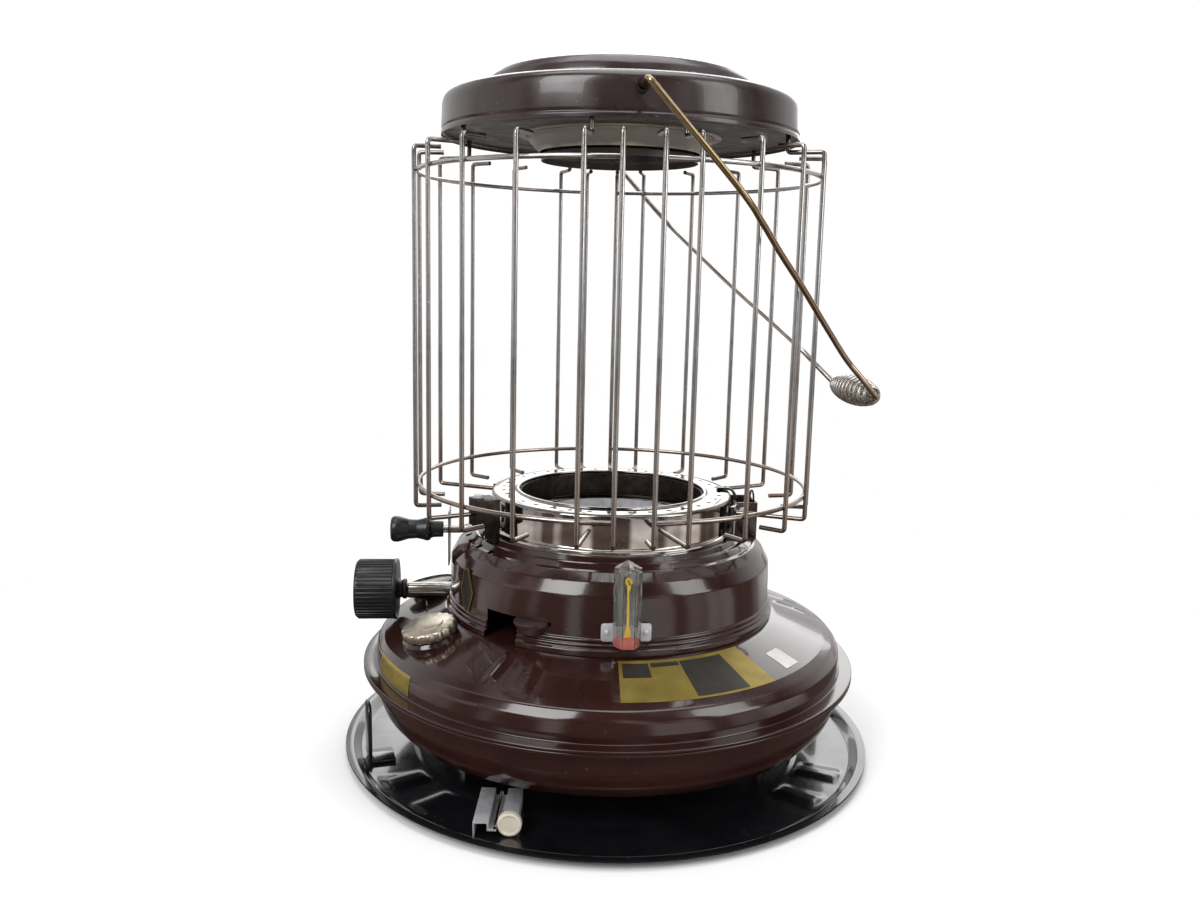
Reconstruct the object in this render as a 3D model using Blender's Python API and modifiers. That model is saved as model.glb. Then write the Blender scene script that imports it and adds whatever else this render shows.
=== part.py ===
"""Construction model of a portable kerosene heater: a wick burner on a round tank, inside a wire guard.

Lengths are metres and +Z is up. The floor is at z = 0 and the heater's axis is the Z axis. The front, with
the tilt indicator, faces -Y. Azimuths are degrees from -Y towards +X. In an outline, the first number runs
away from the axis and the second one runs up, unless its function says otherwise.
"""

from math import asin, ceil, cos, hypot, pi, radians, sin

import bmesh
import bpy
from mathutils import Matrix, Vector

# General clearances and counts
GAP = 0.0003
OVERRUN = 0.003
SHEET = 0.001
MERGE = 0.00001
SHELL_SIDES = 24
DISC_SIDES = 16
ROD_SIDES = 12
SECTOR_STEP = 3
BEND_STEPS = 1

# Drip tray
TRAY_MARGIN = 0.0167
TRAY_SLOPE_WIDTH = 0.014
TRAY_RIM_WIDTH = 0.006
TRAY_HEIGHT = 0.0084
TRAY_SHEET = 0.0016

# Retainers, which stand on the tray and keep the tank central
RETAINER_AZIMUTHS = {"left": -76, "right": 104}
RETAINER_INSET = 0.005
RETAINER_WIDTH = 0.026
RETAINER_THICKNESS = 0.003
RETAINER_HEIGHT = 0.055
RETAINER_FOOT = 0.022

# Legs between the tray and the tank
LEG_AZIMUTHS = (60, 180, 300)
LEG_PLACE_RADIUS = 0.15
LEG_FOOT_RADIUS = 0.009
LEG_FOOT_HEIGHT = 0.003
LEG_STEM_RADIUS = 0.006

# Tray clamp at the front left
CLAMP_SIDE_MARGIN = 0.141
CLAMP_FRONT_MARGIN = 0.076
CLAMP_AZIMUTH = -5.7
CLAMP_LENGTH = 0.056
CLAMP_WIDTH = 0.034
CLAMP_HEIGHT = 0.0145
CLAMP_SHEET = 0.0012
CLAMP_GROOVE_WIDTH = 0.01
CLAMP_GROOVE_DEPTH = 0.006
CLAMP_RECESS = 0.008
CLAMP_ROD_RADIUS = 0.0015
CLAMP_KNOB_RADIUS = 0.0095
CLAMP_KNOB_THICKNESS = 0.006
CLAMP_STEM_RADIUS = 0.0014
CLAMP_STEM_LENGTH = 0.012

# Fuel tank
TANK_BOTTOM = 0.031
TANK_BOTTOM_SHARE = 0.8155
TANK_TOP = 0.131
TANK_RADIUS = 0.2127
TANK_STEP = 0.0019
TANK_LOWER_RADIUS = TANK_RADIUS + TANK_STEP
TANK_WALL_TOP = 0.092
SEAM_WIDTH = 0.0097
SEAM_RADIUS = TANK_LOWER_RADIUS + SEAM_WIDTH
SEAM_HEIGHT = 0.0822
SEAM_HEM = 0.0025
SEAM_HEM_TAIL = 0.0014
TRAY_RADIUS = SEAM_RADIUS + TRAY_MARGIN
TRAY_FLOOR_RADIUS = TRAY_RADIUS - TRAY_SLOPE_WIDTH
CLAMP_X = CLAMP_SIDE_MARGIN - TRAY_RADIUS
CLAMP_Y = CLAMP_FRONT_MARGIN - TRAY_RADIUS
RETAINER_RADIUS = TRAY_FLOOR_RADIUS - RETAINER_INSET
SLOPE_TOP_RADIUS = 0.152
SLOPE_TOP_HEIGHT = 0.1295
SLOPE_FOOT_RADIUS = 0.198
SLOPE_FOOT_HEIGHT = 0.1125
WELL_RADIUS = 0.092
WELL_RIM_RADIUS = 0.097
WELL_HEIGHT = 0.118
LOWER_WALL_SHARES = ((0.9932, 0.66), (0.9669, 0.308), (0.9193, 0.08))
UPPER_SHOULDER_SHARES = ((0.55, 0.18), (0.9, 0.5))

# Bosses on the tank's slope, for the filler and for the fuel gauge
BOSS_TILT = 13
BOSS_HEIGHT = 0.0042
BOSS_SKIRT_HEIGHT = 0.0032
BOSS_DEPTH = 0.009
BOSS_WALL = 0.001
FILLER_AZIMUTH = -65
FILLER_PLACE_RADIUS = 0.175
FILLER_BOSS_RADIUS = 0.025
FILLER_BOSS_TOP_RADIUS = 0.0215
GAUGE_AZIMUTH = -107
GAUGE_PLACE_RADIUS = 0.1755
GAUGE_BOSS_RADIUS = 0.017
GAUGE_BOSS_TOP_RADIUS = 0.014

# Filler neck, strainer and fuel cap, in heights above the tank's slope
NECK_RADIUS = 0.0192
NECK_WALL = 0.0017
NECK_TOP = 0.0095
NECK_DEPTH = 0.008
NECK_FLANGE = 0.0016
NECK_FLANGE_THICKNESS = 0.0007
STRAINER_WALL = 0.0008
STRAINER_DEPTH = 0.045
CAP_RADIUS = 0.02385
CAP_LOBES = 16
CAP_LOBE_SHARE = 0.05
CAP_POINTS_PER_LOBE = 3
CAP_HOLLOW_SIDES = 32
CAP_WALL = 0.0015
CAP_BOTTOM = 0.005
CAP_TOP = 0.014
GASKET_THICKNESS = 0.0016
GASKET_BORE = 0.016

# Fuel gauge: dial case, lens and needle, and the float in the tank
DIAL_RADIUS = 0.0256
DIAL_HEIGHT = 0.008
DIAL_RIM = 0.0015
DIAL_FLOOR = 0.002
DIAL_LEDGE = 0.0015
LENS_THICKNESS = 0.0016
LENS_INSET = 0.001
NEEDLE_LENGTH = 0.036
NEEDLE_WIDTH = 0.0056
NEEDLE_END_SHARE = 0.2
NEEDLE_TAIL_SHARE = 0.25
NEEDLE_THICKNESS = 0.0008
SPINDLE_RADIUS = 0.0012
SPINDLE_HEIGHT = 0.003
STEM_RADIUS = 0.007
STEM_DEPTH = 0.02
FLOAT_PIVOT_DEPTH = 0.016
FLOAT_WIRE_RADIUS = 0.00125
FLOAT_ARM_LENGTH = 0.068
FLOAT_ARM_OFFSET = 0.0125
FLOAT_ARM_REACH = 0.006
FLOAT_DROP = 52
FLOAT_RADIUS = 0.013
FLOAT_HEIGHT = 0.016

# Collar around the burner
COLLAR_RADIUS = 0.1459
COLLAR_TOP = 0.203
COLLAR_MOUTH_RADIUS = 0.112
COLLAR_LIP = 0.004
COLLAR_LEDGE_RADIUS = 0.126
COLLAR_WALL_TOP = 0.172
COLLAR_FOOT_RADIUS = 0.15
COLLAR_FOOT_TOP = 0.1405
COLLAR_FOOT_BEVEL = 0.0025
COLLAR_SHOULDER_SHARES = ((0.45, 0.21), (0.84, 0.55))
NOTCH_AZIMUTHS = (-49.5, -36)
SLOT_END_AZIMUTH = -24
SLOT_BOTTOM = 0.1498
SLOT_TOP = 0.1536
VENT_AZIMUTHS = (-57, -66.5, -76, -85.5, -95, -104.5)
VENT_RADIUS = 0.13
VENT_LENGTH = 0.0055
VENT_WIDTH = 0.006

# Shut-off lever, whose tab comes out through the slot in the collar
TAB_AZIMUTH = -31
TAB_WIDTH = 0.03
TAB_REACH = 0.012
TAB_THICKNESS = 0.0026
TAB_TAIL = 0.008
TAB_SKIRT_DEPTH = 0.0085
TAB_SKIRT_SHARE = 0.6
TAB_SKIRT_INSET_SHARE = 0.15
TAB_SKIRT_SIDE_SHARE = 0.98
LEVER_RING_WIDTH = 0.004
LEVER_RING_BOTTOM = 0.184
LEVER_SHEET = 0.002
LEVER_ARM_WIDTH = 0.01
LEVER_ARM_RADIUS = 0.124

# Badge plate
BADGE_AZIMUTH = -61.875
BADGE_WIDTH = 0.024
BADGE_HEIGHT = 0.04
BADGE_END_WIDTH = 0.007
BADGE_CENTRE_HEIGHT = 0.1615
BADGE_THICKNESS = 0.0008

# Tilt indicator: bracket, clear case, base and plumb pointer
BRACKET_WIDTH = 0.0405
BRACKET_HEIGHT = 0.015
BRACKET_BOTTOM = 0.1425
BRACKET_ROUND = 0.002
RIVET_PLACE = 0.0155
RIVET_HEAD_RADIUS = 0.0023
RIVET_HEAD_HEIGHT = 0.0012
RIVET_RADIUS = 0.0012
RIVET_LENGTH = 0.0055
WINDOW_BOTTOM = 0.141
WINDOW_TOP = 0.21
WINDOW_WIDTH = 0.022
WINDOW_FRONT_WIDTH = 0.01
WINDOW_SIDE_DEPTH = 0.006
WINDOW_DEPTH = 0.015
WINDOW_WALL = 0.0012
WINDOW_SIDE_FALL = 0.0065
WINDOW_FRONT_FALL = 0.006
WINDOW_BASE_HEIGHT = 0.008
POINTER_PIVOT_HEIGHT = 0.1937
POINTER_DEPTH = 0.0075
POINTER_THICKNESS = 0.002
POINTER_EYE_RADIUS = 0.0026
POINTER_BORE = 0.0011
POINTER_ROD_WIDTH = 0.002
POINTER_WEDGE_TOP = 0.16
POINTER_WEDGE_BOTTOM = 0.1498
POINTER_WEDGE_WIDTH = 0.0058
POINTER_PIN_RADIUS = 0.0007

# Wick tubes, wick and carrier
DRAFT_TUBE_BOTTOM = 0.028
DRAFT_TUBE_TOP = 0.205
WICK_TUBE_RADIUS = 0.0695
WICK_ROOM = 0.0085
DRAFT_TUBE_RADIUS = WICK_TUBE_RADIUS - WICK_ROOM
WICK_TUBE_WALL = 0.0015
WICK_TUBE_BOTTOM = 0.045
WICK_TUBE_TOP = 0.213
WICK_THICKNESS = 0.0035
WICK_PLAY = 0.001
WICK_BOTTOM = 0.04
WICK_TOP = 0.203
CARRIER_WALL = 0.0012
CARRIER_BOTTOM = 0.14
CARRIER_TOP = 0.175

# Knob, shaft, pinion and rack
SHAFT_HEIGHT = 0.142
SHAFT_RADIUS = 0.003
KNOB_RADIUS = 0.0273
KNOB_OUTER_END = 0.2317
KNOB_INNER_END = 0.1944
KNOB_HUB_END = 0.1864
KNOB_HUB_RADIUS = 0.0092
KNOB_BORE_END = 0.225
KNOB_EDGE = 0.0025
KNOB_FLANGE = 0.0004
KNOB_FLANGE_THICKNESS = 0.003
SLEEVE_RADIUS = 0.00615
SLEEVE_OUTER_END = 0.1848
SLEEVE_INNER_END = 0.138
PINION_TEETH = 16
PINION_RADIUS = 0.008
PINION_WIDTH = 0.004
PINION_CLEARANCE = 0.0065
PINION_PLACE = WICK_TUBE_RADIUS + PINION_CLEARANCE
TOOTH_TIP = 0.0006
TOOTH_ROOT = 0.0014
TOOTH_TIP_SHARE = 0.12
TOOTH_ROOT_SHARE = 0.22
RACK_BOTTOM = 0.121
RACK_TOP = 0.163
RACK_THICKNESS = 0.003
RACK_ARM_INSET = 0.0004
RACK_ARM_SINK = 0.0005
RACK_ARM_HEIGHT = 0.005
RACK_ARM_BOTTOM = 0.153
RACK_SLOT_PLAY = 0.0007
WICK_TRAVEL = 0.0155

# Burner seat, chrome ring, its sleeve and its hinge
SEAT_RADIUS = 0.113
SEAT_THICKNESS = 0.0017
RING_RADIUS = 0.1092
RING_FLANGE_RADIUS = 0.112
RING_BOTTOM = 0.2034
RING_FLANGE_THICKNESS = 0.0026
RING_TOP = 0.2367
RING_EDGE = 0.0033
RING_MOUTH_RADIUS = 0.084
RING_BEAD_HEIGHT = 0.0013
RING_BEAD_WIDTH = 0.0025
RING_BEAD_RUN = 0.0015
RING_MOUTH_DEPTH = 0.005
RING_SHEET = 0.0012
SLEEVE_WALL = 0.0012
RING_SLEEVE_BOTTOM = 0.2145
RING_SLEEVE_TOP = 0.235
HINGE_X = 0.119
HINGE_HEIGHT = 0.221
HINGE_PIN_RADIUS = 0.0016
HINGE_PIN_HEAD_RADIUS = 0.003
HINGE_PIN_HEAD = 0.0015
POST_INNER_X = 0.1135
POST_OUTER_X = 0.133
POST_WIDTH = 0.036
POST_TOP = 0.228
POST_SHEET = 0.0016
HOOK_WIDTH = 0.008
HOOK_SHEET = 0.002
HOOK_START = 0.098
HOOK_EYE_RADIUS = 0.0037
HOOK_SHARES = ((0.52, 0), (0.74, 0.18), (0.86, 0.5))

# Lifting lever of the ring
LIFT_Y = -0.016
LIFT_ROD_RADIUS = 0.0034
LIFT_ROD_START = 0.111
LIFT_ROD_KNEE = 0.117
LIFT_ROD_SECOND_KNEE = 0.136
LIFT_ROD_END = 0.196
LIFT_KNEE_HEIGHT = 0.2072
LIFT_HEIGHT = 0.2022
HANDLE_OUTER_END = 0.1983
HANDLE_INNER_END = 0.1522
HANDLE_END_RADIUS = 0.0116
HANDLE_SHARES = (
    (0, 0.9),
    (0.04, 1),
    (0.12, 0.97),
    (0.32, 0.76),
    (0.5, 0.72),
    (0.66, 0.9),
    (0.75, 0.88),
    (0.8, 0.63),
    (1, 0.61),
)
GUIDE_SHEET = 0.0012
GUIDE_BOTTOM = 0.171
GUIDE_TOP = 0.2195
GUIDE_RIGHT_Y = 0.002
GUIDE_LEFT_Y = -0.026
GUIDE_SLOT_TOP = 0.2165
GUIDE_SLOT_PLAY = 0.0006

# Wire guard
GUARD_RADIUS = 0.1775
GUARD_WIRE_RADIUS = 0.002
GUARD_RING_INSET = 0.0029
GUARD_RING_RADIUS = GUARD_RADIUS - GUARD_RING_INSET
GUARD_RING_HEIGHTS = (0.2452, 0.5144)
GUARD_BOTTOM = 0.226
GUARD_TOP = 0.5335
GUARD_END_AZIMUTH = 5
GUARD_FIRST_AZIMUTH = 14
GUARD_STEP = 16.89
GUARD_INNER_WIRES = 10
GUARD_SUPPORT_STEP = 3
GUARD_BEND = 0.0035
GUARD_STUB_REACH = 0.0225
GUARD_STUB_RADIUS = GUARD_RADIUS - GUARD_STUB_REACH
GUARD_SUPPORT_RADIUS = 0.147
LONG_STUB_RADII = {-14: 0.122, 14: 0.12}

# Brackets that hold the guard on the collar's shoulder
CLAMP_BLOCK_RADII = (0.117, 0.137)
CLAMP_BLOCK_HEIGHTS = (0.215, 0.239)
CLAMP_BLOCK_WIDTH = 0.022
CLAMP_LEG_THICKNESS = 0.005
POST_LEG_RADII = (0.1135, 0.117)
POST_LEG_WIDTH = 0.014
POST_LEG_TOP = 0.232
BOLT_PLACE_RADIUS = 0.132
BOLT_HEAD_RADIUS = 0.0042
BOLT_HEAD_HEIGHT = 0.0035
BOLT_RADIUS = 0.002
BOLT_LENGTH = 0.012
BOLT_SIDES = 6

# Top plate, the pan under it, chimney collar and baffle
TOP_RADIUS = 0.1548
TOP_HEIGHT = 0.6
TOP_RIM_BOTTOM = 0.5446
TOP_SHELF_HEIGHT = 0.5815
TOP_SHELF_RADIUS = 0.118
TOP_ROUND = 0.018
TOP_ROUND_STEPS = 3
TOP_DOME_SHARES = ((0.5, 0.1), (0.85, 0.42))
PAN_HEIGHT = 0.55
PAN_BORE_PLAY = 0.0006
CHIMNEY_FLANGE_RADIUS = 0.088
CHIMNEY_RADIUS = 0.0792
CHIMNEY_MOUTH_RADIUS = 0.0695
CHIMNEY_MOUTH_HEIGHT = 0.535
CHIMNEY_SHARES = ((0.6, 0.6),)
DRUM_RADIUS = 0.0686
DRUM_NECK_RADIUS = 0.064
DRUM_BOTTOM = 0.527
DRUM_SHOULDER = 0.533
DRUM_TOP = 0.562
DRUM_SHEET = 0.0012
DRUM_BOLT_RADIUS = 0.004

# Carrying bail and its wound grip
BAIL_PIVOT_HEIGHT = 0.5665
BAIL_ANGLE = 43
BAIL_RADIUS = 0.0025
BAIL_INNER_END = 0.15
BAIL_LENGTH = 0.32
BAIL_HALF_WIDTH = 0.2
BAIL_RACK_TOP = 0.012
BAIL_RACK_GRIP = -0.013
BAIL_RACK_START_SHARE = 0.56
BAIL_SHARES = (
    (0, 1),
    (0.306, 0.985),
    (0.41, 0.91),
    (0.5, 0.81),
    (0.612, 0.695),
    (0.753, 0.505),
    (0.862, 0.37),
    (0.94, 0.335),
)
BAIL_GRIP_HALF_WIDTH = 0.0605
BAIL_BEND = 0.005
WASHER_RADIUS = 0.0055
WASHER_THICKNESS = 0.0015
COIL_WIRE_RADIUS = 0.00155
COIL_LENGTH = 0.104
COIL_TURNS = 12
COIL_POINTS_PER_TURN = 9
COIL_MIDDLE_RADIUS = 0.012
COIL_SWELL_POWER = 0.6

# Finishes: sRGB colour, roughness, metallic value
FINISHES = {
    "brown_enamel": ("3A2420", 0.22, 0.0),
    "black_enamel": ("0E0E10", 0.25, 0.0),
    "chrome": ("C9C7C4", 0.12, 1.0),
    "wire_chrome": ("B5ADA6", 0.25, 1.0),
    "zinc_plate": ("BDBAC0", 0.35, 1.0),
    "dark_steel": ("4A423D", 0.45, 1.0),
    "grey_enamel": ("5E5A55", 0.5, 0.0),
    "cream_enamel": ("B9AA92", 0.55, 0.0),
    "black_plastic": ("141416", 0.4, 0.0),
    "white_plastic": ("E8E2D4", 0.4, 0.0),
    "clear_plastic": ("D8DAD6", 0.15, 0.0),
    "red_plastic": ("E0604F", 0.4, 0.0),
    "yellow_plastic": ("F2D21E", 0.45, 0.0),
    "black_rubber": ("1C1B1A", 0.7, 0.0),
    "brass": ("B59A55", 0.35, 1.0),
    "wick_cotton": ("C8BFAE", 0.9, 0.0),
}

# Frames for outlines in the XZ plane and in the YZ plane, and for turned pieces that point left or right
UPRIGHT = Matrix.Rotation(pi / 2, 4, "X")
ACROSS = Matrix(((0, 0, 1, 0), (1, 0, 0, 0), (0, 1, 0, 0), (0, 0, 0, 1)))
TO_LEFT = Matrix.Rotation(-pi / 2, 4, "Y")
TO_RIGHT = Matrix.Rotation(pi / 2, 4, "Y")


# Collections, finishes and frames


def make_collection(name, helpers=False):
    """A new collection under the scene. Helpers hold cutters and joined pieces, which aren't rendered."""
    collection = bpy.data.collections.new(name)
    collection.hide_render = helpers
    bpy.context.scene.collection.children.link(collection)
    return collection


def linear(channel):
    """One sRGB channel from 0 to 1 as a linear value."""
    return channel / 12.92 if channel <= 0.04045 else ((channel + 0.055) / 1.055) ** 2.4


def make_finishes():
    """One Principled material for each entry of FINISHES."""
    for name, (colour, roughness, metallic) in FINISHES.items():
        material = bpy.data.materials.new(name)
        material.use_nodes = True
        shader = material.node_tree.nodes["Principled BSDF"]
        channels = [linear(int(colour[i : i + 2], 16) / 255) for i in (0, 2, 4)]
        shader.inputs["Base Color"].default_value = (*channels, 1)
        shader.inputs["Roughness"].default_value = roughness
        shader.inputs["Metallic"].default_value = metallic


def add_object(name, data, finish, frame=Matrix()):
    """Links new data as an object of the heater, with its finish, at a frame."""
    obj = bpy.data.objects.new(name, data)
    bpy.data.collections["kerosene_heater"].objects.link(obj)
    data.materials.append(bpy.data.materials[finish])
    obj.matrix_world = frame
    return obj


def polar(azimuth, radius=0, height=0, tilt=0):
    """A frame at an azimuth and radius whose X axis points outwards and whose Z axis tilts outwards."""
    turn = radians(azimuth) - pi / 2
    place = Vector((radius * cos(turn), radius * sin(turn), height))
    return Matrix.Translation(place) @ Matrix.Rotation(turn, 4, "Z") @ Matrix.Rotation(radians(tilt), 4, "Y")


def at(x=0, y=0, z=0):
    """A frame moved to a point."""
    return Matrix.Translation(Vector((x, y, z)))


# Outlines


def offset_path(path, distance):
    """The path moved sideways by a distance, to the left of its direction, with mitred corners."""
    moved = []
    for i, point in enumerate(path):
        legs = [(path[j], path[j + 1]) for j in (i - 1, i) if 0 <= j < len(path) - 1]
        normals = []
        for (x0, y0), (x1, y1) in legs:
            length = hypot(x1 - x0, y1 - y0)
            normals.append(((y0 - y1) / length, (x1 - x0) / length))
        sum_x = sum(n[0] for n in normals)
        sum_y = sum(n[1] for n in normals)
        scale = len(normals) * distance / (sum_x**2 + sum_y**2)
        moved.append((point[0] + sum_x * scale, point[1] + sum_y * scale))
    return moved


def strip_outline(path, thickness):
    """The closed outline of a bent strip, with the path along its middle."""
    return offset_path(path, thickness / 2) + offset_path(path, -thickness / 2)[::-1]


def box_outline(left, right, bottom, top):
    """A rectangle's corners, anticlockwise."""
    return [(left, bottom), (right, bottom), (right, top), (left, top)]


def circle_outline(radius, sides, centre=(0, 0)):
    """Points on a circle, anticlockwise."""
    angles = [2 * pi * i / sides for i in range(sides)]
    return [(centre[0] + radius * cos(a), centre[1] + radius * sin(a)) for a in angles]


def between(start, end, shares):
    """Points whose two coordinates lie at shares of the way from a start to an end."""
    return [(start[0] + s * (end[0] - start[0]), start[1] + t * (end[1] - start[1])) for s, t in shares]


def rounded(points, radius):
    """A 3-D path with each inner corner replaced by points on a curve that starts a radius from it."""
    path = [Vector(points[0])]
    for before, corner, after in zip(points, points[1:], points[2:]):
        corner = Vector(corner)
        start = corner + (Vector(before) - corner).normalized() * radius
        end = corner + (Vector(after) - corner).normalized() * radius
        for i in range(BEND_STEPS + 1):
            t = i / BEND_STEPS
            path.append(start * (1 - t) ** 2 + corner * (2 * t * (1 - t)) + end * t**2)
    path.append(Vector(points[-1]))
    return path


# Solids


def turned(name, profile, finish, frame=Matrix(), sides=SHELL_SIDES, closed=True):
    """A profile turned about the frame's Z axis. It runs down its outer side, top to bottom."""
    mesh = bpy.data.meshes.new(name)
    ends = list(zip(range(len(profile)), range(1, len(profile))))
    if closed:
        ends.append((len(profile) - 1, 0))
    mesh.from_pydata([(r, 0, z) for r, z in profile], ends, [])
    obj = add_object(name, mesh, finish, frame)
    screw = obj.modifiers.new("Turn", "SCREW")
    screw.steps = screw.render_steps = sides
    screw.use_merge_vertices = True
    screw.merge_threshold = MERGE
    return obj


def solid_of_turn(name, profile, finish, frame=Matrix(), sides=SHELL_SIDES):
    """A turned solid whose profile starts and ends on the axis."""
    return turned(name, profile, finish, frame, sides, closed=False)


def shell(name, path, sheet, finish):
    """A turned sheet. The path is its outer face, and the sheet's thickness lies behind it."""
    obj = turned(name, path, finish, closed=False)
    solidify = obj.modifiers.new("Sheet", "SOLIDIFY")
    solidify.thickness = sheet
    solidify.offset = -1
    solidify.use_even_offset = True
    return obj


def pipe(name, outer, inner, bottom, top, finish, frame=Matrix(), sides=SHELL_SIDES):
    """A round pipe or washer about the frame's Z axis."""
    profile = [(outer, top), (outer, bottom), (inner, bottom), (inner, top)]
    return turned(name, profile, finish, frame, sides)


def rod(name, radius, bottom, top, finish, frame=Matrix(), sides=ROD_SIDES):
    """A round bar along the frame's Z axis."""
    mesh = bpy.data.meshes.new(name)
    model = bmesh.new()
    middle = at(z=(bottom + top) / 2)
    bmesh.ops.create_cone(
        model, cap_ends=True, segments=sides, radius1=radius, radius2=radius, depth=top - bottom, matrix=middle
    )
    model.to_mesh(mesh)
    model.free()
    return add_object(name, mesh, finish, frame)


def block(name, low, high, finish, frame=Matrix()):
    """A box between two corners of the frame."""
    mesh = bpy.data.meshes.new(name)
    model = bmesh.new()
    low = Vector(low)
    high = Vector(high)
    size = Matrix.Diagonal((high - low).to_4d())
    bmesh.ops.create_cube(model, size=1, matrix=Matrix.Translation((low + high) / 2) @ size)
    model.to_mesh(mesh)
    model.free()
    return add_object(name, mesh, finish, frame)


def plate(name, outlines, thickness, finish, frame=Matrix()):
    """Flat outlines filled, holes left open, with the thickness centred on the frame's XY plane. A mesh."""
    curve = bpy.data.curves.new(name, "CURVE")
    curve.dimensions = "2D"
    curve.fill_mode = "BOTH"
    curve.extrude = thickness / 2
    for outline in outlines:
        spline = curve.splines.new("POLY")
        spline.points.add(len(outline) - 1)
        for point, (x, y) in zip(spline.points, outline):
            point.co = (x, y, 0, 1)
        spline.use_cyclic_u = True
    return as_mesh(add_object(name, curve, finish, frame))


def outward(mesh):
    """The mesh with its faces turned outwards."""
    model = bmesh.new()
    model.from_mesh(mesh)
    bmesh.ops.recalc_face_normals(model, faces=model.faces)
    model.to_mesh(mesh)
    model.free()
    return mesh


def tapered(name, foot, head, bottom, top, finish, frame=Matrix()):
    """A solid between two outlines with equally many points, one above the other."""
    count = len(foot)
    points = [(x, y, bottom) for x, y in foot] + [(x, y, top) for x, y in head]
    sides = [(i, (i + 1) % count, (i + 1) % count + count, i + count) for i in range(count)]
    mesh = bpy.data.meshes.new(name)
    mesh.from_pydata(points, [], [tuple(range(count)), tuple(range(count, 2 * count)), *sides])
    return add_object(name, outward(mesh), finish, frame)


def wire(name, paths, radius, finish, frame=Matrix()):
    """Round wires along paths that stay clear of each other, with filled ends. One mesh."""
    curve = bpy.data.curves.new(name, "CURVE")
    curve.dimensions = "3D"
    curve.bevel_depth = radius
    curve.bevel_resolution = 1
    curve.use_fill_caps = True
    for path in paths:
        spline = curve.splines.new("POLY")
        spline.points.add(len(path) - 1)
        for point, place in zip(spline.points, path):
            point.co = (*place, 1)
    return as_mesh(add_object(name, curve, finish, frame))


def as_mesh(obj):
    """The curve object made a mesh object in the same place, with its caps welded."""
    bpy.context.view_layer.update()
    evaluated = obj.evaluated_get(bpy.context.evaluated_depsgraph_get())
    mesh = bpy.data.meshes.new_from_object(evaluated)
    model = bmesh.new()
    model.from_mesh(mesh)
    bmesh.ops.remove_doubles(model, verts=model.verts, dist=MERGE)
    bmesh.ops.recalc_face_normals(model, faces=model.faces)
    model.to_mesh(mesh)
    model.free()
    name = obj.name
    finish = obj.data.materials[0].name
    frame = obj.matrix_world.copy()
    curve = obj.data
    bpy.data.objects.remove(obj)
    bpy.data.curves.remove(curve)
    mesh.materials.clear()
    return add_object(name, mesh, finish, frame)


# Joining and cutting


def set_aside(obj):
    """Moves a cutter or a joined piece to the helpers, which stay out of the model."""
    bpy.data.collections["kerosene_heater"].objects.unlink(obj)
    bpy.data.collections["helpers"].objects.link(obj)
    obj.hide_render = True
    obj.display_type = "WIRE"


def combine(obj, others, operation):
    """Adds one Boolean for each other object and sets that object aside."""
    for other in others:
        boolean = obj.modifiers.new(other.name, "BOOLEAN")
        boolean.operation = operation
        boolean.object = other
        set_aside(other)
    return obj


def cut(obj, *cutters):
    """Cuts the cutters from the object."""
    return combine(obj, cutters, "DIFFERENCE")


def join(obj, *pieces):
    """Joins the pieces to the object."""
    return combine(obj, pieces, "UNION")


def carry(name, place, pieces):
    """An empty on a joint's axis, with the pieces that move about it as its children."""
    empty = bpy.data.objects.new(name, None)
    bpy.data.collections["kerosene_heater"].objects.link(empty)
    empty.location = place
    for piece in pieces:
        piece.parent = empty
        piece.matrix_parent_inverse = Matrix.Translation(-Vector(place))


def smooth_round_pieces():
    """Shades every piece smooth, with sharp edges kept where its faces meet at an angle."""
    for obj in bpy.data.collections["kerosene_heater"].objects:
        if obj.type == "MESH":
            obj.data.shade_smooth()
            obj.data.set_sharp_from_angle(angle=pi / 6)


# Heights and frames that several pieces share


def tray_floor():
    """Height at which a piece stands on the tray."""
    return TRAY_SHEET + GAP


def slope_height(radius):
    """Height of the tank's sloping top at a radius."""
    share = (radius - SLOPE_TOP_RADIUS) / (SLOPE_FOOT_RADIUS - SLOPE_TOP_RADIUS)
    return SLOPE_TOP_HEIGHT + share * (SLOPE_FOOT_HEIGHT - SLOPE_TOP_HEIGHT)


def collar_foot_bottom():
    """Height at which the collar's foot stands on the tank's nearly flat crown."""
    radius = COLLAR_FOOT_RADIUS - SHEET
    share = (radius - WELL_RIM_RADIUS) / (SLOPE_TOP_RADIUS - WELL_RIM_RADIUS)
    return TANK_TOP + share * (SLOPE_TOP_HEIGHT - TANK_TOP) + GAP


def filler_frame():
    """Frame on the tank's slope whose Z axis is the axis of the filler and its cap."""
    return polar(FILLER_AZIMUTH, FILLER_PLACE_RADIUS, slope_height(FILLER_PLACE_RADIUS), BOSS_TILT)


def gauge_frame():
    """Frame on the tank's slope whose Z axis is the axis of the fuel dial."""
    return polar(GAUGE_AZIMUTH, GAUGE_PLACE_RADIUS, slope_height(GAUGE_PLACE_RADIUS), BOSS_TILT)


def float_frame():
    """Upright frame at the float's pivot, with its X axis along the pivot."""
    radius = GAUGE_PLACE_RADIUS - FLOAT_PIVOT_DEPTH * sin(radians(BOSS_TILT))
    height = slope_height(GAUGE_PLACE_RADIUS) - FLOAT_PIVOT_DEPTH * cos(radians(BOSS_TILT))
    return polar(GAUGE_AZIMUTH, radius, height)


def window_back():
    """Distance of the tilt indicator's back from the axis, in front of its bracket."""
    return COLLAR_RADIUS + GAP + SHEET + GAP


def carrier_radius():
    """Outer radius of the wick carrier, inside the outer wick tube."""
    return WICK_TUBE_RADIUS - WICK_TUBE_WALL - WICK_PLAY


# Drip tray and what stands on it


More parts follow.
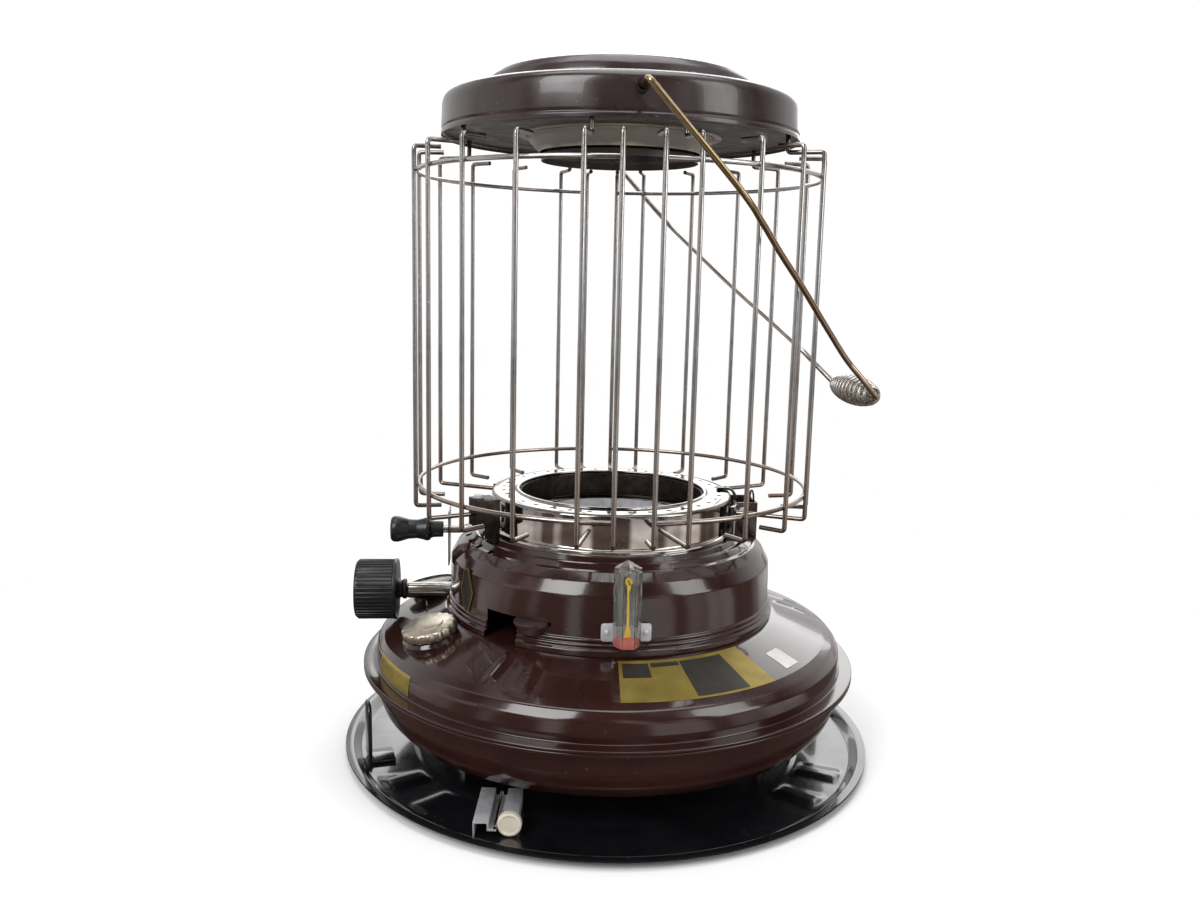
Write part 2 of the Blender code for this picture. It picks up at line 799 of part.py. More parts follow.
def make_tray():
    """The dished tray. Its path is its underside."""
    rim = TRAY_HEIGHT - TRAY_SHEET
    path = [(TRAY_RADIUS, rim), (TRAY_RADIUS - TRAY_RIM_WIDTH, rim), (TRAY_FLOOR_RADIUS, 0), (0, 0)]
    return shell("drip_tray", path, TRAY_SHEET, "black_enamel")


def make_retainer(side, azimuth):
    """A bent strip whose foot lies on the tray and whose upright faces the tank."""
    foot = tray_floor() + RETAINER_THICKNESS / 2
    path = [(RETAINER_RADIUS - RETAINER_FOOT, foot), (RETAINER_RADIUS, foot), (RETAINER_RADIUS, RETAINER_HEIGHT)]
    outline = strip_outline(path, RETAINER_THICKNESS)
    return plate(f"tray_retainer_{side}", [outline], RETAINER_WIDTH, "black_enamel", polar(azimuth) @ UPRIGHT)


def make_leg(number, azimuth):
    """A leg from the tray to the tank's flat bottom."""
    top = TANK_BOTTOM - GAP
    floor = tray_floor()
    foot_top = floor + LEG_FOOT_HEIGHT
    profile = [
        (0, top),
        (LEG_STEM_RADIUS, top),
        (LEG_STEM_RADIUS, foot_top),
        (LEG_FOOT_RADIUS, foot_top),
        (LEG_FOOT_RADIUS, floor),
        (0, floor),
    ]
    return solid_of_turn(
        f"support_leg_{number}", profile, "black_enamel", polar(azimuth, LEG_PLACE_RADIUS), ROD_SIDES
    )


def clamp_frame():
    """Frame on the floor under the tray clamp, with its X axis along the clamp, outwards."""
    return at(CLAMP_X, CLAMP_Y) @ polar(CLAMP_AZIMUTH)


def clamp_knob_frame():
    """Frame at the back of the clamp knob, with its Z axis along the stem, outwards."""
    land = (CLAMP_GROOVE_WIDTH + CLAMP_WIDTH) / 4
    height = CLAMP_HEIGHT - CLAMP_SHEET - GAP - CLAMP_STEM_RADIUS
    return clamp_frame() @ at(CLAMP_LENGTH / 2 - CLAMP_RECESS + GAP, land, height) @ TO_RIGHT


def make_clamp_channel():
    """A folded channel with a groove between two lands. The right land ends in a plate for the knob's stem."""
    half = CLAMP_SHEET / 2
    side = CLAMP_WIDTH / 2 - half
    top = CLAMP_HEIGHT - half
    groove = CLAMP_GROOVE_WIDTH / 2 + half
    sunk = top - CLAMP_GROOVE_DEPTH
    floor = tray_floor()
    left = [(-side, floor), (-side, top), (-groove, top), (-groove, sunk)]
    right = [(groove, sunk), (groove, top), (side, top), (side, floor)]
    outline = strip_outline(left + right, CLAMP_SHEET)
    channel = plate("tray_clamp_channel", [outline], CLAMP_LENGTH, "zinc_plate", clamp_frame() @ ACROSS)
    end = CLAMP_LENGTH / 2 - CLAMP_RECESS
    knob_side = (groove - half + side + half) / 2 - CLAMP_KNOB_RADIUS - GAP
    recess = block(
        "clamp_recess",
        (end, knob_side, -OVERRUN),
        (CLAMP_LENGTH / 2 + OVERRUN, CLAMP_WIDTH / 2 + OVERRUN, CLAMP_HEIGHT + OVERRUN),
        "zinc_plate",
        clamp_frame(),
    )
    end_plate = block(
        "clamp_end_plate", (end - CLAMP_SHEET, groove, floor + half), (end, side, top), "zinc_plate", clamp_frame()
    )
    bore = rod(
        "clamp_bore", CLAMP_STEM_RADIUS + GAP, -CLAMP_SHEET - OVERRUN, OVERRUN, "zinc_plate", clamp_knob_frame()
    )
    return cut(join(cut(channel, recess), end_plate), bore)


def make_clamp_rod():
    """The rod that lies in the clamp's groove."""
    height = CLAMP_HEIGHT - CLAMP_GROOVE_DEPTH + GAP + CLAMP_ROD_RADIUS
    frame = clamp_frame() @ at(z=height) @ TO_RIGHT
    return rod("tray_clamp_rod", CLAMP_ROD_RADIUS, -CLAMP_LENGTH / 2, CLAMP_LENGTH / 2, "zinc_plate", frame)


def make_clamp_knob():
    """The thumb knob with its stem, which turns in the clamp's end plate."""
    profile = [
        (0, CLAMP_KNOB_THICKNESS),
        (CLAMP_KNOB_RADIUS, CLAMP_KNOB_THICKNESS),
        (CLAMP_KNOB_RADIUS, 0),
        (CLAMP_STEM_RADIUS, 0),
        (CLAMP_STEM_RADIUS, -CLAMP_STEM_LENGTH),
        (0, -CLAMP_STEM_LENGTH),
    ]
    return solid_of_turn("tray_clamp_knob", profile, "white_plastic", clamp_knob_frame(), ROD_SIDES)


# Fuel tank


def make_lower_tank():
    """The tank's lower shell, from the hem in the seam down to the hole for the draft tube."""
    hem = SEAM_HEIGHT - SEAM_HEM
    path = [
        (TANK_LOWER_RADIUS - SEAM_HEM_TAIL, SEAM_HEIGHT),
        (SEAM_RADIUS, SEAM_HEIGHT),
        (SEAM_RADIUS, hem),
        (TANK_LOWER_RADIUS, hem),
    ]
    for radius_share, height_share in LOWER_WALL_SHARES:
        path.append((TANK_LOWER_RADIUS * radius_share, TANK_BOTTOM + (hem - TANK_BOTTOM) * height_share))
    path.append((TANK_LOWER_RADIUS * TANK_BOTTOM_SHARE, TANK_BOTTOM))
    path.append((DRAFT_TUBE_RADIUS + GAP, TANK_BOTTOM))
    return shell("tank_lower_shell", path, SHEET, "brown_enamel")


def boss_profile(radius, top_radius, bore):
    """A pressed boss: a skirt that goes down through the tank's sheet, and a flat top with a bore."""
    under = BOSS_HEIGHT - BOSS_WALL
    return [
        (bore, BOSS_HEIGHT),
        (top_radius, BOSS_HEIGHT),
        (radius, BOSS_SKIRT_HEIGHT),
        (radius, -BOSS_DEPTH),
        (radius - BOSS_WALL, -BOSS_DEPTH),
        (radius - BOSS_WALL, BOSS_SKIRT_HEIGHT - BOSS_WALL),
        (top_radius - BOSS_WALL, under),
        (bore, under),
    ]


def add_boss(tank, name, frame, radius, top_radius, bore):
    """Presses a boss into the tank's upper shell."""
    opening = rod(
        f"{name}_opening", radius - BOSS_WALL / 2, -BOSS_DEPTH - OVERRUN, BOSS_DEPTH, "brown_enamel", frame, DISC_SIDES
    )
    boss = turned(f"{name}_boss", boss_profile(radius, top_radius, bore), "brown_enamel", frame, DISC_SIDES)
    return join(cut(tank, opening), boss)


def make_upper_tank():
    """The tank's upper shell: a well round the wick tube, a crown, a slope with two bosses, and a hem."""
    slope_foot = (SLOPE_FOOT_RADIUS, SLOPE_FOOT_HEIGHT)
    wall_top = (TANK_RADIUS, TANK_WALL_TOP)
    hem_bottom = SEAM_HEIGHT + GAP
    hem_top = hem_bottom + SEAM_HEM
    path = [
        (WICK_TUBE_RADIUS + GAP, WELL_HEIGHT),
        (WELL_RADIUS, WELL_HEIGHT),
        (WELL_RIM_RADIUS, TANK_TOP),
        (SLOPE_TOP_RADIUS, SLOPE_TOP_HEIGHT),
        slope_foot,
        *between(slope_foot, wall_top, UPPER_SHOULDER_SHARES),
        wall_top,
        (TANK_RADIUS, hem_top),
        (SEAM_RADIUS, hem_top),
        (SEAM_RADIUS, hem_bottom),
        (TANK_LOWER_RADIUS - SEAM_HEM_TAIL, hem_bottom),
    ]
    tank = shell("tank_upper_shell", path, SHEET, "brown_enamel")
    add_boss(tank, "filler", filler_frame(), FILLER_BOSS_RADIUS, FILLER_BOSS_TOP_RADIUS, NECK_RADIUS + GAP)
    return add_boss(tank, "gauge", gauge_frame(), GAUGE_BOSS_RADIUS, GAUGE_BOSS_TOP_RADIUS, STEM_RADIUS + GAP)


# Filler and fuel cap


def cap_cavity():
    """Radius of the hollow under the fuel cap."""
    return CAP_RADIUS * (1 - CAP_LOBE_SHARE) - CAP_WALL


def make_filler_neck():
    """The plated neck in the filler boss, with a small flange on it."""
    low = BOSS_HEIGHT + GAP
    high = low + NECK_FLANGE_THICKNESS
    flange = NECK_RADIUS + NECK_FLANGE
    inner = NECK_RADIUS - NECK_WALL
    profile = [
        (NECK_RADIUS, NECK_TOP),
        (NECK_RADIUS, high),
        (flange, high),
        (flange, low),
        (NECK_RADIUS, low),
        (NECK_RADIUS, -NECK_DEPTH),
        (inner, -NECK_DEPTH),
        (inner, NECK_TOP),
    ]
    return turned("filler_neck", profile, "zinc_plate", filler_frame(), DISC_SIDES)


def make_strainer():
    """The strainer cup that hangs in the filler neck."""
    outer = NECK_RADIUS - NECK_WALL - GAP
    inner = outer - STRAINER_WALL
    floor = STRAINER_WALL - STRAINER_DEPTH
    profile = [
        (0, floor),
        (inner, floor),
        (inner, NECK_TOP),
        (outer, NECK_TOP),
        (outer, -STRAINER_DEPTH),
        (0, -STRAINER_DEPTH),
    ]
    return solid_of_turn("filler_strainer", profile, "white_plastic", filler_frame(), DISC_SIDES)


def make_gasket():
    """The gasket between the neck and the cap."""
    bottom = NECK_TOP + GAP
    top = bottom + GASKET_THICKNESS
    outer = cap_cavity() * cos(pi / CAP_HOLLOW_SIDES) - GAP
    return pipe("cap_gasket", outer, GASKET_BORE, bottom, top, "black_rubber", filler_frame(), DISC_SIDES)


def make_fuel_cap():
    """The scalloped cap, hollow underneath."""
    points = CAP_LOBES * CAP_POINTS_PER_LOBE
    outline = []
    for i in range(points):
        angle = 2 * pi * i / points
        radius = CAP_RADIUS * (1 - CAP_LOBE_SHARE * (1 - cos(CAP_LOBES * angle)) / 2)
        outline.append((radius * cos(angle), radius * sin(angle)))
    middle = filler_frame() @ at(z=(CAP_BOTTOM + CAP_TOP) / 2)
    cap = plate("fuel_cap", [outline], CAP_TOP - CAP_BOTTOM, "zinc_plate", middle)
    ceiling = NECK_TOP + GAP + GASKET_THICKNESS + GAP
    hollow = rod(
        "cap_hollow", cap_cavity(), CAP_BOTTOM - OVERRUN, ceiling, "zinc_plate", filler_frame(), CAP_HOLLOW_SIDES
    )
    return cut(cap, hollow)


# Fuel gauge


def make_dial_case():
    """The dial's case with its spindle, on a stem that goes down through the tank's top."""
    base = BOSS_HEIGHT + GAP
    top = base + DIAL_HEIGHT
    floor = base + DIAL_FLOOR
    seat = top - LENS_INSET - LENS_THICKNESS - GAP
    inside = DIAL_RADIUS - DIAL_RIM
    profile = [
        (0, floor + SPINDLE_HEIGHT),
        (SPINDLE_RADIUS, floor + SPINDLE_HEIGHT),
        (SPINDLE_RADIUS, floor),
        (inside - DIAL_LEDGE, floor),
        (inside - DIAL_LEDGE, seat),
        (inside, seat),
        (inside, top),
        (DIAL_RADIUS, top),
        (DIAL_RADIUS, base),
        (STEM_RADIUS, base),
        (STEM_RADIUS, -STEM_DEPTH),
        (0, -STEM_DEPTH),
    ]
    case = solid_of_turn("fuel_dial_case", profile, "dark_steel", gauge_frame(), DISC_SIDES)
    bore = FLOAT_WIRE_RADIUS + GAP
    reach = STEM_RADIUS + OVERRUN
    pivot = rod("float_bore", bore, -reach, reach, "dark_steel", float_frame() @ TO_RIGHT)
    return cut(case, pivot)


def make_dial_lens():
    """The clear disc over the dial, on the ledge of its case."""
    top = BOSS_HEIGHT + GAP + DIAL_HEIGHT - LENS_INSET
    radius = DIAL_RADIUS - DIAL_RIM - GAP
    return rod(
        "fuel_dial_lens", radius, top - LENS_THICKNESS, top, "clear_plastic", gauge_frame(), DISC_SIDES
    )


def make_needle():
    """The dial's needle, a long lozenge with a bore for the spindle."""
    tip = NEEDLE_LENGTH / 2
    tail = NEEDLE_LENGTH * NEEDLE_TAIL_SHARE
    half = NEEDLE_WIDTH / 2
    end = half * NEEDLE_END_SHARE
    outline = [(-tail, -end), (0, -half), (tip, -end), (tip, end), (0, half), (-tail, end)]
    bore = circle_outline(SPINDLE_RADIUS + GAP, ROD_SIDES)
    height = BOSS_HEIGHT + GAP + DIAL_FLOOR + GAP + NEEDLE_THICKNESS / 2
    return plate(
        "fuel_dial_needle", [outline, bore], NEEDLE_THICKNESS, "black_plastic", gauge_frame() @ at(z=height)
    )


def make_float():
    """The float and its bent arm, whose end lies in the stem's cross bore."""
    drop = radians(FLOAT_DROP)
    end = (-FLOAT_ARM_OFFSET, FLOAT_ARM_LENGTH * cos(drop), -FLOAT_ARM_LENGTH * sin(drop))
    corners = [(FLOAT_ARM_REACH, 0, 0), (-FLOAT_ARM_OFFSET, 0, 0), end]
    path = rounded(corners, 2 * FLOAT_WIRE_RADIUS)
    arm = wire("fuel_float", [path], FLOAT_WIRE_RADIUS, "brass", float_frame())
    body = rod(
        "float_body", FLOAT_RADIUS, -FLOAT_HEIGHT / 2, FLOAT_HEIGHT / 2, "brass", float_frame() @ at(*end)
    )
    return join(arm, body)


# Collar


def collar_path():
    """The collar's outer face, from the lip at its mouth down to its foot."""
    lip = (COLLAR_MOUTH_RADIUS + COLLAR_LIP, COLLAR_TOP)
    wall_top = (COLLAR_RADIUS, COLLAR_WALL_TOP)
    return [
        (COLLAR_MOUTH_RADIUS, COLLAR_TOP),
        lip,
        *between(lip, wall_top, COLLAR_SHOULDER_SHARES),
        wall_top,
        (COLLAR_RADIUS, COLLAR_FOOT_TOP),
        (COLLAR_FOOT_RADIUS, COLLAR_FOOT_TOP - COLLAR_FOOT_BEVEL),
        (COLLAR_FOOT_RADIUS, collar_foot_bottom()),
    ]


def shoulder_gauge(name):
    """A cutter that trims a bracket's foot to the collar's shoulder, with a gap."""
    face = offset_path(collar_path(), GAP)
    return solid_of_turn(name, [(0, face[0][1]), *face, (0, face[-1][1])], "brown_enamel")


def sector(name, azimuths, heights):
    """A cutter through the collar's wall, between two azimuths and two heights."""
    start, end = azimuths
    steps = ceil((end - start) / SECTOR_STEP)
    turns = [radians(start + (end - start) * i / steps) for i in range(steps + 1)]
    inner = [(COLLAR_LEDGE_RADIUS * sin(t), -COLLAR_LEDGE_RADIUS * cos(t)) for t in turns]
    outer = [(GUARD_RADIUS * sin(t), -GUARD_RADIUS * cos(t)) for t in turns]
    middle = at(z=(heights[0] + heights[1]) / 2)
    return plate(name, [inner + outer[::-1]], heights[1] - heights[0], "brown_enamel", middle)


def make_collar():
    """The collar, with a notch and slot for the shut-off tab, vents, and holes for the sleeve and rivets."""
    collar = shell("collar", collar_path(), SHEET, "brown_enamel")
    notch = sector("collar_notch", NOTCH_AZIMUTHS, (TANK_TOP - BOSS_DEPTH, SLOT_TOP))
    slot = sector("collar_slot", (NOTCH_AZIMUTHS[0], SLOT_END_AZIMUTH), (SLOT_BOTTOM, SLOT_TOP))
    sleeve_hole = rod(
        "sleeve_hole", SLEEVE_RADIUS + GAP, COLLAR_LEDGE_RADIUS, GUARD_RADIUS, "brown_enamel", shaft_frame(), DISC_SIDES
    )
    cut(collar, notch, slot, sleeve_hole)
    for number, azimuth in enumerate(VENT_AZIMUTHS, 1):
        low = (-VENT_LENGTH / 2, -VENT_WIDTH / 2, COLLAR_WALL_TOP)
        high = (VENT_LENGTH / 2, VENT_WIDTH / 2, COLLAR_TOP)
        cut(collar, block(f"vent_{number}", low, high, "brown_enamel", polar(azimuth, VENT_RADIUS)))
    for side, x in (("left", -RIVET_PLACE), ("right", RIVET_PLACE)):
        cut(collar, rod(f"rivet_hole_{side}", RIVET_RADIUS + GAP, -RIVET_LENGTH, 0, "brown_enamel", rivet_frame(x)))
    return collar


def make_badge():
    """The bare badge plate, a tall hexagon on the collar's wall."""
    half = BADGE_HEIGHT / 2
    end = BADGE_END_WIDTH / 2
    side = BADGE_WIDTH / 2
    outline = [(-end, -half), (end, -half), (side, 0), (end, half), (-end, half), (-side, 0)]
    distance = COLLAR_RADIUS + GAP + BADGE_THICKNESS / 2
    frame = polar(BADGE_AZIMUTH, distance, BADGE_CENTRE_HEIGHT) @ ACROSS
    return plate("badge_plate", [outline], BADGE_THICKNESS, "black_enamel", frame)


def make_shutoff():
    """The shut-off lever: a ring round the wick tube, an arm and a tab with a skirt outside the collar."""
    inner = WICK_TUBE_RADIUS / cos(pi / SHELL_SIDES) + GAP
    ring_top = LEVER_RING_BOTTOM + LEVER_SHEET
    ring = pipe(
        "shutoff_lever", inner + LEVER_RING_WIDTH, inner, LEVER_RING_BOTTOM, ring_top, "black_plastic"
    )
    middle = LEVER_RING_BOTTOM + LEVER_SHEET / 2
    tab_height = (SLOT_BOTTOM + SLOT_TOP) / 2
    path = [
        (inner + LEVER_RING_WIDTH / 2, middle),
        (LEVER_ARM_RADIUS, middle),
        (LEVER_ARM_RADIUS, tab_height),
        (COLLAR_RADIUS - LEVER_SHEET, tab_height),
    ]
    outline = strip_outline(path, LEVER_SHEET)
    arm = plate("lever_arm", [outline], LEVER_ARM_WIDTH, "black_plastic", polar(TAB_AZIMUTH) @ UPRIGHT)
    half = TAB_WIDTH / 2
    turns = [pi * i / DISC_SIDES * 2 - pi / 2 for i in range(DISC_SIDES // 2 + 1)]
    oval = [(TAB_REACH * cos(t), half * sin(t)) for t in turns]
    tab_frame = polar(TAB_AZIMUTH, COLLAR_RADIUS, tab_height)
    tab = plate("lever_tab", [[(-TAB_TAIL, -half), *oval, (-TAB_TAIL, half)]], TAB_THICKNESS, "black_plastic", tab_frame)
    start = TAB_SKIRT_DEPTH * TAB_SKIRT_INSET_SHARE
    rim = [(start + (x * (1 - TAB_SKIRT_INSET_SHARE)), y * TAB_SKIRT_SIDE_SHARE) for x, y in oval]
    foot = [(start + (x - start) * TAB_SKIRT_SHARE, y * TAB_SKIRT_SHARE) for x, y in rim]
    skirt = tapered("lever_skirt", foot, rim, -TAB_SKIRT_DEPTH, 0, "black_plastic", tab_frame)
    return join(ring, arm, tab, skirt)


# Tilt indicator


def rivet_frame(x):
    """Frame on the front face of the indicator's bracket, with its Z axis forwards."""
    front = COLLAR_RADIUS + GAP + SHEET + GAP
    return at(x, -front, BRACKET_BOTTOM + BRACKET_HEIGHT / 2) @ UPRIGHT


def make_bracket():
    """The indicator's plated bracket, flat against the collar."""
    side = BRACKET_WIDTH / 2
    top = BRACKET_BOTTOM + BRACKET_HEIGHT
    bevel = BRACKET_ROUND
    outline = [
        (-side + bevel, BRACKET_BOTTOM),
        (side - bevel, BRACKET_BOTTOM),
        (side, BRACKET_BOTTOM + bevel),
        (side, top - bevel),
        (side - bevel, top),
        (-side + bevel, top),
        (-side, top - bevel),
        (-side, BRACKET_BOTTOM + bevel),
    ]
    height = (BRACKET_BOTTOM + top) / 2
    holes = [circle_outline(RIVET_RADIUS + GAP, ROD_SIDES, (x, height)) for x in (-RIVET_PLACE, RIVET_PLACE)]
    frame = at(y=-COLLAR_RADIUS - GAP - SHEET / 2) @ UPRIGHT
    return plate("window_bracket", [outline, *holes], SHEET, "zinc_plate", frame)


def make_rivet(side, x):
    """A rivet that holds the bracket on the collar."""
    profile = [
        (0, RIVET_HEAD_HEIGHT),
        (RIVET_HEAD_RADIUS, 0),
        (RIVET_RADIUS, 0),
        (RIVET_RADIUS, -RIVET_LENGTH),
        (0, -RIVET_LENGTH),
    ]
    return solid_of_turn(f"bracket_rivet_{side}", profile, "zinc_plate", rivet_frame(x), ROD_SIDES)


def window_plan():
    """The case's outline seen from above: across, and forwards from its back."""
    side = WINDOW_WIDTH / 2
    front = WINDOW_FRONT_WIDTH / 2
    return [
        (0, 0),
        (-side, 0),
        (-side, WINDOW_SIDE_DEPTH),
        (-front, WINDOW_DEPTH),
        (0, WINDOW_DEPTH),
        (front, WINDOW_DEPTH),
        (side, WINDOW_SIDE_DEPTH),
        (side, 0),
    ]


def roof_height(across, forwards):
    """Height of the case's roof, which falls to both sides and forwards."""
    side_fall = WINDOW_SIDE_FALL * abs(across) / (WINDOW_WIDTH / 2)
    return WINDOW_TOP - side_fall - WINDOW_FRONT_FALL * forwards / WINDOW_DEPTH


def window_solid(name, inset, bottom, finish):
    """The case's solid shape, made smaller all round by an inset except at the bottom."""
    plan = window_plan()
    if inset:
        plan = offset_path([plan[-1], *plan, plan[0]], -inset)[1:-1]
    count = len(plan)
    points = [(x, -window_back() - y, bottom) for x, y in plan]
    points += [(x, -window_back() - y, roof_height(x, y) - inset) for x, y in plan]
    sides = [(i, (i + 1) % count, (i + 1) % count + count, i + count) for i in range(count)]
    left = tuple(range(count, count + 5))
    right = (count, *range(count + 4, 2 * count))
    mesh = bpy.data.meshes.new(name)
    mesh.from_pydata(points, [], [tuple(range(count))[::-1], *sides, left, right])
    return add_object(name, outward(mesh), finish)


def make_window():
    """The clear case, hollow and open at the bottom, with the pin that carries the pointer."""
    case = window_solid("window_case", 0, WINDOW_BOTTOM, "clear_plastic")
    hollow = window_solid("window_hollow", WINDOW_WALL, WINDOW_BOTTOM - OVERRUN, "clear_plastic")
    pin_frame = at(y=-window_back(), z=POINTER_PIVOT_HEIGHT) @ UPRIGHT
    wall = WINDOW_WALL / 2
    pin = rod("pointer_pin", POINTER_PIN_RADIUS, wall, WINDOW_DEPTH - wall, "clear_plastic", pin_frame)
    return join(cut(case, hollow), pin)


def make_window_base():
    """The coloured plug that closes the case at the bottom."""
    inset = WINDOW_WALL + GAP
    plan = window_plan()
    plan = offset_path([plan[-1], *plan, plan[0]], -inset)[1:-1]
    outline = [(x, -window_back() - y) for x, y in plan]
    frame = at(z=WINDOW_BOTTOM + WINDOW_BASE_HEIGHT / 2)
    return plate("window_base", [outline], WINDOW_BASE_HEIGHT, "red_plastic", frame)


def make_pointer():
    """The plumb pointer: an eye, a thin rod and a wedge."""
    half = POINTER_ROD_WIDTH / 2
    wedge = POINTER_WEDGE_WIDTH / 2
    start = asin(half / POINTER_EYE_RADIUS)
    turns = [start + (2 * pi - 2 * start) * i / ROD_SIDES for i in range(ROD_SIDES + 1)]
    radius = POINTER_EYE_RADIUS
    eye = [(radius * sin(t), POINTER_PIVOT_HEIGHT - radius * cos(t)) for t in turns]
    foot = [
        (-half, POINTER_WEDGE_TOP),
        (-wedge, POINTER_WEDGE_BOTTOM),
        (wedge, POINTER_WEDGE_BOTTOM),
        (half, POINTER_WEDGE_TOP),
    ]
    bore = circle_outline(POINTER_BORE, ROD_SIDES, (0, POINTER_PIVOT_HEIGHT))
    frame = at(y=-window_back() - POINTER_DEPTH) @ UPRIGHT
    return plate("plumb_pointer", [eye + foot, bore], POINTER_THICKNESS, "yellow_plastic", frame)


# Wick and its drive


def shaft_frame():
    """Frame on the heater's axis at the shaft's height, with its Z axis along the shaft, outwards."""
    return at(z=SHAFT_HEIGHT) @ TO_LEFT


def rack_edges():
    """Distances of the rack's tooth tips, tooth roots and back from the shaft's axis."""
    root = PINION_RADIUS + TOOTH_ROOT
    return PINION_RADIUS - TOOTH_TIP, root, root + RACK_THICKNESS


def make_draft_tube():
    """The open tube through the tank, inside the wick."""
    return pipe(
        "inner_draft_tube",
        DRAFT_TUBE_RADIUS,
        DRAFT_TUBE_RADIUS - SHEET,
        DRAFT_TUBE_BOTTOM,
        DRAFT_TUBE_TOP,
        "zinc_plate",
    )


def make_wick_tube():
    """The outer wick tube, with a slot in which the rack's arm rises."""
    inner = WICK_TUBE_RADIUS - WICK_TUBE_WALL
    tube = pipe("outer_wick_tube", WICK_TUBE_RADIUS, inner, WICK_TUBE_BOTTOM, WICK_TUBE_TOP, "zinc_plate")
    _, root, back = rack_edges()
    top = RACK_ARM_BOTTOM + RACK_ARM_HEIGHT + WICK_TRAVEL + RACK_SLOT_PLAY
    low = (-WICK_TUBE_RADIUS - OVERRUN, root - RACK_SLOT_PLAY, RACK_ARM_BOTTOM - RACK_SLOT_PLAY)
    high = (-DRAFT_TUBE_RADIUS, back + RACK_SLOT_PLAY, top)
    return cut(tube, block("rack_slot", low, high, "zinc_plate"))


def make_wick():
    """The round wick between the two tubes."""
    inner = DRAFT_TUBE_RADIUS + WICK_PLAY
    return pipe("wick", inner + WICK_THICKNESS, inner, WICK_BOTTOM, WICK_TOP, "wick_cotton")


def make_carrier():
    """The band that holds the wick, with an arm to the toothed rack outside the tube."""
    outer = carrier_radius()
    band = pipe("wick_carrier", outer, outer - CARRIER_WALL, CARRIER_BOTTOM, CARRIER_TOP, "brass")
    tip, root, back = rack_edges()
    pitch = 2 * pi * PINION_RADIUS / PINION_TEETH
    outline = [(root, RACK_BOTTOM), (back, RACK_BOTTOM), (back, RACK_TOP), (root, RACK_TOP)]
    most = int((RACK_TOP - SHAFT_HEIGHT - pitch / 2) / pitch)
    for i in range(most, -most - 1, -1):
        centre = SHAFT_HEIGHT + i * pitch
        for depth, share in ((root, TOOTH_ROOT_SHARE), (tip, TOOTH_TIP_SHARE)):
            outline.append((depth, centre + share * pitch))
        for depth, share in ((tip, TOOTH_TIP_SHARE), (root, TOOTH_ROOT_SHARE)):
            outline.append((depth, centre - share * pitch))
    rack = plate("wick_rack", [outline], PINION_WIDTH, "brass", at(x=-PINION_PLACE) @ ACROSS)
    low = (-PINION_PLACE, root + RACK_ARM_INSET, RACK_ARM_BOTTOM)
    high = (RACK_ARM_SINK + CARRIER_WALL - outer, back - RACK_ARM_INSET, RACK_ARM_BOTTOM + RACK_ARM_HEIGHT)
    arm = block("rack_arm", low, high, "brass")
    return join(band, arm, rack)


def make_shaft():
    """The knob's shaft with its pinion. A gap between two teeth faces the rack."""
    start = PINION_PLACE - PINION_WIDTH / 2 - RACK_ARM_INSET
    shaft = rod("pinion_shaft", SHAFT_RADIUS, start, KNOB_BORE_END - GAP, "dark_steel", shaft_frame())
    pitch = 2 * pi / PINION_TEETH
    tip = PINION_RADIUS + TOOTH_TIP
    root = PINION_RADIUS - TOOTH_ROOT
    corners = ((root, -TOOTH_ROOT_SHARE), (tip, -TOOTH_TIP_SHARE), (tip, TOOTH_TIP_SHARE), (root, TOOTH_ROOT_SHARE))
    outline = []
    for i in range(PINION_TEETH):
        for radius, share in corners:
            angle = (i + 1 / 2 + share) * pitch
            outline.append((radius * cos(angle), radius * sin(angle)))
    frame = at(x=-PINION_PLACE, z=SHAFT_HEIGHT) @ ACROSS
    return join(shaft, plate("pinion", [outline], PINION_WIDTH, "dark_steel", frame))


def make_sleeve():
    """The steel sleeve round the shaft, fixed in the collar."""
    bore = SHAFT_RADIUS + GAP
    return pipe(
        "knob_sleeve", SLEEVE_RADIUS, bore, SLEEVE_INNER_END, SLEEVE_OUTER_END, "zinc_plate", shaft_frame(), DISC_SIDES
    )


def make_knob():
    """The wick knob, with a blind bore for the shaft."""
    bore = SHAFT_RADIUS + GAP
    flange = KNOB_RADIUS + KNOB_FLANGE
    step = KNOB_INNER_END + KNOB_FLANGE_THICKNESS
    profile = [
        (0, KNOB_OUTER_END),
        (KNOB_RADIUS - KNOB_EDGE, KNOB_OUTER_END),
        (KNOB_RADIUS, KNOB_OUTER_END - KNOB_EDGE),
        (KNOB_RADIUS, step),
        (flange, step),
        (flange, KNOB_INNER_END),
        (KNOB_HUB_RADIUS, KNOB_INNER_END),
        (KNOB_HUB_RADIUS, KNOB_HUB_END),
        (bore, KNOB_HUB_END),
        (bore, KNOB_BORE_END),
        (0, KNOB_BORE_END),
    ]
    return solid_of_turn("wick_knob", profile, "black_plastic", shaft_frame(), DISC_SIDES)


# Burner ring and its hinge


def make_seat():
    """The flat ring under the collar's lip, which carries the burner ring."""
    top = COLLAR_TOP - SHEET - GAP
    return pipe(
        "burner_seat", SEAT_RADIUS, WICK_TUBE_RADIUS + GAP, top - SEAT_THICKNESS, top, "dark_steel"
    )


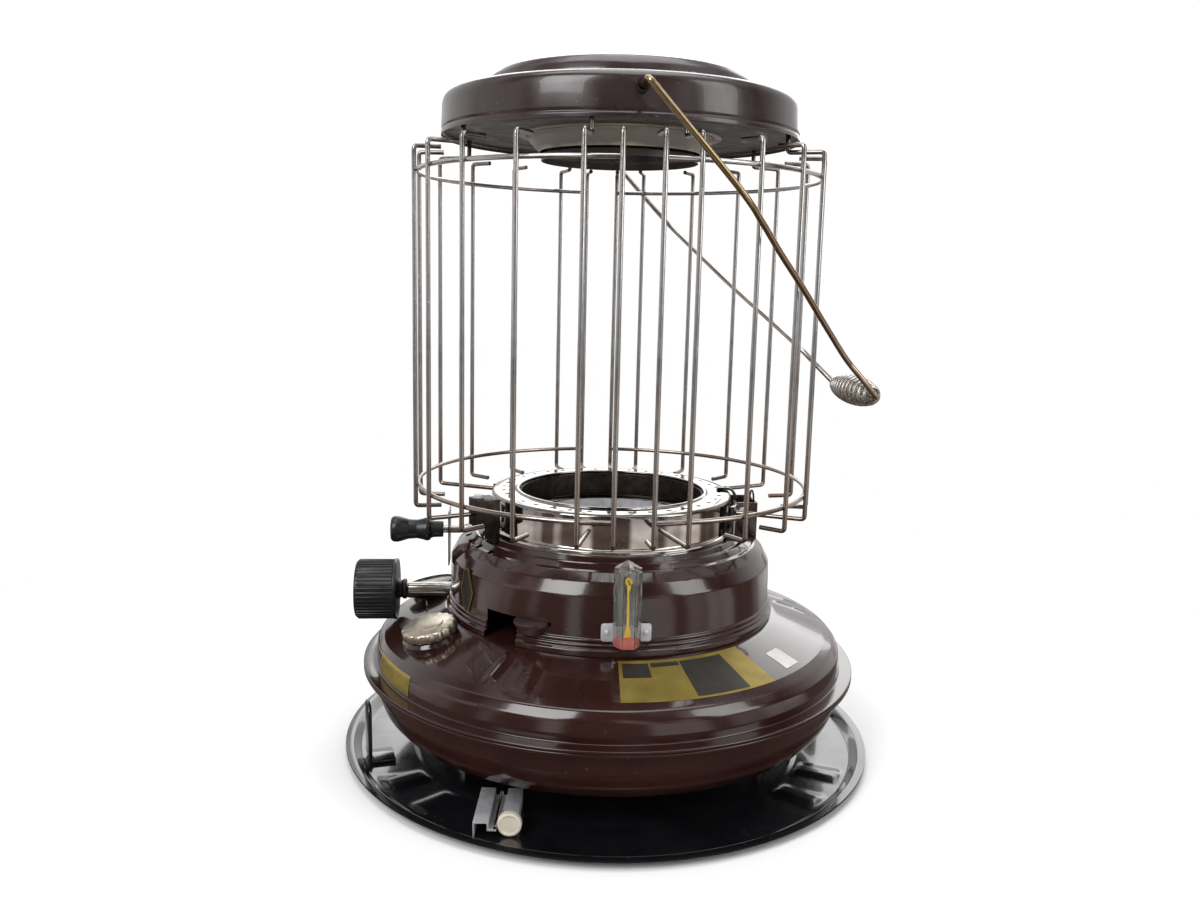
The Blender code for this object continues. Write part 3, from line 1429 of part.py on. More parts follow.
def make_ring():
    """The chrome ring: a bead round its mouth, a flat top, a wall and a flange."""
    flange_top = RING_BOTTOM + RING_FLANGE_THICKNESS
    bead_top = RING_TOP + RING_BEAD_HEIGHT
    bead_end = RING_MOUTH_RADIUS + RING_BEAD_WIDTH
    path = [
        (RING_MOUTH_RADIUS, bead_top - RING_MOUTH_DEPTH),
        (RING_MOUTH_RADIUS, bead_top),
        (bead_end, bead_top),
        (bead_end + RING_BEAD_RUN, RING_TOP),
        (RING_RADIUS - RING_EDGE, RING_TOP),
        (RING_RADIUS, RING_TOP - RING_EDGE),
        (RING_RADIUS, flange_top),
        (RING_FLANGE_RADIUS, flange_top),
        (RING_FLANGE_RADIUS, RING_BOTTOM),
    ]
    return shell("burner_ring", path, RING_SHEET, "chrome")


def make_ring_sleeve():
    """The band inside the ring's mouth."""
    outer = RING_MOUTH_RADIUS - GAP
    inner = outer - SLEEVE_WALL
    return pipe("ring_sleeve", outer, inner, RING_SLEEVE_BOTTOM, RING_SLEEVE_TOP, "dark_steel")


def hinge_frame():
    """Frame on the ring's hinge with its Z axis along the pin, forwards."""
    return at(HINGE_X, 0, HINGE_HEIGHT) @ UPRIGHT


def make_hook():
    """The strap from the ring's top to the hinge pin, with an eye."""
    start = (HOOK_START, RING_TOP + GAP + HOOK_SHEET / 2)
    end = (HINGE_X, HINGE_HEIGHT)
    outline = strip_outline([start, *between(start, end, HOOK_SHARES), end], HOOK_SHEET)
    strap = plate("ring_hook", [outline], HOOK_WIDTH, "black_enamel", polar(90) @ UPRIGHT)
    reach = HOOK_WIDTH / 2
    eye = rod("hook_eye", HOOK_EYE_RADIUS, -reach, reach, "black_enamel", hinge_frame())
    bore = rod(
        "hook_bore", HINGE_PIN_RADIUS + GAP, -reach - OVERRUN, reach + OVERRUN, "black_enamel", hinge_frame()
    )
    return cut(join(strap, eye), bore)


def make_post():
    """The hinge's folded housing, open upwards and towards the ring, on the collar's shoulder."""
    side = POST_WIDTH / 2
    inner_side = side - POST_SHEET
    post = block("hinge_post", (POST_INNER_X, -side, COLLAR_WALL_TOP), (POST_OUTER_X, side, POST_TOP), "brown_enamel")
    inside = block(
        "post_inside",
        (POST_INNER_X - OVERRUN, -inner_side, COLLAR_FOOT_TOP),
        (POST_OUTER_X - POST_SHEET, inner_side, POST_TOP + OVERRUN),
        "brown_enamel",
    )
    reach = side + OVERRUN
    bore = rod("post_bore", HINGE_PIN_RADIUS + GAP, -reach, reach, "brown_enamel", hinge_frame())
    return cut(post, inside, shoulder_gauge("post_gauge"), bore)


def make_pin():
    """The hinge pin with a head outside each ear of the housing."""
    inner = POST_WIDTH / 2 + GAP
    outer = inner + HINGE_PIN_HEAD
    profile = [
        (0, outer),
        (HINGE_PIN_HEAD_RADIUS, outer),
        (HINGE_PIN_HEAD_RADIUS, inner),
        (HINGE_PIN_RADIUS, inner),
        (HINGE_PIN_RADIUS, -inner),
        (HINGE_PIN_HEAD_RADIUS, -inner),
        (HINGE_PIN_HEAD_RADIUS, -outer),
        (0, -outer),
    ]
    return solid_of_turn("hinge_pin", profile, "zinc_plate", hinge_frame(), ROD_SIDES)


# Lifting lever


def make_lever_rod():
    """The rod that lifts the ring at its left side."""
    corners = [
        (-LIFT_ROD_START, LIFT_Y, LIFT_KNEE_HEIGHT),
        (-LIFT_ROD_KNEE, LIFT_Y, LIFT_KNEE_HEIGHT),
        (-LIFT_ROD_SECOND_KNEE, LIFT_Y, LIFT_HEIGHT),
        (-LIFT_ROD_END, LIFT_Y, LIFT_HEIGHT),
    ]
    return wire("lever_rod", [corners], LIFT_ROD_RADIUS, "zinc_plate")


def make_handle():
    """The bobbin handle, with a blind bore for the rod."""
    bore = LIFT_ROD_RADIUS + GAP
    end = LIFT_ROD_END + GAP
    outer = (0, HANDLE_OUTER_END)
    inner = (HANDLE_END_RADIUS, HANDLE_INNER_END)
    side = between(outer, inner, [(radius, length) for length, radius in HANDLE_SHARES])
    profile = [outer, *side, (bore, HANDLE_INNER_END), (bore, end), (0, end)]
    frame = at(y=LIFT_Y, z=LIFT_HEIGHT) @ TO_LEFT
    return solid_of_turn("lever_handle", profile, "black_plastic", frame, DISC_SIDES)


def make_guide():
    """The upright plate outside the collar, with a slot in which the rod rises."""
    play = LIFT_ROD_RADIUS + GUIDE_SLOT_PLAY
    slot = box_outline(LIFT_Y - play, LIFT_Y + play, LIFT_HEIGHT - play, GUIDE_SLOT_TOP)
    outline = box_outline(GUIDE_LEFT_Y, GUIDE_RIGHT_Y, GUIDE_BOTTOM, GUIDE_TOP)
    frame = at(x=-COLLAR_RADIUS - GAP - GUIDE_SHEET / 2) @ ACROSS
    return plate("lever_guide", [outline, slot], GUIDE_SHEET, "black_enamel", frame)


# Guard and its brackets


def in_section(azimuth, section):
    """3-D points at an azimuth for (radius, height) pairs."""
    return [polar(azimuth) @ Vector((radius, 0, height)) for radius, height in section]


def guard_azimuths(sign):
    """The azimuths of one half's inner wires, from the front to the back."""
    return [sign * (GUARD_FIRST_AZIMUTH + GUARD_STEP * i) for i in range(GUARD_INNER_WIRES)]


def bracket_radii():
    """The outer radius of the bracket that each held wire of the guard meets, by azimuth."""
    left = guard_azimuths(-1)
    right = guard_azimuths(1)
    front = GUARD_SUPPORT_STEP
    back = 2 * GUARD_SUPPORT_STEP
    post = POST_LEG_RADII[1]
    return {left[front]: CLAMP_BLOCK_RADII[1], right[front]: post, left[back]: post, right[back]: post}


def make_guard(side, sign):
    """One half of the guard: upright wires turned in at both ends, and two rings."""
    inner_wires = guard_azimuths(sign)
    ends = {azimuth: radius + GAP for azimuth, radius in bracket_radii().items()} | LONG_STUB_RADII
    supports = inner_wires[::GUARD_SUPPORT_STEP]
    paths = []
    for azimuth in [sign * GUARD_END_AZIMUTH, *inner_wires, sign * (180 - GUARD_END_AZIMUTH)]:
        section = [
            (ends.get(azimuth, GUARD_STUB_RADIUS), GUARD_BOTTOM),
            (GUARD_RADIUS, GUARD_BOTTOM),
            (GUARD_RADIUS, GUARD_TOP),
        ]
        if azimuth in supports:
            section += [(GUARD_SUPPORT_RADIUS, GUARD_TOP), (GUARD_SUPPORT_RADIUS, PAN_HEIGHT - SHEET - GAP)]
        else:
            section.append((GUARD_STUB_RADIUS, GUARD_TOP))
        paths.append(rounded(in_section(azimuth, section), GUARD_BEND))
    guard = wire(f"guard_{side}", paths, GUARD_WIRE_RADIUS, "wire_chrome")
    first = sign * GUARD_END_AZIMUTH
    last = sign * (180 - GUARD_END_AZIMUTH)
    rings = []
    for height in GUARD_RING_HEIGHTS:
        stops = [first, *inner_wires, last]
        rings.append([polar(azimuth) @ Vector((GUARD_RING_RADIUS, 0, height)) for azimuth in stops])
    return join(guard, wire(f"guard_rings_{side}", rings, GUARD_WIRE_RADIUS, "wire_chrome"))


def make_clamp_block():
    """The front left bracket: a block on a leg, bored for its bolt."""
    inner, outer = CLAMP_BLOCK_RADII
    bottom, top = CLAMP_BLOCK_HEIGHTS
    leg = inner + CLAMP_LEG_THICKNESS
    outline = [
        (inner, COLLAR_WALL_TOP),
        (leg, COLLAR_WALL_TOP),
        (leg, bottom),
        (outer, bottom),
        (outer, top),
        (inner, top),
    ]
    azimuth = guard_azimuths(-1)[GUARD_SUPPORT_STEP]
    frame = polar(azimuth) @ UPRIGHT
    bracket = plate("guard_bracket_front_left", [outline], CLAMP_BLOCK_WIDTH, "zinc_plate", frame)
    bore = rod(
        "bolt_bore",
        BOLT_RADIUS + GAP,
        top - BOLT_LENGTH,
        top + OVERRUN,
        "zinc_plate",
        polar(azimuth, BOLT_PLACE_RADIUS),
    )
    return cut(bracket, shoulder_gauge("clamp_gauge"), bore)


def make_bolt():
    """The hexagon bolt in the front left bracket."""
    frame = polar(guard_azimuths(-1)[GUARD_SUPPORT_STEP], BOLT_PLACE_RADIUS, CLAMP_BLOCK_HEIGHTS[1] + GAP)
    head = rod("guard_bolt", BOLT_HEAD_RADIUS, 0, BOLT_HEAD_HEIGHT, "zinc_plate", frame, BOLT_SIDES)
    shank = rod("bolt_shank", BOLT_RADIUS, -BOLT_LENGTH + GAP, BOLT_HEAD_HEIGHT / 2, "zinc_plate", frame)
    return join(head, shank)


def make_bracket_post(name, azimuth):
    """A plain bracket on the collar's shoulder that a wire of the guard meets."""
    inner, outer = POST_LEG_RADII
    side = POST_LEG_WIDTH / 2
    post = block(
        f"guard_bracket_{name}",
        (inner, -side, COLLAR_WALL_TOP),
        (outer, side, POST_LEG_TOP),
        "dark_steel",
        polar(azimuth),
    )
    return cut(post, shoulder_gauge(f"{name}_gauge"))


# Top plate and what hangs in it


def make_top():
    """The top plate: a flat dome, a shelf, a rolled edge and a rim with two holes for the bail."""
    crown = (0, TOP_HEIGHT)
    shelf = (TOP_SHELF_RADIUS, TOP_SHELF_HEIGHT)
    centre = (TOP_RADIUS - TOP_ROUND, TOP_SHELF_HEIGHT - TOP_ROUND)
    turns = [pi / 2 * (1 - i / TOP_ROUND_STEPS) for i in range(TOP_ROUND_STEPS + 1)]
    edge = [(centre[0] + TOP_ROUND * cos(t), centre[1] + TOP_ROUND * sin(t)) for t in turns]
    path = [crown, *between(crown, shelf, TOP_DOME_SHARES), shelf, *edge, (TOP_RADIUS, TOP_RIM_BOTTOM)]
    top = shell("top_plate", path, SHEET, "brown_enamel")
    reach = TOP_RADIUS + OVERRUN
    frame = at(z=BAIL_PIVOT_HEIGHT) @ UPRIGHT
    return cut(top, rod("bail_holes", BAIL_RADIUS + GAP, -reach, reach, "brown_enamel", frame))


def make_pan():
    """The flat ring that closes the top plate from below."""
    outer = TOP_RADIUS - SHEET - GAP
    return pipe(
        "underside_pan", outer, CHIMNEY_RADIUS + PAN_BORE_PLAY, PAN_HEIGHT - SHEET, PAN_HEIGHT, "grey_enamel"
    )


def make_chimney_collar():
    """The flared collar that hangs in the pan by its flange."""
    rim = (CHIMNEY_RADIUS, PAN_HEIGHT + GAP)
    mouth = (CHIMNEY_MOUTH_RADIUS, CHIMNEY_MOUTH_HEIGHT)
    path = [(CHIMNEY_FLANGE_RADIUS, PAN_HEIGHT + GAP), rim, *between(rim, mouth, CHIMNEY_SHARES), mouth]
    return shell("chimney_collar", path, SHEET, "cream_enamel")


def make_drum():
    """The baffle drum in the chimney collar's mouth."""
    path = [
        (DRUM_NECK_RADIUS, DRUM_TOP),
        (DRUM_NECK_RADIUS, DRUM_SHOULDER),
        (DRUM_RADIUS, DRUM_SHOULDER),
        (DRUM_RADIUS, DRUM_BOTTOM),
        (0, DRUM_BOTTOM),
    ]
    return shell("baffle_drum", path, DRUM_SHEET, "grey_enamel")


def make_drum_bolt():
    """The bolt on which the baffle drum hangs from the top plate."""
    bottom = DRUM_BOTTOM + DRUM_SHEET + GAP
    return rod("baffle_bolt", DRUM_BOLT_RADIUS, bottom, TOP_HEIGHT - SHEET - GAP, "dark_steel")


# Carrying bail


def bail_place(y, distance):
    """A point of the hanging bail: its place along the pivot, and its distance from it."""
    angle = radians(BAIL_ANGLE)
    return Vector((distance * sin(angle), y, BAIL_PIVOT_HEIGHT - distance * cos(angle)))


def bail_middle(share):
    """Where the bail's middle line runs along Y, at a share of its length: it hangs a little racked."""
    run = max(0, (share - BAIL_RACK_START_SHARE) / (1 - BAIL_RACK_START_SHARE))
    return BAIL_RACK_TOP + run * (BAIL_RACK_GRIP - BAIL_RACK_TOP)


def make_bail():
    """The wire bail, from one hole of the top plate to the other by way of the grip."""
    arms = []
    for sign in (-1, 1):
        arm = [bail_place(sign * BAIL_INNER_END, 0)]
        for share, width in BAIL_SHARES:
            arm.append(bail_place(bail_middle(share) + sign * BAIL_HALF_WIDTH * width, BAIL_LENGTH * share))
        arm.append(bail_place(BAIL_RACK_GRIP + sign * BAIL_GRIP_HALF_WIDTH, BAIL_LENGTH))
        arms.append(arm)
    front, back = arms
    path = rounded([tuple(point) for point in front + back[::-1]], BAIL_BEND)
    return wire("bail_wire", [path], BAIL_RADIUS, "wire_chrome")


def least_gap(path):
    """The coil's least gap to itself, on points at least half a turn apart."""
    apart = COIL_POINTS_PER_TURN // 2
    spans = [(Vector(a) - Vector(b)).length for i, a in enumerate(path) for b in path[i + apart :]]
    return min(spans) - 2 * COIL_WIRE_RADIUS


def make_coil():
    """The wound wire grip round the bail, wider in its middle."""
    least = BAIL_RADIUS + COIL_WIRE_RADIUS + GAP
    count = COIL_TURNS * COIL_POINTS_PER_TURN
    path = []
    for i in range(count + 1):
        share = i / count
        swell = sin(pi * share) ** COIL_SWELL_POWER if 0 < i < count else 0
        radius = least + swell * (COIL_MIDDLE_RADIUS - least)
        angle = 2 * pi * i / COIL_POINTS_PER_TURN
        path.append((radius * cos(angle), radius * sin(angle), (share - 1 / 2) * COIL_LENGTH))
    print(f"grip_coil: least gap to itself {least_gap(path):.5f} m")
    grip = bail_place(BAIL_RACK_GRIP, BAIL_LENGTH)
    return wire("grip_coil", [path], COIL_WIRE_RADIUS, "wire_chrome", Matrix.Translation(grip) @ UPRIGHT)


def make_washer(side, sign):
    """A washer on the bail, outside the top plate's rim."""
    frame = at(z=BAIL_PIVOT_HEIGHT) @ UPRIGHT
    inner = TOP_RADIUS + GAP
    ends = sorted((-sign * inner, -sign * (inner + WASHER_THICKNESS)))
    bore = BAIL_RADIUS + GAP
    return pipe(f"bail_washer_{side}", WASHER_RADIUS, bore, *ends, "zinc_plate", frame, ROD_SIDES)


def build_base():
    """The tray, the tank and their fittings."""
    make_tray()
    for side, azimuth in RETAINER_AZIMUTHS.items():
        make_retainer(side, azimuth)
    for number, azimuth in enumerate(LEG_AZIMUTHS, 1):
        make_leg(number, azimuth)
    make_clamp_channel()
    make_clamp_rod()
    carry("clamp_knob_turn", clamp_knob_frame().translation, [make_clamp_knob()])
    make_lower_tank()
    make_upper_tank()
    make_filler_neck()
    make_strainer()
    carry("cap_lift", filler_frame().translation, [make_gasket(), make_fuel_cap()])
    make_dial_case()
    make_dial_lens()
    carry("dial_needle_turn", gauge_frame().translation, [make_needle()])
    carry("float_swing", float_frame().translation, [make_float()])


def build_body():
    """The collar, the tilt indicator, the shut-off and the wick's drive."""
    make_collar()
    make_badge()
    carry("shutoff_turn", (0, 0, LEVER_RING_BOTTOM), [make_shutoff()])
    make_bracket()
    make_rivet("left", -RIVET_PLACE)
    make_rivet("right", RIVET_PLACE)
    make_window()
    make_window_base()
    pivot = (0, -window_back() - POINTER_DEPTH, POINTER_PIVOT_HEIGHT)
    carry("pointer_swing", pivot, [make_pointer()])
    make_draft_tube()
    make_wick_tube()
    carry("wick_rise", (0, 0, CARRIER_BOTTOM), [make_wick(), make_carrier()])
    carry("knob_turn", (-COLLAR_RADIUS, 0, SHAFT_HEIGHT), [make_shaft(), make_knob()])
    make_sleeve()
    make_seat()


def build_upper_part():
    """The burner ring, the guard, the top plate and the bail."""
    lifted = [make_ring(), make_ring_sleeve(), make_hook(), make_lever_rod(), make_handle()]
    carry("ring_lift", (HINGE_X, 0, HINGE_HEIGHT), lifted)
    make_post()
    make_pin()
    make_guide()
    make_guard("left", -1)
    make_guard("right", 1)
    make_clamp_block()
    make_bolt()
    left = guard_azimuths(-1)
    right = guard_azimuths(1)
    make_bracket_post("front_right", right[GUARD_SUPPORT_STEP])
    make_bracket_post("back_left", left[2 * GUARD_SUPPORT_STEP])
    make_bracket_post("back_right", right[2 * GUARD_SUPPORT_STEP])
    make_top()
    make_pan()
    make_chimney_collar()
    make_drum()
    make_drum_bolt()
    washers = [make_washer("front", -1), make_washer("back", 1)]
    carry("bail_swing", (0, 0, BAIL_PIVOT_HEIGHT), [make_bail(), make_coil(), *washers])


def main():
    """Clears the scene and builds the heater."""
    for obj in list(bpy.data.objects):
        bpy.data.objects.remove(obj)
    make_collection("kerosene_heater")
    make_collection("helpers", helpers=True)
    make_finishes()
    build_base()
    build_body()
    build_upper_part()
    smooth_round_pieces()


main()
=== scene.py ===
"""Looks of a portable kerosene heater, dressed over its packed construction model.

Lengths are metres and +Z is up. The floor is at z = 0, the heater's axis is the Z axis and its front
faces -Y. Azimuths are degrees from -Y towards +X. A section's points are (distance from the axis, height).
"""

import logging
from collections.abc import Callable, Iterable, Sequence
from dataclasses import dataclass, field
from enum import Enum
from math import atan2, ceil, cos, degrees, hypot, pi, radians, sin

import bmesh
import bpy
from mathutils import Matrix, Vector


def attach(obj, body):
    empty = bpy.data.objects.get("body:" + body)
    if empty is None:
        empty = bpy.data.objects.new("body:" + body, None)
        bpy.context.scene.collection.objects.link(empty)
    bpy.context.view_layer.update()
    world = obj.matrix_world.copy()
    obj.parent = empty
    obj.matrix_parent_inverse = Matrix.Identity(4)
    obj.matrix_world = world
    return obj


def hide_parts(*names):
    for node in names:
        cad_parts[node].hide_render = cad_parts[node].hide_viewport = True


LOG = logging.getLogger("kerosene_heater")

Pair = tuple[float, float]
Triple = tuple[float, float, float]
Corner = Triple
Profile = Sequence[Pair]
Ring = Sequence[Vector]
Node = bpy.types.Node
Socket = bpy.types.NodeSocket
Tree = bpy.types.NodeTree
Colour = tuple[float, float, float, float]

LARGE_TURN = 240
FINE_TURN = 144
MIDDLE_TURN = 72
SMALL_TURN = 48
CORNER_STEPS = 4
LEG_SHARE = 0.49
WELD = 0.000002
CREASE = radians(35)
FLAT_ANGLE = radians(0.5)
MIX_FIRST = 6
MIX_SECOND = 7
WHITE = (1, 1, 1, 1)


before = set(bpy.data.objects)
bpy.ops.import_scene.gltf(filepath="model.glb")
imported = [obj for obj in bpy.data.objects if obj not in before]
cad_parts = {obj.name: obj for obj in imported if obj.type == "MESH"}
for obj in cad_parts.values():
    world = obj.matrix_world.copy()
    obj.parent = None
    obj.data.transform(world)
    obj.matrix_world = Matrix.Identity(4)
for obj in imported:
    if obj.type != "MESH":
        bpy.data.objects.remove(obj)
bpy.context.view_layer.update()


class Body(Enum):
    """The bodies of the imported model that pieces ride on."""

    BASE = "base"
    BAIL = "bail"
    KNOB = "knob"
    WICK = "wick"
    LIFT = "lift"
    CAP = "cap"
    POINTER = "pointer"
    SHUTOFF = "shutoff"
    CLAMP_KNOB = "clamp_knob"


class Slot(Enum):
    """The record's material slots."""

    BROWN_ENAMEL = "brown_enamel"
    BLACK_ENAMEL = "black_enamel"
    CHROME = "chrome"
    WIRE_CHROME = "wire_chrome"
    ZINC_PLATE = "zinc_plate"
    DARK_STEEL = "dark_steel"
    GREY_ENAMEL = "grey_enamel"
    CREAM_ENAMEL = "cream_enamel"
    BLACK_PLASTIC = "black_plastic"
    WHITE_PLASTIC = "white_plastic"
    CLEAR_PLASTIC = "clear_plastic"
    RED_PLASTIC = "red_plastic"
    YELLOW_PLASTIC = "yellow_plastic"
    BLACK_RUBBER = "black_rubber"
    BRASS = "brass"
    WICK_COTTON = "wick_cotton"


# Colours and nodes


def linear_colour(colour: str) -> Colour:
    """Turns an sRGB hex colour to linear values.

    Args:
        colour: Six hex digits.

    Returns:
        Linear red, green, blue and an alpha of 1.
    """
    channels = [int(colour[i : i + 2], 16) / 255 for i in (0, 2, 4)]
    # The dark and the bright branch of the sRGB curve
    red, green, blue = (c / 12.92 if c <= 0.04045 else ((c + 0.055) / 1.055) ** 2.4 for c in channels)
    return red, green, blue, 1.0


def add_node(
    tree: Tree,
    kind: str,
    values: dict[str | int, object] | None = None,
    links: dict[str | int, Socket] | None = None,
    **settings: object,
) -> Node:
    """Adds a node with its settings, input values and links.

    Args:
        tree: The node tree.
        kind: The node's type name.
        values: Input values by socket name or number.
        links: Output sockets to link, by input name or number.
        settings: Attributes of the node.

    Returns:
        The new node.
    """
    node = tree.nodes.new(kind)
    for name, value in settings.items():
        setattr(node, name, value)
    for key, value in (values or {}).items():
        node.inputs[key].default_value = value
    for key, socket in (links or {}).items():
        tree.links.new(socket, node.inputs[key])
    return node


def calculation(tree: Tree, operation: str, *terms: Socket | float) -> Socket:
    """Adds one Math node.

    Args:
        tree: The tree.
        operation: The node's operation.
        terms: Sockets or numbers, in order.

    Returns:
        The result's socket.
    """
    values = {i: term for i, term in enumerate(terms) if isinstance(term, (int, float))}
    links = {i: term for i, term in enumerate(terms) if not isinstance(term, (int, float))}
    return add_node(tree, "ShaderNodeMath", values, links, operation=operation).outputs[0]


def product(tree: Tree, *terms: Socket | float) -> Socket:
    """Adds a Math node that multiplies."""
    return calculation(tree, "MULTIPLY", *terms)


def stretched(
    tree: Tree, value: Socket, span: Pair, result: Pair = (0.0, 1.0), kind: str = "LINEAR"
) -> Socket:
    """Stretches a value's span to another one, and holds it there.

    Args:
        tree: The tree.
        value: The value.
        span: Where it starts and ends.
        result: What it is at the two ends.
        kind: How it runs between them.

    Returns:
        The stretched value.
    """
    values = {"From Min": span[0], "From Max": span[1], "To Min": result[0], "To Max": result[1]}
    node = add_node(tree, "ShaderNodeMapRange", values, {"Value": value}, interpolation_type=kind)
    return node.outputs["Result"]


def mixed(tree: Tree, share: Socket, first: Colour | Socket, second: Colour | Socket) -> Socket:
    """Mixes two colours.

    Args:
        tree: The tree.
        share: The second colour's share.
        first: A plain colour or a socket.
        second: A plain colour or a socket.

    Returns:
        The mixed colour.
    """
    terms = {MIX_FIRST: first, MIX_SECOND: second}
    values = {i: term for i, term in terms.items() if isinstance(term, tuple)}
    links = {i: term for i, term in terms.items() if not isinstance(term, tuple)}
    return add_node(tree, "ShaderNodeMix", values, {0: share, **links}, data_type="RGBA").outputs[2]


def object_place(tree: Tree) -> Socket:
    """The point on the object."""
    return add_node(tree, "ShaderNodeTexCoord").outputs["Object"]


def length_of(tree: Tree, vector: Socket) -> Socket:
    """A vector's length."""
    return add_node(tree, "ShaderNodeVectorMath", links={0: vector}, operation="LENGTH").outputs["Value"]


# Sections and outlines


def bend_points(start: Vector, corner: Vector, end: Vector, steps: int) -> list[Vector]:
    """The points of a bend between two places, drawn towards a corner."""
    shares = [i / steps for i in range(steps + 1)]
    return [start * (1 - t) ** 2 + corner * (2 * t * (1 - t)) + end * t**2 for t in shares]


def rounded(corners: Sequence[Corner], closed: bool = False, steps: int = CORNER_STEPS) -> list[Pair]:
    """Rounds the corners of a path.

    Args:
        corners: Each corner's two coordinates and the radius of its rounding.
        closed: Whether the last corner joins the first one.
        steps: Steps in one rounding.

    Returns:
        The path's points.
    """
    points: list[Pair] = []
    count = len(corners)
    for i, (x, y, radius) in enumerate(corners):
        if radius <= 0 or (not closed and i in (0, count - 1)):
            points.append((x, y))
            continue
        here = Vector((x, y))
        before = Vector(corners[i - 1][:2]) - here
        after = Vector(corners[(i + 1) % count][:2]) - here
        half_turn = (pi - before.angle(after)) / 2
        reach = radius * sin(half_turn) / cos(half_turn)
        start = here + before.normalized() * min(reach, before.length * LEG_SHARE)
        end = here + after.normalized() * min(reach, after.length * LEG_SHARE)
        points += [tuple(point) for point in bend_points(start, here, end, steps)]
    return points


def offset_path(path: Profile, distance: float) -> list[Pair]:
    """Moves a path sideways, to the left of its direction, with mitred corners.

    Args:
        path: The path's points.
        distance: How far it moves.

    Returns:
        The moved points.
    """
    moved = []
    for i, point in enumerate(path):
        legs = [(path[j], path[j + 1]) for j in (i - 1, i) if 0 <= j < len(path) - 1]
        normals = []
        for (x0, y0), (x1, y1) in legs:
            length = hypot(x1 - x0, y1 - y0)
            normals.append(((y0 - y1) / length, (x1 - x0) / length))
        sum_x = sum(n[0] for n in normals)
        sum_y = sum(n[1] for n in normals)
        scale = len(normals) * distance / (sum_x**2 + sum_y**2)
        moved.append((point[0] + sum_x * scale, point[1] + sum_y * scale))
    return moved


def sheet_section(path: Profile, thickness: float) -> list[Pair]:
    """Closes a path into the section of a sheet.

    Args:
        path: The sheet's outer face, running down its outer side.
        thickness: The sheet's thickness, which lies behind the path.

    Returns:
        The closed section.
    """
    return [*path, *offset_path(path, -thickness)[::-1]]


def dish_section(path: Profile, thickness: float) -> list[Pair]:
    """Closes a path that starts on the axis into the open section of a sheet, which also ends on the axis.

    Args:
        path: The sheet's outer face, from the axis outwards and down.
        thickness: The sheet's thickness, which lies behind the path.

    Returns:
        The section, for turning with closed=False.
    """
    inner = offset_path(path, -thickness)
    inner[0] = (0, inner[0][1])
    return [*path, *inner[::-1]]


def divided(path: Profile, length: float) -> list[Pair]:
    """Divides the long legs of a path, so that ribs can be pressed into it."""
    points = [path[0]]
    for start, end in zip(path, path[1:]):
        steps = max(1, ceil(hypot(end[0] - start[0], end[1] - start[1]) / length))
        for i in range(1, steps + 1):
            share = i / steps
            points.append((start[0] + share * (end[0] - start[0]), start[1] + share * (end[1] - start[1])))
    return points


def rectangle(width: float, height: float, radius: float = 0, bottom: float | None = None) -> list[Pair]:
    """A rectangle with rounded corners, anticlockwise.

    Args:
        width: Its width, halved by the Y axis.
        height: Its height.
        radius: The corners' radius.
        bottom: Its lower edge, or nothing where the X axis halves it.

    Returns:
        The outline's points.
    """
    side = width / 2
    low = -height / 2 if bottom is None else bottom
    high = low + height
    corners = [(-side, low, radius), (side, low, radius), (side, high, radius), (-side, high, radius)]
    return rounded(corners, closed=True)


def circle_section(distance: float, height: float, radius: float, steps: int = 16) -> list[Pair]:
    """A round section at a distance from the axis."""
    angles = [2 * pi * i / steps for i in range(steps)]
    return [(distance + radius * cos(a), height + radius * sin(a)) for a in angles]


def smooth_step(low: float, high: float, value: float) -> float:
    """Rises smoothly from 0 at a low value to 1 at a high one."""
    share = min(1.0, max(0.0, (value - low) / (high - low)))
    return share * share * (3 - 2 * share)


def within(span: Pair, value: float, outside: float, inside: float) -> float:
    """1 inside a span, with smooth falls to 0 at its ends.

    Args:
        span: The span.
        value: The place.
        outside: How far a fall reaches past the span.
        inside: How far it reaches into the span.

    Returns:
        The share from 0 to 1.
    """
    low, high = span
    rise = smooth_step(low - outside, low + inside, value)
    return rise * (1 - smooth_step(high - inside, high + outside, value))


# Frames


def polar(azimuth: float, radius: float = 0, height: float = 0, tilt: float = 0) -> Matrix:
    """A frame at an azimuth and radius whose X axis points outwards and whose Z axis tilts outwards."""
    turn = radians(azimuth) - pi / 2
    place = Vector((radius * cos(turn), radius * sin(turn), height))
    return Matrix.Translation(place) @ Matrix.Rotation(turn, 4, "Z") @ Matrix.Rotation(radians(tilt), 4, "Y")


def at(x: float = 0, y: float = 0, z: float = 0) -> Matrix:
    """A frame moved to a point."""
    return Matrix.Translation(Vector((x, y, z)))


UPRIGHT = Matrix.Rotation(pi / 2, 4, "X")
ACROSS = Matrix(((0, 0, 1, 0), (1, 0, 0, 0), (0, 1, 0, 0), (0, 0, 0, 1)))
TO_LEFT = Matrix.Rotation(-pi / 2, 4, "Y")
TO_RIGHT = Matrix.Rotation(pi / 2, 4, "Y")


# Shapes


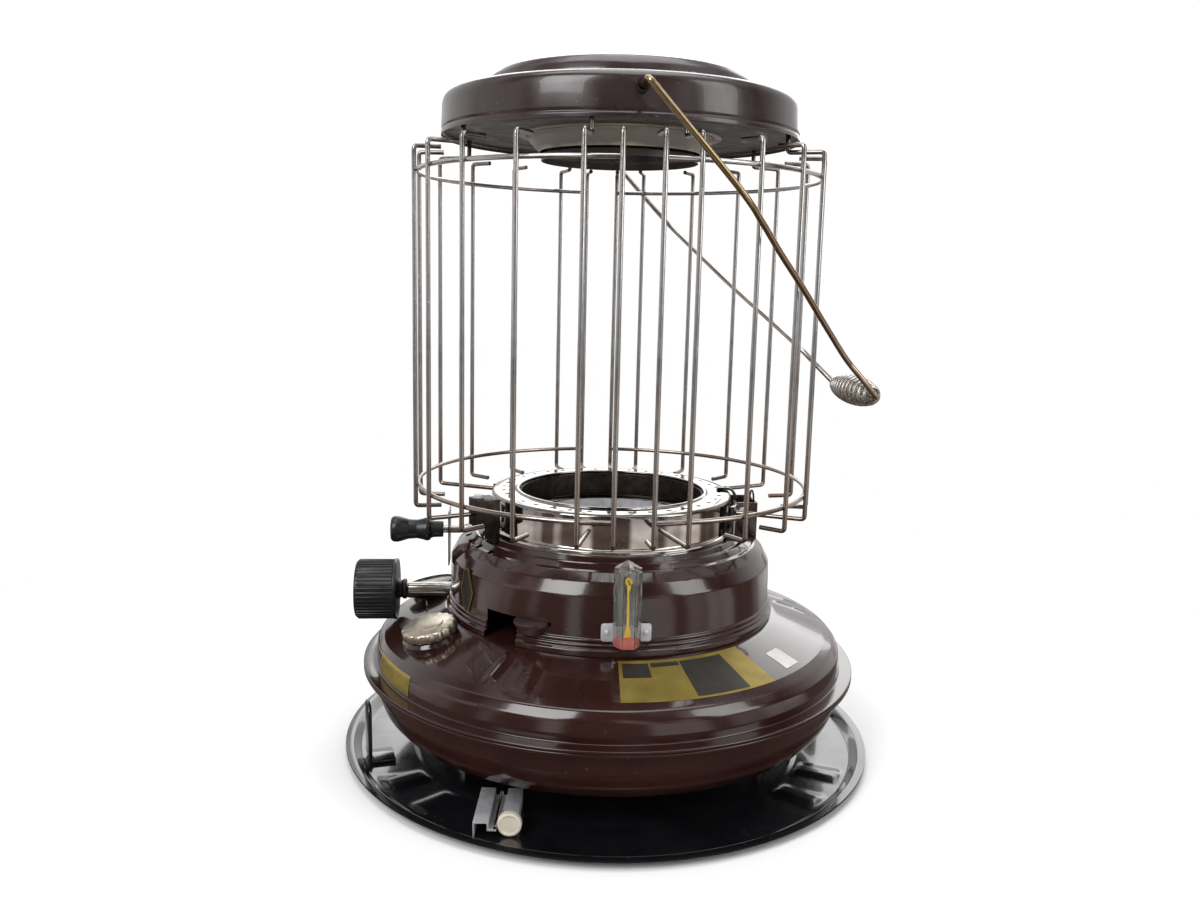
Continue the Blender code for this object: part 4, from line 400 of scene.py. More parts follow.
@dataclass
class Shape:
    """Points and faces of a piece in the making.

    Attributes:
        points: The corner points.
        faces: Corner numbers of each face.
    """

    points: list[Vector]
    faces: list[tuple[int, ...]]

    @classmethod
    def of_mesh(cls, mesh: bpy.types.Mesh) -> "Shape":
        """The points and faces of a mesh."""
        return cls([v.co.copy() for v in mesh.vertices], [tuple(p.vertices) for p in mesh.polygons])

    def joined(self, *others: "Shape") -> "Shape":
        """Puts this shape and others side by side in one shape."""
        points = list(self.points)
        faces = list(self.faces)
        for other in others:
            start = len(points)
            points += other.points
            faces += [tuple(start + i for i in face) for face in other.faces]
        return Shape(points, faces)

    def moved(self, move: Matrix | Callable[[Vector], Vector]) -> "Shape":
        """Moves each point by a frame or by a rule."""
        if isinstance(move, Matrix):
            return Shape([move @ point for point in self.points], self.faces)
        return Shape([move(point) for point in self.points], self.faces)

    def mesh(self, name: str) -> bpy.types.Mesh:
        """Makes a welded mesh whose faces point outwards.

        Args:
            name: The mesh's name.

        Returns:
            The mesh.
        """
        mesh = bpy.data.meshes.new(name)
        mesh.from_pydata([tuple(point) for point in self.points], [], self.faces)
        model = bmesh.new()
        model.from_mesh(mesh)
        bmesh.ops.remove_doubles(model, verts=model.verts, dist=WELD)
        bmesh.ops.recalc_face_normals(model, faces=model.faces)
        model.to_mesh(mesh)
        model.free()
        return mesh


def loft(rings: Sequence[Ring], closed: bool = False) -> Shape:
    """Skins rings of equally many points, with flat ends unless the rings close on themselves.

    Args:
        rings: The rings, in order.
        closed: Whether the last ring joins the first one.

    Returns:
        The skinned shape.
    """
    count = len(rings[0])
    points = [Vector(point) for ring in rings for point in ring]
    faces: list[tuple[int, ...]] = []
    for i in range(len(rings) if closed else len(rings) - 1):
        low = i * count
        high = (i + 1) % len(rings) * count
        faces += [(low + k, low + (k + 1) % count, high + (k + 1) % count, high + k) for k in range(count)]
    if not closed:
        faces += [tuple(range(count)), tuple(range(len(points) - count, len(points)))]
    return Shape(points, faces)


def turned(section: Profile, closed: bool = True, turns: int = FINE_TURN) -> Shape:
    """Turns a section about the Z axis.

    Args:
        section: Distances from the axis and heights. An open section starts and ends on the axis.
        closed: Whether the section closes on itself.
        turns: Steps round the axis.

    Returns:
        The turned shape.
    """
    rings = []
    for i in range(turns):
        angle = 2 * pi * i / turns
        rings.append([Vector((r * cos(angle), r * sin(angle), z)) for r, z in section])
    count = len(section)
    faces = []
    for i in range(turns):
        for k in range(count if closed else count - 1):
            here = (i * count + k, i * count + (k + 1) % count)
            there = ((i + 1) % turns * count + (k + 1) % count, (i + 1) % turns * count + k)
            low, high = section[k], section[(k + 1) % count]
            corners = list(here)
            corners += [there[0]] if high[0] else []
            corners += [there[1]] if low[0] else []
            if len(corners) > 2:
                faces.append(tuple(corners))
    return Shape([point for ring in rings for point in ring], faces)


def spun(corners: Sequence[Corner], steps: int = CORNER_STEPS, turns: int = SMALL_TURN) -> Shape:
    """Turns a path with rounded corners that starts and ends on the Z axis."""
    return turned(rounded(corners, steps=steps), closed=False, turns=turns)


def round_bar(radius: float, bottom: float, top: float, edge: float = 0, turns: int = 32) -> Shape:
    """A round bar on the Z axis, with rounded edges."""
    return spun([(0, top, 0), (radius, top, edge), (radius, bottom, edge), (0, bottom, 0)], turns=turns)


def pipe(outer: float, inner: float, ends: Pair, edge: float, turns: int = FINE_TURN) -> Shape:
    """A pipe on the Z axis, with rounded ends."""
    low, high = ends
    corners = [(outer, high, edge), (outer, low, edge), (inner, low, edge), (inner, high, edge)]
    return turned(rounded(corners, closed=True), turns=turns)


def button(radius: float, height: float, below: Sequence[Pair], steps: int, turns: int) -> Shape:
    """A domed head on the Z axis.

    Args:
        radius: The head's radius.
        height: Its height.
        below: The section's points under the head, which end on the axis.
        steps: Steps of the dome.
        turns: Steps round the axis.

    Returns:
        The button.
    """
    turn = [pi / 2 * i / steps for i in range(1, steps + 1)]
    dome = [(radius * sin(angle), height * cos(angle)) for angle in turn]
    return turned([(0, height), *dome, *below], closed=False, turns=turns)


def prism(outline: Profile, bottom: float, top: float) -> Shape:
    """A solid between two heights of one outline."""
    return loft([[Vector((x, y, z)) for x, y in outline] for z in (bottom, top)])


def strip(path: Profile, widths: Sequence[float], thickness: float) -> Shape:
    """A bent strip in a frame's XY plane, centred on it along Z.

    Args:
        path: The strip's middle line.
        widths: Its width at each point of the path.
        thickness: Its thickness.

    Returns:
        The strip.
    """
    left = offset_path(path, thickness / 2)
    right = offset_path(path, -thickness / 2)
    rings = []
    for near, far, width in zip(left, right, widths, strict=True):
        half = width / 2
        corners = [(*near, half), (*near, -half), (*far, -half), (*far, half)]
        rings.append([Vector(corner) for corner in corners])
    return loft(rings)


def of_node(name: str) -> Shape:
    """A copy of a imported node's shape, welded and freed of its inner edges on flat faces."""
    mesh = bpy.data.meshes.new_from_object(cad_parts[name])
    model = bmesh.new()
    model.from_mesh(mesh)
    bmesh.ops.remove_doubles(model, verts=model.verts, dist=WELD)
    bmesh.ops.dissolve_limit(model, angle_limit=FLAT_ANGLE, verts=model.verts, edges=model.edges)
    model.to_mesh(mesh)
    model.free()
    shape = Shape.of_mesh(mesh)
    bpy.data.meshes.remove(mesh)
    return shape


def bent_path(points: Sequence[Triple], radius: float, steps: int = 6) -> list[Vector]:
    """Rounds the inner corners of a path in space.

    Args:
        points: The path's corners.
        radius: Distance from each corner at which its bend starts.
        steps: Steps in a bend.

    Returns:
        The path's points.
    """
    path = [Vector(points[0])]
    for before, here, after in zip(points, points[1:], points[2:]):
        corner = Vector(here)
        start = corner + (Vector(before) - corner).normalized() * radius
        end = corner + (Vector(after) - corner).normalized() * radius
        path += bend_points(start, corner, end, steps)
    path.append(Vector(points[-1]))
    return path


def smoothed(points: Sequence[Triple], steps: int = 8) -> list[Vector]:
    """Bends a path smoothly through its points, with a spline that meets each of them.

    Args:
        points: The points that it goes through.
        steps: Steps between two points.

    Returns:
        The path's points.
    """
    given = [Vector(point) for point in points]
    given = [2 * given[0] - given[1], *given, 2 * given[-1] - given[-2]]
    path = []
    for a, b, c, d in zip(given, given[1:], given[2:], given[3:]):
        for i in range(steps):
            t = i / steps
            curve = (2 * a - 5 * b + 4 * c - d) * t**2 + (3 * b - a - 3 * c + d) * t**3
            path.append(0.5 * (2 * b + (c - a) * t + curve))
    path.append(given[-2])
    return path


def new_object(name: str, data: bpy.types.ID) -> bpy.types.Object:
    """Puts a new object into the scene."""
    obj = bpy.data.objects.new(name, data)
    bpy.context.scene.collection.objects.link(obj)
    return obj


# Trees of Geometry Nodes


GEOMETRY = "NodeSocketGeometry"
NUMBER = "NodeSocketFloat"
COUNT = "NodeSocketInt"


def new_tree(name: str, inputs: dict[str, str]) -> tuple[Tree, Node]:
    """Starts a tree of Geometry Nodes with named inputs.

    Args:
        name: The tree's name.
        inputs: Socket type by input name, besides the geometry and the material.

    Returns:
        The tree and its input node.
    """
    tree = bpy.data.node_groups.new(name, "GeometryNodeTree")
    tree.interface.new_socket(name="Geometry", in_out="INPUT", socket_type=GEOMETRY)
    for label, kind in inputs.items():
        tree.interface.new_socket(name=label, in_out="INPUT", socket_type=kind)
    tree.interface.new_socket(name="Material", in_out="INPUT", socket_type="NodeSocketMaterial")
    tree.interface.new_socket(name="Geometry", in_out="OUTPUT", socket_type=GEOMETRY)
    return tree, add_node(tree, "NodeGroupInput")


def end_tree(tree: Tree, given: Node, geometry: Socket) -> Tree:
    """Ends a tree in real geometry with its material.

    Args:
        tree: The tree.
        given: Its input node.
        geometry: The geometry to put out.

    Returns:
        The tree.
    """
    real = add_node(tree, "GeometryNodeRealizeInstances", links={"Geometry": geometry})
    links = {"Geometry": real.outputs["Geometry"], "Material": given.outputs["Material"]}
    dressed = add_node(tree, "GeometryNodeSetMaterial", links=links)
    add_node(tree, "NodeGroupOutput", links={"Geometry": dressed.outputs["Geometry"]})
    return tree


def wire_along(tree: Tree, given: Node, lines: Socket) -> Socket:
    """Adds the nodes that draw a round wire along lines.

    Args:
        tree: The tree, with inputs Wire radius and Sides.
        given: Its input node.
        lines: The lines, as edges of a mesh.

    Returns:
        The wire's geometry.
    """
    curve = add_node(tree, "GeometryNodeMeshToCurve", links={"Mesh": lines})
    section = {"Resolution": given.outputs["Sides"], "Radius": given.outputs["Wire radius"]}
    ring = add_node(tree, "GeometryNodeCurvePrimitiveCircle", links=section)
    links = {"Curve": curve.outputs["Curve"], "Profile Curve": ring.outputs["Curve"]}
    return add_node(tree, "GeometryNodeCurveToMesh", {"Fill Caps": True}, links).outputs["Mesh"]


def wire_tree() -> Tree:
    """Round wire along the edges of the object's mesh."""
    tree, given = new_tree("bent_wire", {"Wire radius": NUMBER, "Sides": COUNT})
    return end_tree(tree, given, wire_along(tree, given, given.outputs["Geometry"]))


def axis_place(tree: Tree, angle: Socket, distance: Socket, height: Socket) -> Socket:
    """The point at an angle about the Z axis, a distance from it and a height."""
    across = product(tree, calculation(tree, "COSINE", angle), distance)
    along = product(tree, calculation(tree, "SINE", angle), distance)
    links = {"X": across, "Y": along, "Z": height}
    return add_node(tree, "ShaderNodeCombineXYZ", links=links).outputs["Vector"]


def round_axis_tree() -> Tree:
    """Copies of the object's mesh at equal steps round the Z axis."""
    inputs = {"Count": COUNT, **dict.fromkeys(("First angle", "Angle step", "Distance", "Height"), NUMBER)}
    tree, given = new_tree("copies_round_axis", inputs)
    number = add_node(tree, "GeometryNodeInputIndex").outputs[0]
    turn = product(tree, number, given.outputs["Angle step"])
    angle = calculation(tree, "ADD", turn, given.outputs["First angle"])
    place = axis_place(tree, angle, given.outputs["Distance"], given.outputs["Height"])
    rotation = add_node(tree, "ShaderNodeCombineXYZ", links={"Z": angle}).outputs["Vector"]
    spots = add_node(tree, "GeometryNodePoints", links={"Count": given.outputs["Count"], "Position": place})
    links = {"Points": spots.outputs[0], "Instance": given.outputs["Geometry"], "Rotation": rotation}
    placed = add_node(tree, "GeometryNodeInstanceOnPoints", links=links)
    return end_tree(tree, given, placed.outputs["Instances"])


def winding_tree() -> Tree:
    """A wire wound round the Z axis, wider in its middle."""
    numbers = ("Turns", "Length", "End distance", "Swell", "Swell power", "Wire radius")
    inputs = {**dict.fromkeys(numbers, NUMBER), "Steps": COUNT, "Sides": COUNT}
    tree, given = new_tree("wound_grip", inputs)
    number = add_node(tree, "GeometryNodeInputIndex").outputs[0]
    share = calculation(tree, "DIVIDE", number, given.outputs["Steps"])
    arch = calculation(tree, "MAXIMUM", calculation(tree, "SINE", product(tree, share, pi)), 0.0)
    swell = calculation(tree, "POWER", arch, given.outputs["Swell power"])
    more = product(tree, swell, given.outputs["Swell"])
    radius = calculation(tree, "ADD", more, given.outputs["End distance"])
    angle = product(tree, product(tree, share, given.outputs["Turns"]), 2 * pi)
    height = product(tree, calculation(tree, "SUBTRACT", share, 0.5), given.outputs["Length"])
    place = axis_place(tree, angle, radius, height)
    count = calculation(tree, "ADD", given.outputs["Steps"], 1.0)
    line = add_node(tree, "GeometryNodeMeshLine", links={"Count": count}).outputs["Mesh"]
    wound = add_node(tree, "GeometryNodeSetPosition", links={"Geometry": line, "Position": place})
    return end_tree(tree, given, wire_along(tree, given, wound.outputs["Geometry"]))


TREES = {"wire": wire_tree(), "round_axis": round_axis_tree(), "winding": winding_tree()}


def grow(tree: Tree, mesh: bpy.types.Mesh, inputs: dict[str, float | int]) -> Shape:
    """Runs a tree on a mesh and keeps the plain result.

    Args:
        tree: The tree of Geometry Nodes.
        mesh: The mesh that it starts from.
        inputs: Values by input name.

    Returns:
        The shape that the tree makes.
    """
    obj = new_object(mesh.name, mesh)
    modifier = obj.modifiers.new("Growth", "NODES")
    modifier.node_group = tree
    for socket in tree.interface.items_tree:
        if socket.in_out == "INPUT" and socket.name in inputs:
            modifier[socket.identifier] = inputs[socket.name]
    bpy.context.view_layer.update()
    result = bpy.data.meshes.new_from_object(obj.evaluated_get(bpy.context.evaluated_depsgraph_get()))
    shape = Shape.of_mesh(result)
    bpy.data.objects.remove(obj)
    bpy.data.meshes.remove(mesh)
    bpy.data.meshes.remove(result)
    return shape


def wires(paths: Sequence[Ring], radius: float, sides: int = 12) -> Shape:
    """Round wires along paths, made by the tree for bent wire.

    Args:
        paths: Each wire's points.
        radius: The wires' radius.
        sides: Sides of their section.

    Returns:
        The wires as one shape.
    """
    mesh = bpy.data.meshes.new("wire_paths")
    points = [tuple(point) for path in paths for point in path]
    edges = []
    start = 0
    for path in paths:
        edges += [(i, i + 1) for i in range(start, start + len(path) - 1)]
        start += len(path)
    mesh.from_pydata(points, edges, [])
    return grow(TREES["wire"], mesh, {"Wire radius": radius, "Sides": sides})


def copies(
    shape: Shape, count: int, first: float, step: float, distance: float = 0, height: float = 0
) -> Shape:
    """Copies a shape at equal steps round the Z axis.

    Args:
        shape: The shape, with its X axis outwards.
        count: How many copies.
        first: Azimuth of the first one.
        step: Degrees between two copies.
        distance: The copies' distance from the axis.
        height: The copies' height.

    Returns:
        The copies as one shape.
    """
    values = {
        "Count": count,
        "First angle": radians(first) - pi / 2,
        "Angle step": radians(step),
        "Distance": float(distance),
        "Height": float(height),
    }
    return grow(TREES["round_axis"], shape.mesh("one_copy"), values)


# Finishes


COAT_ROUGHNESS = 0.04
NOISE_ROUGHNESS = 0.55
NOISE_SPAN = (0.3, 0.7)
SMEAR_SHARE = 0.6
SPECK_SPACING = 0.006
SPECK_SHARE = 0.06
DUST_PATCH = 0.02
DUST_LEVEL = 0.52


class Along(Enum):
    """Directions in which a finish changes its tint."""

    HEIGHT = "Z"
    DEPTH = "Y"
    DISTANCE = "distance"


@dataclass(frozen=True)
class Finish:
    """A surface, with the sizes of its marks in metres.

    Attributes:
        name: The maker's name of the finish.
        slot: The record's slot that it belongs to; not used.
        colour: Its main colour.
        cloud: The colour of its soft patches.
        roughness: Its lowest and highest roughness.
        metallic: 1 for bare metal.
        ior: Refractive index, for all but metals.
        coat: Weight of a clear coat.
        clear: Share of light that goes through it.
        patch: Size of its soft patches.
        grain: Size of its fine relief.
        relief: Height of its fine relief.
        wave: Size of its slow waves.
        swell: Height of its slow waves.
        speck: Colour of the dust on it, or nothing.
        tints: Places from 0 to 1 with the colours that a tinted finish has there.
        along: The direction of its tints.
        reach: Where its tints start and end.
        wander: How far its tints stray.
    """

    name: str
    slot: Slot
    colour: str
    cloud: str
    roughness: Pair
    metallic: float = 0
    ior: float = 1.5
    coat: float = 0
    clear: float = 0
    patch: float = 0.01
    grain: float = 0.0005
    relief: float = 0.00001
    wave: float = 0.02
    swell: float = 0
    speck: str = ""
    tints: tuple[tuple[float, str], ...] = ()
    along: Along = Along.HEIGHT
    reach: Pair = (0, 1)
    wander: float = 0

    def material(self) -> bpy.types.Material:
        """The finish as a material, made at its first use."""
        return bpy.data.materials.get(self.name) or self.make_material()

    def make_material(self) -> bpy.types.Material:
        """Builds the finish's node tree.

        Returns:
            The new material.
        """
        material = bpy.data.materials.new(self.name)
        material.use_nodes = True
        tree = material.node_tree
        tree.nodes.clear()
        place = object_place(tree)
        clouds = self.noise(tree, place, self.patch, 4)
        smears = self.noise(tree, place, self.patch * SMEAR_SHARE, 5)
        values = {"Metallic": self.metallic, "IOR": self.ior, "Coat Weight": self.coat}
        values |= {"Coat Roughness": COAT_ROUGHNESS, "Transmission Weight": self.clear}
        links = {
            "Base Color": self.dusted(tree, place, self.coloured(tree, place, clouds)),
            "Roughness": stretched(tree, smears, NOISE_SPAN, self.roughness),
            "Normal": self.rough_face(tree, place),
        }
        shader = add_node(tree, "ShaderNodeBsdfPrincipled", values, links)
        add_node(tree, "ShaderNodeOutputMaterial", links={"Surface": shader.outputs["BSDF"]})
        return material

    def noise(self, tree: Tree, place: Socket, size: float, detail: float) -> Socket:
        """Soft noise whose patches have a size in metres."""
        values = {"Scale": 1 / size, "Detail": detail, "Roughness": NOISE_ROUGHNESS}
        return add_node(tree, "ShaderNodeTexNoise", values, {"Vector": place}).outputs["Fac"]

    def coloured(self, tree: Tree, place: Socket, clouds: Socket) -> Socket:
        """The colour with its patches, and with its tints where it has them.

        Args:
            tree: The material's tree.
            place: The point on the object.
            clouds: Noise for the patches.

        Returns:
            The colour.
        """
        if not self.tints:
            share = stretched(tree, clouds, NOISE_SPAN)
            return mixed(tree, share, linear_colour(self.colour), linear_colour(self.cloud))
        if self.along is Along.DISTANCE:
            flat = add_node(tree, "ShaderNodeVectorMath", {1: (1, 1, 0)}, {0: place}, operation="MULTIPLY")
            value = length_of(tree, flat.outputs[0])
        else:
            value = add_node(tree, "ShaderNodeSeparateXYZ", links={"Vector": place}).outputs[self.along.value]
        stray = product(tree, calculation(tree, "SUBTRACT", clouds, 0.5), self.wander)
        share = stretched(tree, calculation(tree, "ADD", value, stray), self.reach)
        ramp = add_node(tree, "ShaderNodeValToRGB", links={"Fac": share})
        stops = ramp.color_ramp.elements
        for spare in list(stops)[1:]:
            stops.remove(spare)
        stops[0].position = self.tints[0][0]
        stops[0].color = linear_colour(self.tints[0][1])
        for position, colour in self.tints[1:]:
            stops.new(position).color = linear_colour(colour)
        return ramp.outputs["Color"]

    def dusted(self, tree: Tree, place: Socket, colour: Socket) -> Socket:
        """Sparse dust specks over the colour, under a millimetre across."""
        if not self.speck:
            return colour
        cells = add_node(tree, "ShaderNodeTexVoronoi", {"Scale": 1 / SPECK_SPACING}, {"Vector": place})
        near = calculation(tree, "LESS_THAN", cells.outputs["Distance"], SPECK_SHARE)
        few = calculation(tree, "GREATER_THAN", self.noise(tree, place, DUST_PATCH, 1), DUST_LEVEL)
        return mixed(tree, product(tree, product(tree, near, few), 0.5), colour, linear_colour(self.speck))

    def rough_face(self, tree: Tree, place: Socket) -> Socket:
        """The normal with the finish's slow waves and fine relief.

        Args:
            tree: The material's tree.
            place: The point on the object.

        Returns:
            The normal.
        """
        values = {"Strength": 1.0, "Distance": self.relief}
        links = {"Height": self.noise(tree, place, self.grain, 2)}
        fine = add_node(tree, "ShaderNodeBump", values, links).outputs["Normal"]
        if not self.swell:
            return fine
        values["Distance"] = self.swell
        links = {"Height": self.noise(tree, place, self.wave, 1), "Normal": fine}
        return add_node(tree, "ShaderNodeBump", values, links).outputs["Normal"]


# Vitreous enamel on pressed steel: deep dark brown under a glassy skin with faint orange peel and dust
BROWN_ENAMEL = Finish(
    "brown_stove_enamel", Slot.BROWN_ENAMEL, "26120F", "301A16", (0.1, 0.2), ior=1.52, coat=0.4,
    patch=0.06, grain=0.0025, relief=0.000012, speck="9A8C80",
)  # fmt: skip
# The same enamel above the flame: greyed and purplish with heat haze, browner towards the rim
HAZED_ENAMEL = Finish(
    "heat_hazed_enamel", Slot.BROWN_ENAMEL, "3A2A2C", "4A3A3E", (0.16, 0.34), ior=1.52, coat=0.3,
    patch=0.05, grain=0.0025, relief=0.000012, along=Along.DISTANCE, reach=(0, 0.155), wander=0.06,
    tints=((0, "4B3A3D"), (0.35, "5A4850"), (0.6, "3C2D33"), (0.8, "2C1D1E"), (1, "2A1B1B")),
    speck="A39A94",
)  # fmt: skip
# Gloss black enamel of the tray: mirror-like with a dusty bloom
BLACK_ENAMEL = Finish(
    "black_stove_enamel", Slot.BLACK_ENAMEL, "0B0B0D", "16161A", (0.12, 0.28), ior=1.52, coat=0.5,
    patch=0.05, grain=0.002, relief=0.000015, speck="8E8A88",
)  # fmt: skip
# Bright chrome on the ring: slow dents bend its reflections. Its straw, brown and blue tints by height are
# partly heat tint and partly painted reflections of a coloured room. Its greyer top is partly heat dulling and
# partly painted shade that dims its mirror of the white backdrop
RING_CHROME = Finish(
    "polished_chrome", Slot.CHROME, "C9C7C4", "B8B0A8", (0.04, 0.1), metallic=1, patch=0.03, grain=0.0008,
    relief=0.000004, wave=0.03, swell=0.00025, reach=(0.203, 0.238), wander=0.03,
    tints=((0, "CFCBC6"), (0.3, "AFA49B"), (0.55, "C8C3BE"), (0.8, "A39A9C"), (0.9, "9A9590"), (1, "8A8682")),
)  # fmt: skip
# Drawn steel wire with thin chrome: browner low down, partly from heat and partly a painted reflection of a
# warm floor; browned by heat near the plate, black where it was clamped
GUARD_WIRE = Finish(
    "heat_browned_wire_with_painted_reflection", Slot.WIRE_CHROME, "BDB8B4", "A29A94", (0.12, 0.28), metallic=1, patch=0.02,
    grain=0.0006, relief=0.00002, reach=(0.22, 0.54), wander=0.05,
    tints=((0, "85776E"), (0.1, "A59A92"), (0.25, "BDB8B4"), (0.5, "CCCAC9"), (0.92, "BDB9B6"), (1, "6E6660")),
)  # fmt: skip
# The bail's wire: golden brown on its front arm as a painted warm reflection, bright towards the grip and the
# back
BAIL_WIRE = Finish(
    "painted_warm_reflection_wire", Slot.WIRE_CHROME, "B5ADA6", "8A7568", (0.14, 0.3), metallic=1, patch=0.02,
    grain=0.0006, relief=0.000015, along=Along.DEPTH, reach=(-0.21, 0.2), wander=0.03,
    tints=((0, "A5906E"), (0.2, "9C8265"), (0.4, "B8AA97"), (0.6, "C6C1BC"), (1, "B5AFA9")),
)  # fmt: skip
# Plain bright spring wire of the grip
GRIP_WIRE = Finish(
    "bright_spring_wire", Slot.WIRE_CHROME, "C9C6C2", "A49C94", (0.16, 0.3), metallic=1,
)  # fmt: skip
# Zinc plated sheet: bluish white metal, satin, with cloudy spangle and small scuffs
ZINC = Finish(
    "zinc_plated_steel", Slot.ZINC_PLATE, "DDDCE0", "C2C1C7", (0.42, 0.6), metallic=0.55, patch=0.006,
)  # fmt: skip
# Nickel plated pressing of the fuel cap: warm champagne silver, slightly dulled by handling
CAP_NICKEL = Finish(
    "nickel_plated_steel", Slot.ZINC_PLATE, "D6CCBC", "BDB2A1", (0.3, 0.42), metallic=1, patch=0.008,
    grain=0.0006, relief=0.000002,
)  # fmt: skip
# Turned and polished steel of the sleeve and the lifting rod
POLISHED_STEEL = Finish(
    "polished_steel", Slot.ZINC_PLATE, "C6C2BC", "A49F97", (0.14, 0.26), metallic=1, grain=0.0004,
    relief=0.000001,
)  # fmt: skip
# Steel blackened by heat and oil
DARK_STEEL = Finish(
    "heat_blackened_steel", Slot.DARK_STEEL, "4A423D", "2C2724", (0.35, 0.6), metallic=1, patch=0.008,
    grain=0.0006, relief=0.00003,
)  # fmt: skip
# Grey enamel of the pan and the drum, coloured near black
DARK_PAN_ENAMEL = Finish(
    "dark_pan_enamel", Slot.GREY_ENAMEL, "35302E", "262322", (0.35, 0.6), patch=0.03, grain=0.0015,
    relief=0.00002,
)  # fmt: skip
DRUM_ENAMEL = Finish(
    "dark_drum_enamel", Slot.GREY_ENAMEL, "3B3531", "241F1C", (0.3, 0.5), patch=0.02, grain=0.0015,
    relief=0.00002,
)  # fmt: skip
# Cream enamel of the chimney collar, darkened to grey-brown between its pale edges as painted shade under the
# top plate
CREAM_ENAMEL = Finish(
    "cream_enamel_with_painted_shade", Slot.CREAM_ENAMEL, "8C7F6E", "736754", (0.3, 0.5), patch=0.02, grain=0.0015,
    relief=0.00002, reach=(0.533, 0.552), wander=0.01,
    tints=((0, "978A78"), (0.2, "5E5750"), (0.75, "6A625A"), (1, "9A8C76")),
)  # fmt: skip
# Moulded phenolic of the knob and handle: black, softly glossy, with a fine moulding grain
BLACK_MOULDING = Finish(
    "moulded_phenolic", Slot.BLACK_PLASTIC, "09090A", "111113", (0.25, 0.42), ior=1.55, patch=0.02,
    grain=0.0006, relief=0.00002,
)  # fmt: skip
# Matt paint of the shut-off tab
TAB_ENAMEL = Finish(
    "matt_brown_paint", Slot.BLACK_PLASTIC, "2B191A", "3B2829", (0.35, 0.55), patch=0.008, grain=0.0008,
    relief=0.00002,
)  # fmt: skip
# Moulded nylon, off white
WHITE_MOULDING = Finish(
    "moulded_nylon", Slot.WHITE_PLASTIC, "E6DFD0", "D2C8B4", (0.3, 0.5), ior=1.53, patch=0.008,
)  # fmt: skip
# Cast acrylic of the indicator's case: clear, with flow marks that waver what is behind it
CLEAR_ACRYLIC = Finish(
    "clear_acrylic", Slot.CLEAR_PLASTIC, "F4F5F2", "EDEEEA", (0.02, 0.08), ior=1.49, clear=0.985,
    grain=0.003, relief=0.00002,
)  # fmt: skip
# Moulded red and yellow plastic, oil-proof rubber and brass of the small parts
RED_MOULDING = Finish(
    "moulded_red_plastic", Slot.RED_PLASTIC, "E0604F", "C84A3C", (0.3, 0.45), patch=0.006,
)  # fmt: skip
YELLOW_MOULDING = Finish(
    "moulded_yellow_plastic", Slot.YELLOW_PLASTIC, "FFD60A", "F4C800", (0.3, 0.45), patch=0.006,
)  # fmt: skip
RUBBER = Finish(
    "oil_proof_rubber", Slot.BLACK_RUBBER, "1C1B1A", "262423", (0.6, 0.8), patch=0.006, grain=0.0004,
    relief=0.00002,
)  # fmt: skip
BRASS = Finish(
    "drawn_brass", Slot.BRASS, "B59A55", "93793C", (0.25, 0.42), metallic=1,
)  # fmt: skip
# Woven glass and cotton wick: matt, off white below and charred at its burning edge
WICK = Finish(
    "woven_wick", Slot.WICK_COTTON, "C8BFAE", "A99F8C", (0.85, 0.95), patch=0.004, grain=0.0012,
    relief=0.0002, reach=(0.18, 0.203), wander=0.006,
    tints=((0, "C8BFAE"), (0.6, "8A7B66"), (1, "1E1A17")),
)  # fmt: skip
# Printed foil plates, left bare: brushed gold, and black with a satin face
GOLD_FOIL = Finish(
    "gold_foil", Slot.BRASS, "A3904A", "8C7A3C", (0.3, 0.45), metallic=0.7, patch=0.02, grain=0.0006,
    relief=0.000006,
)  # fmt: skip
BLACK_FOIL = Finish(
    "black_foil", Slot.BLACK_ENAMEL, "1D1B15", "2B2820", (0.3, 0.45), grain=0.0006, relief=0.000006,
)  # fmt: skip
# White paper of the label and pale paint of the dial
WHITE_PAPER = Finish(
    "white_label_paper", Slot.WHITE_PLASTIC, "DCDCDA", "C8C8C6", (0.6, 0.8),
)  # fmt: skip
DIAL_FACE = Finish(
    "dial_face_paint", Slot.WHITE_PLASTIC, "B9B4AA", "A39D92", (0.4, 0.55),
)  # fmt: skip


# Pieces


def add_piece(
    name: str,
    shape: Shape,
    finish: Finish,
    body: Body = Body.BASE,
    stands_for: Iterable[str] = (),
    bevel: float = 0,
) -> bpy.types.Object:
    """Makes a finished piece that rides on a body.

    Args:
        name: The piece's name.
        shape: Its shape, in the heater's frame.
        finish: Its finish.
        body: The body it rides on.
        stands_for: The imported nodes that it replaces.
        bevel: Width of the rounding on its sharp edges.

    Returns:
        The piece.
    """
    mesh = shape.mesh(name)
    obj = new_object(name, mesh)
    mesh.materials.append(finish.material())
    mesh.shade_smooth()
    if bevel:
        rounding = obj.modifiers.new("Rounding", "BEVEL")
        rounding.width = bevel
        rounding.segments = 2
        rounding.limit_method = "ANGLE"
        rounding.angle_limit = CREASE
        make_plain(obj)
    obj.data.set_sharp_from_angle(angle=CREASE)
    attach(obj, body.value)
    nodes = list(stands_for)
    if nodes:
        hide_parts(*nodes)
    return obj


def soften(name: str, node: str, finish: Finish, bevel: float, body: Body = Body.BASE) -> None:
    """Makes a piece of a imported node's shape, with its edges rounded."""
    add_piece(name, of_node(node), finish, body, [node], bevel)


def make_plain(obj: bpy.types.Object) -> None:
    """Turns an object's modifiers into its plain mesh."""
    bpy.context.view_layer.update()
    evaluated = obj.evaluated_get(bpy.context.evaluated_depsgraph_get())
    plain = bpy.data.meshes.new_from_object(evaluated)
    worn = obj.data
    obj.modifiers.clear()
    obj.data = plain
    plain.name = worn.name
    bpy.data.meshes.remove(worn)


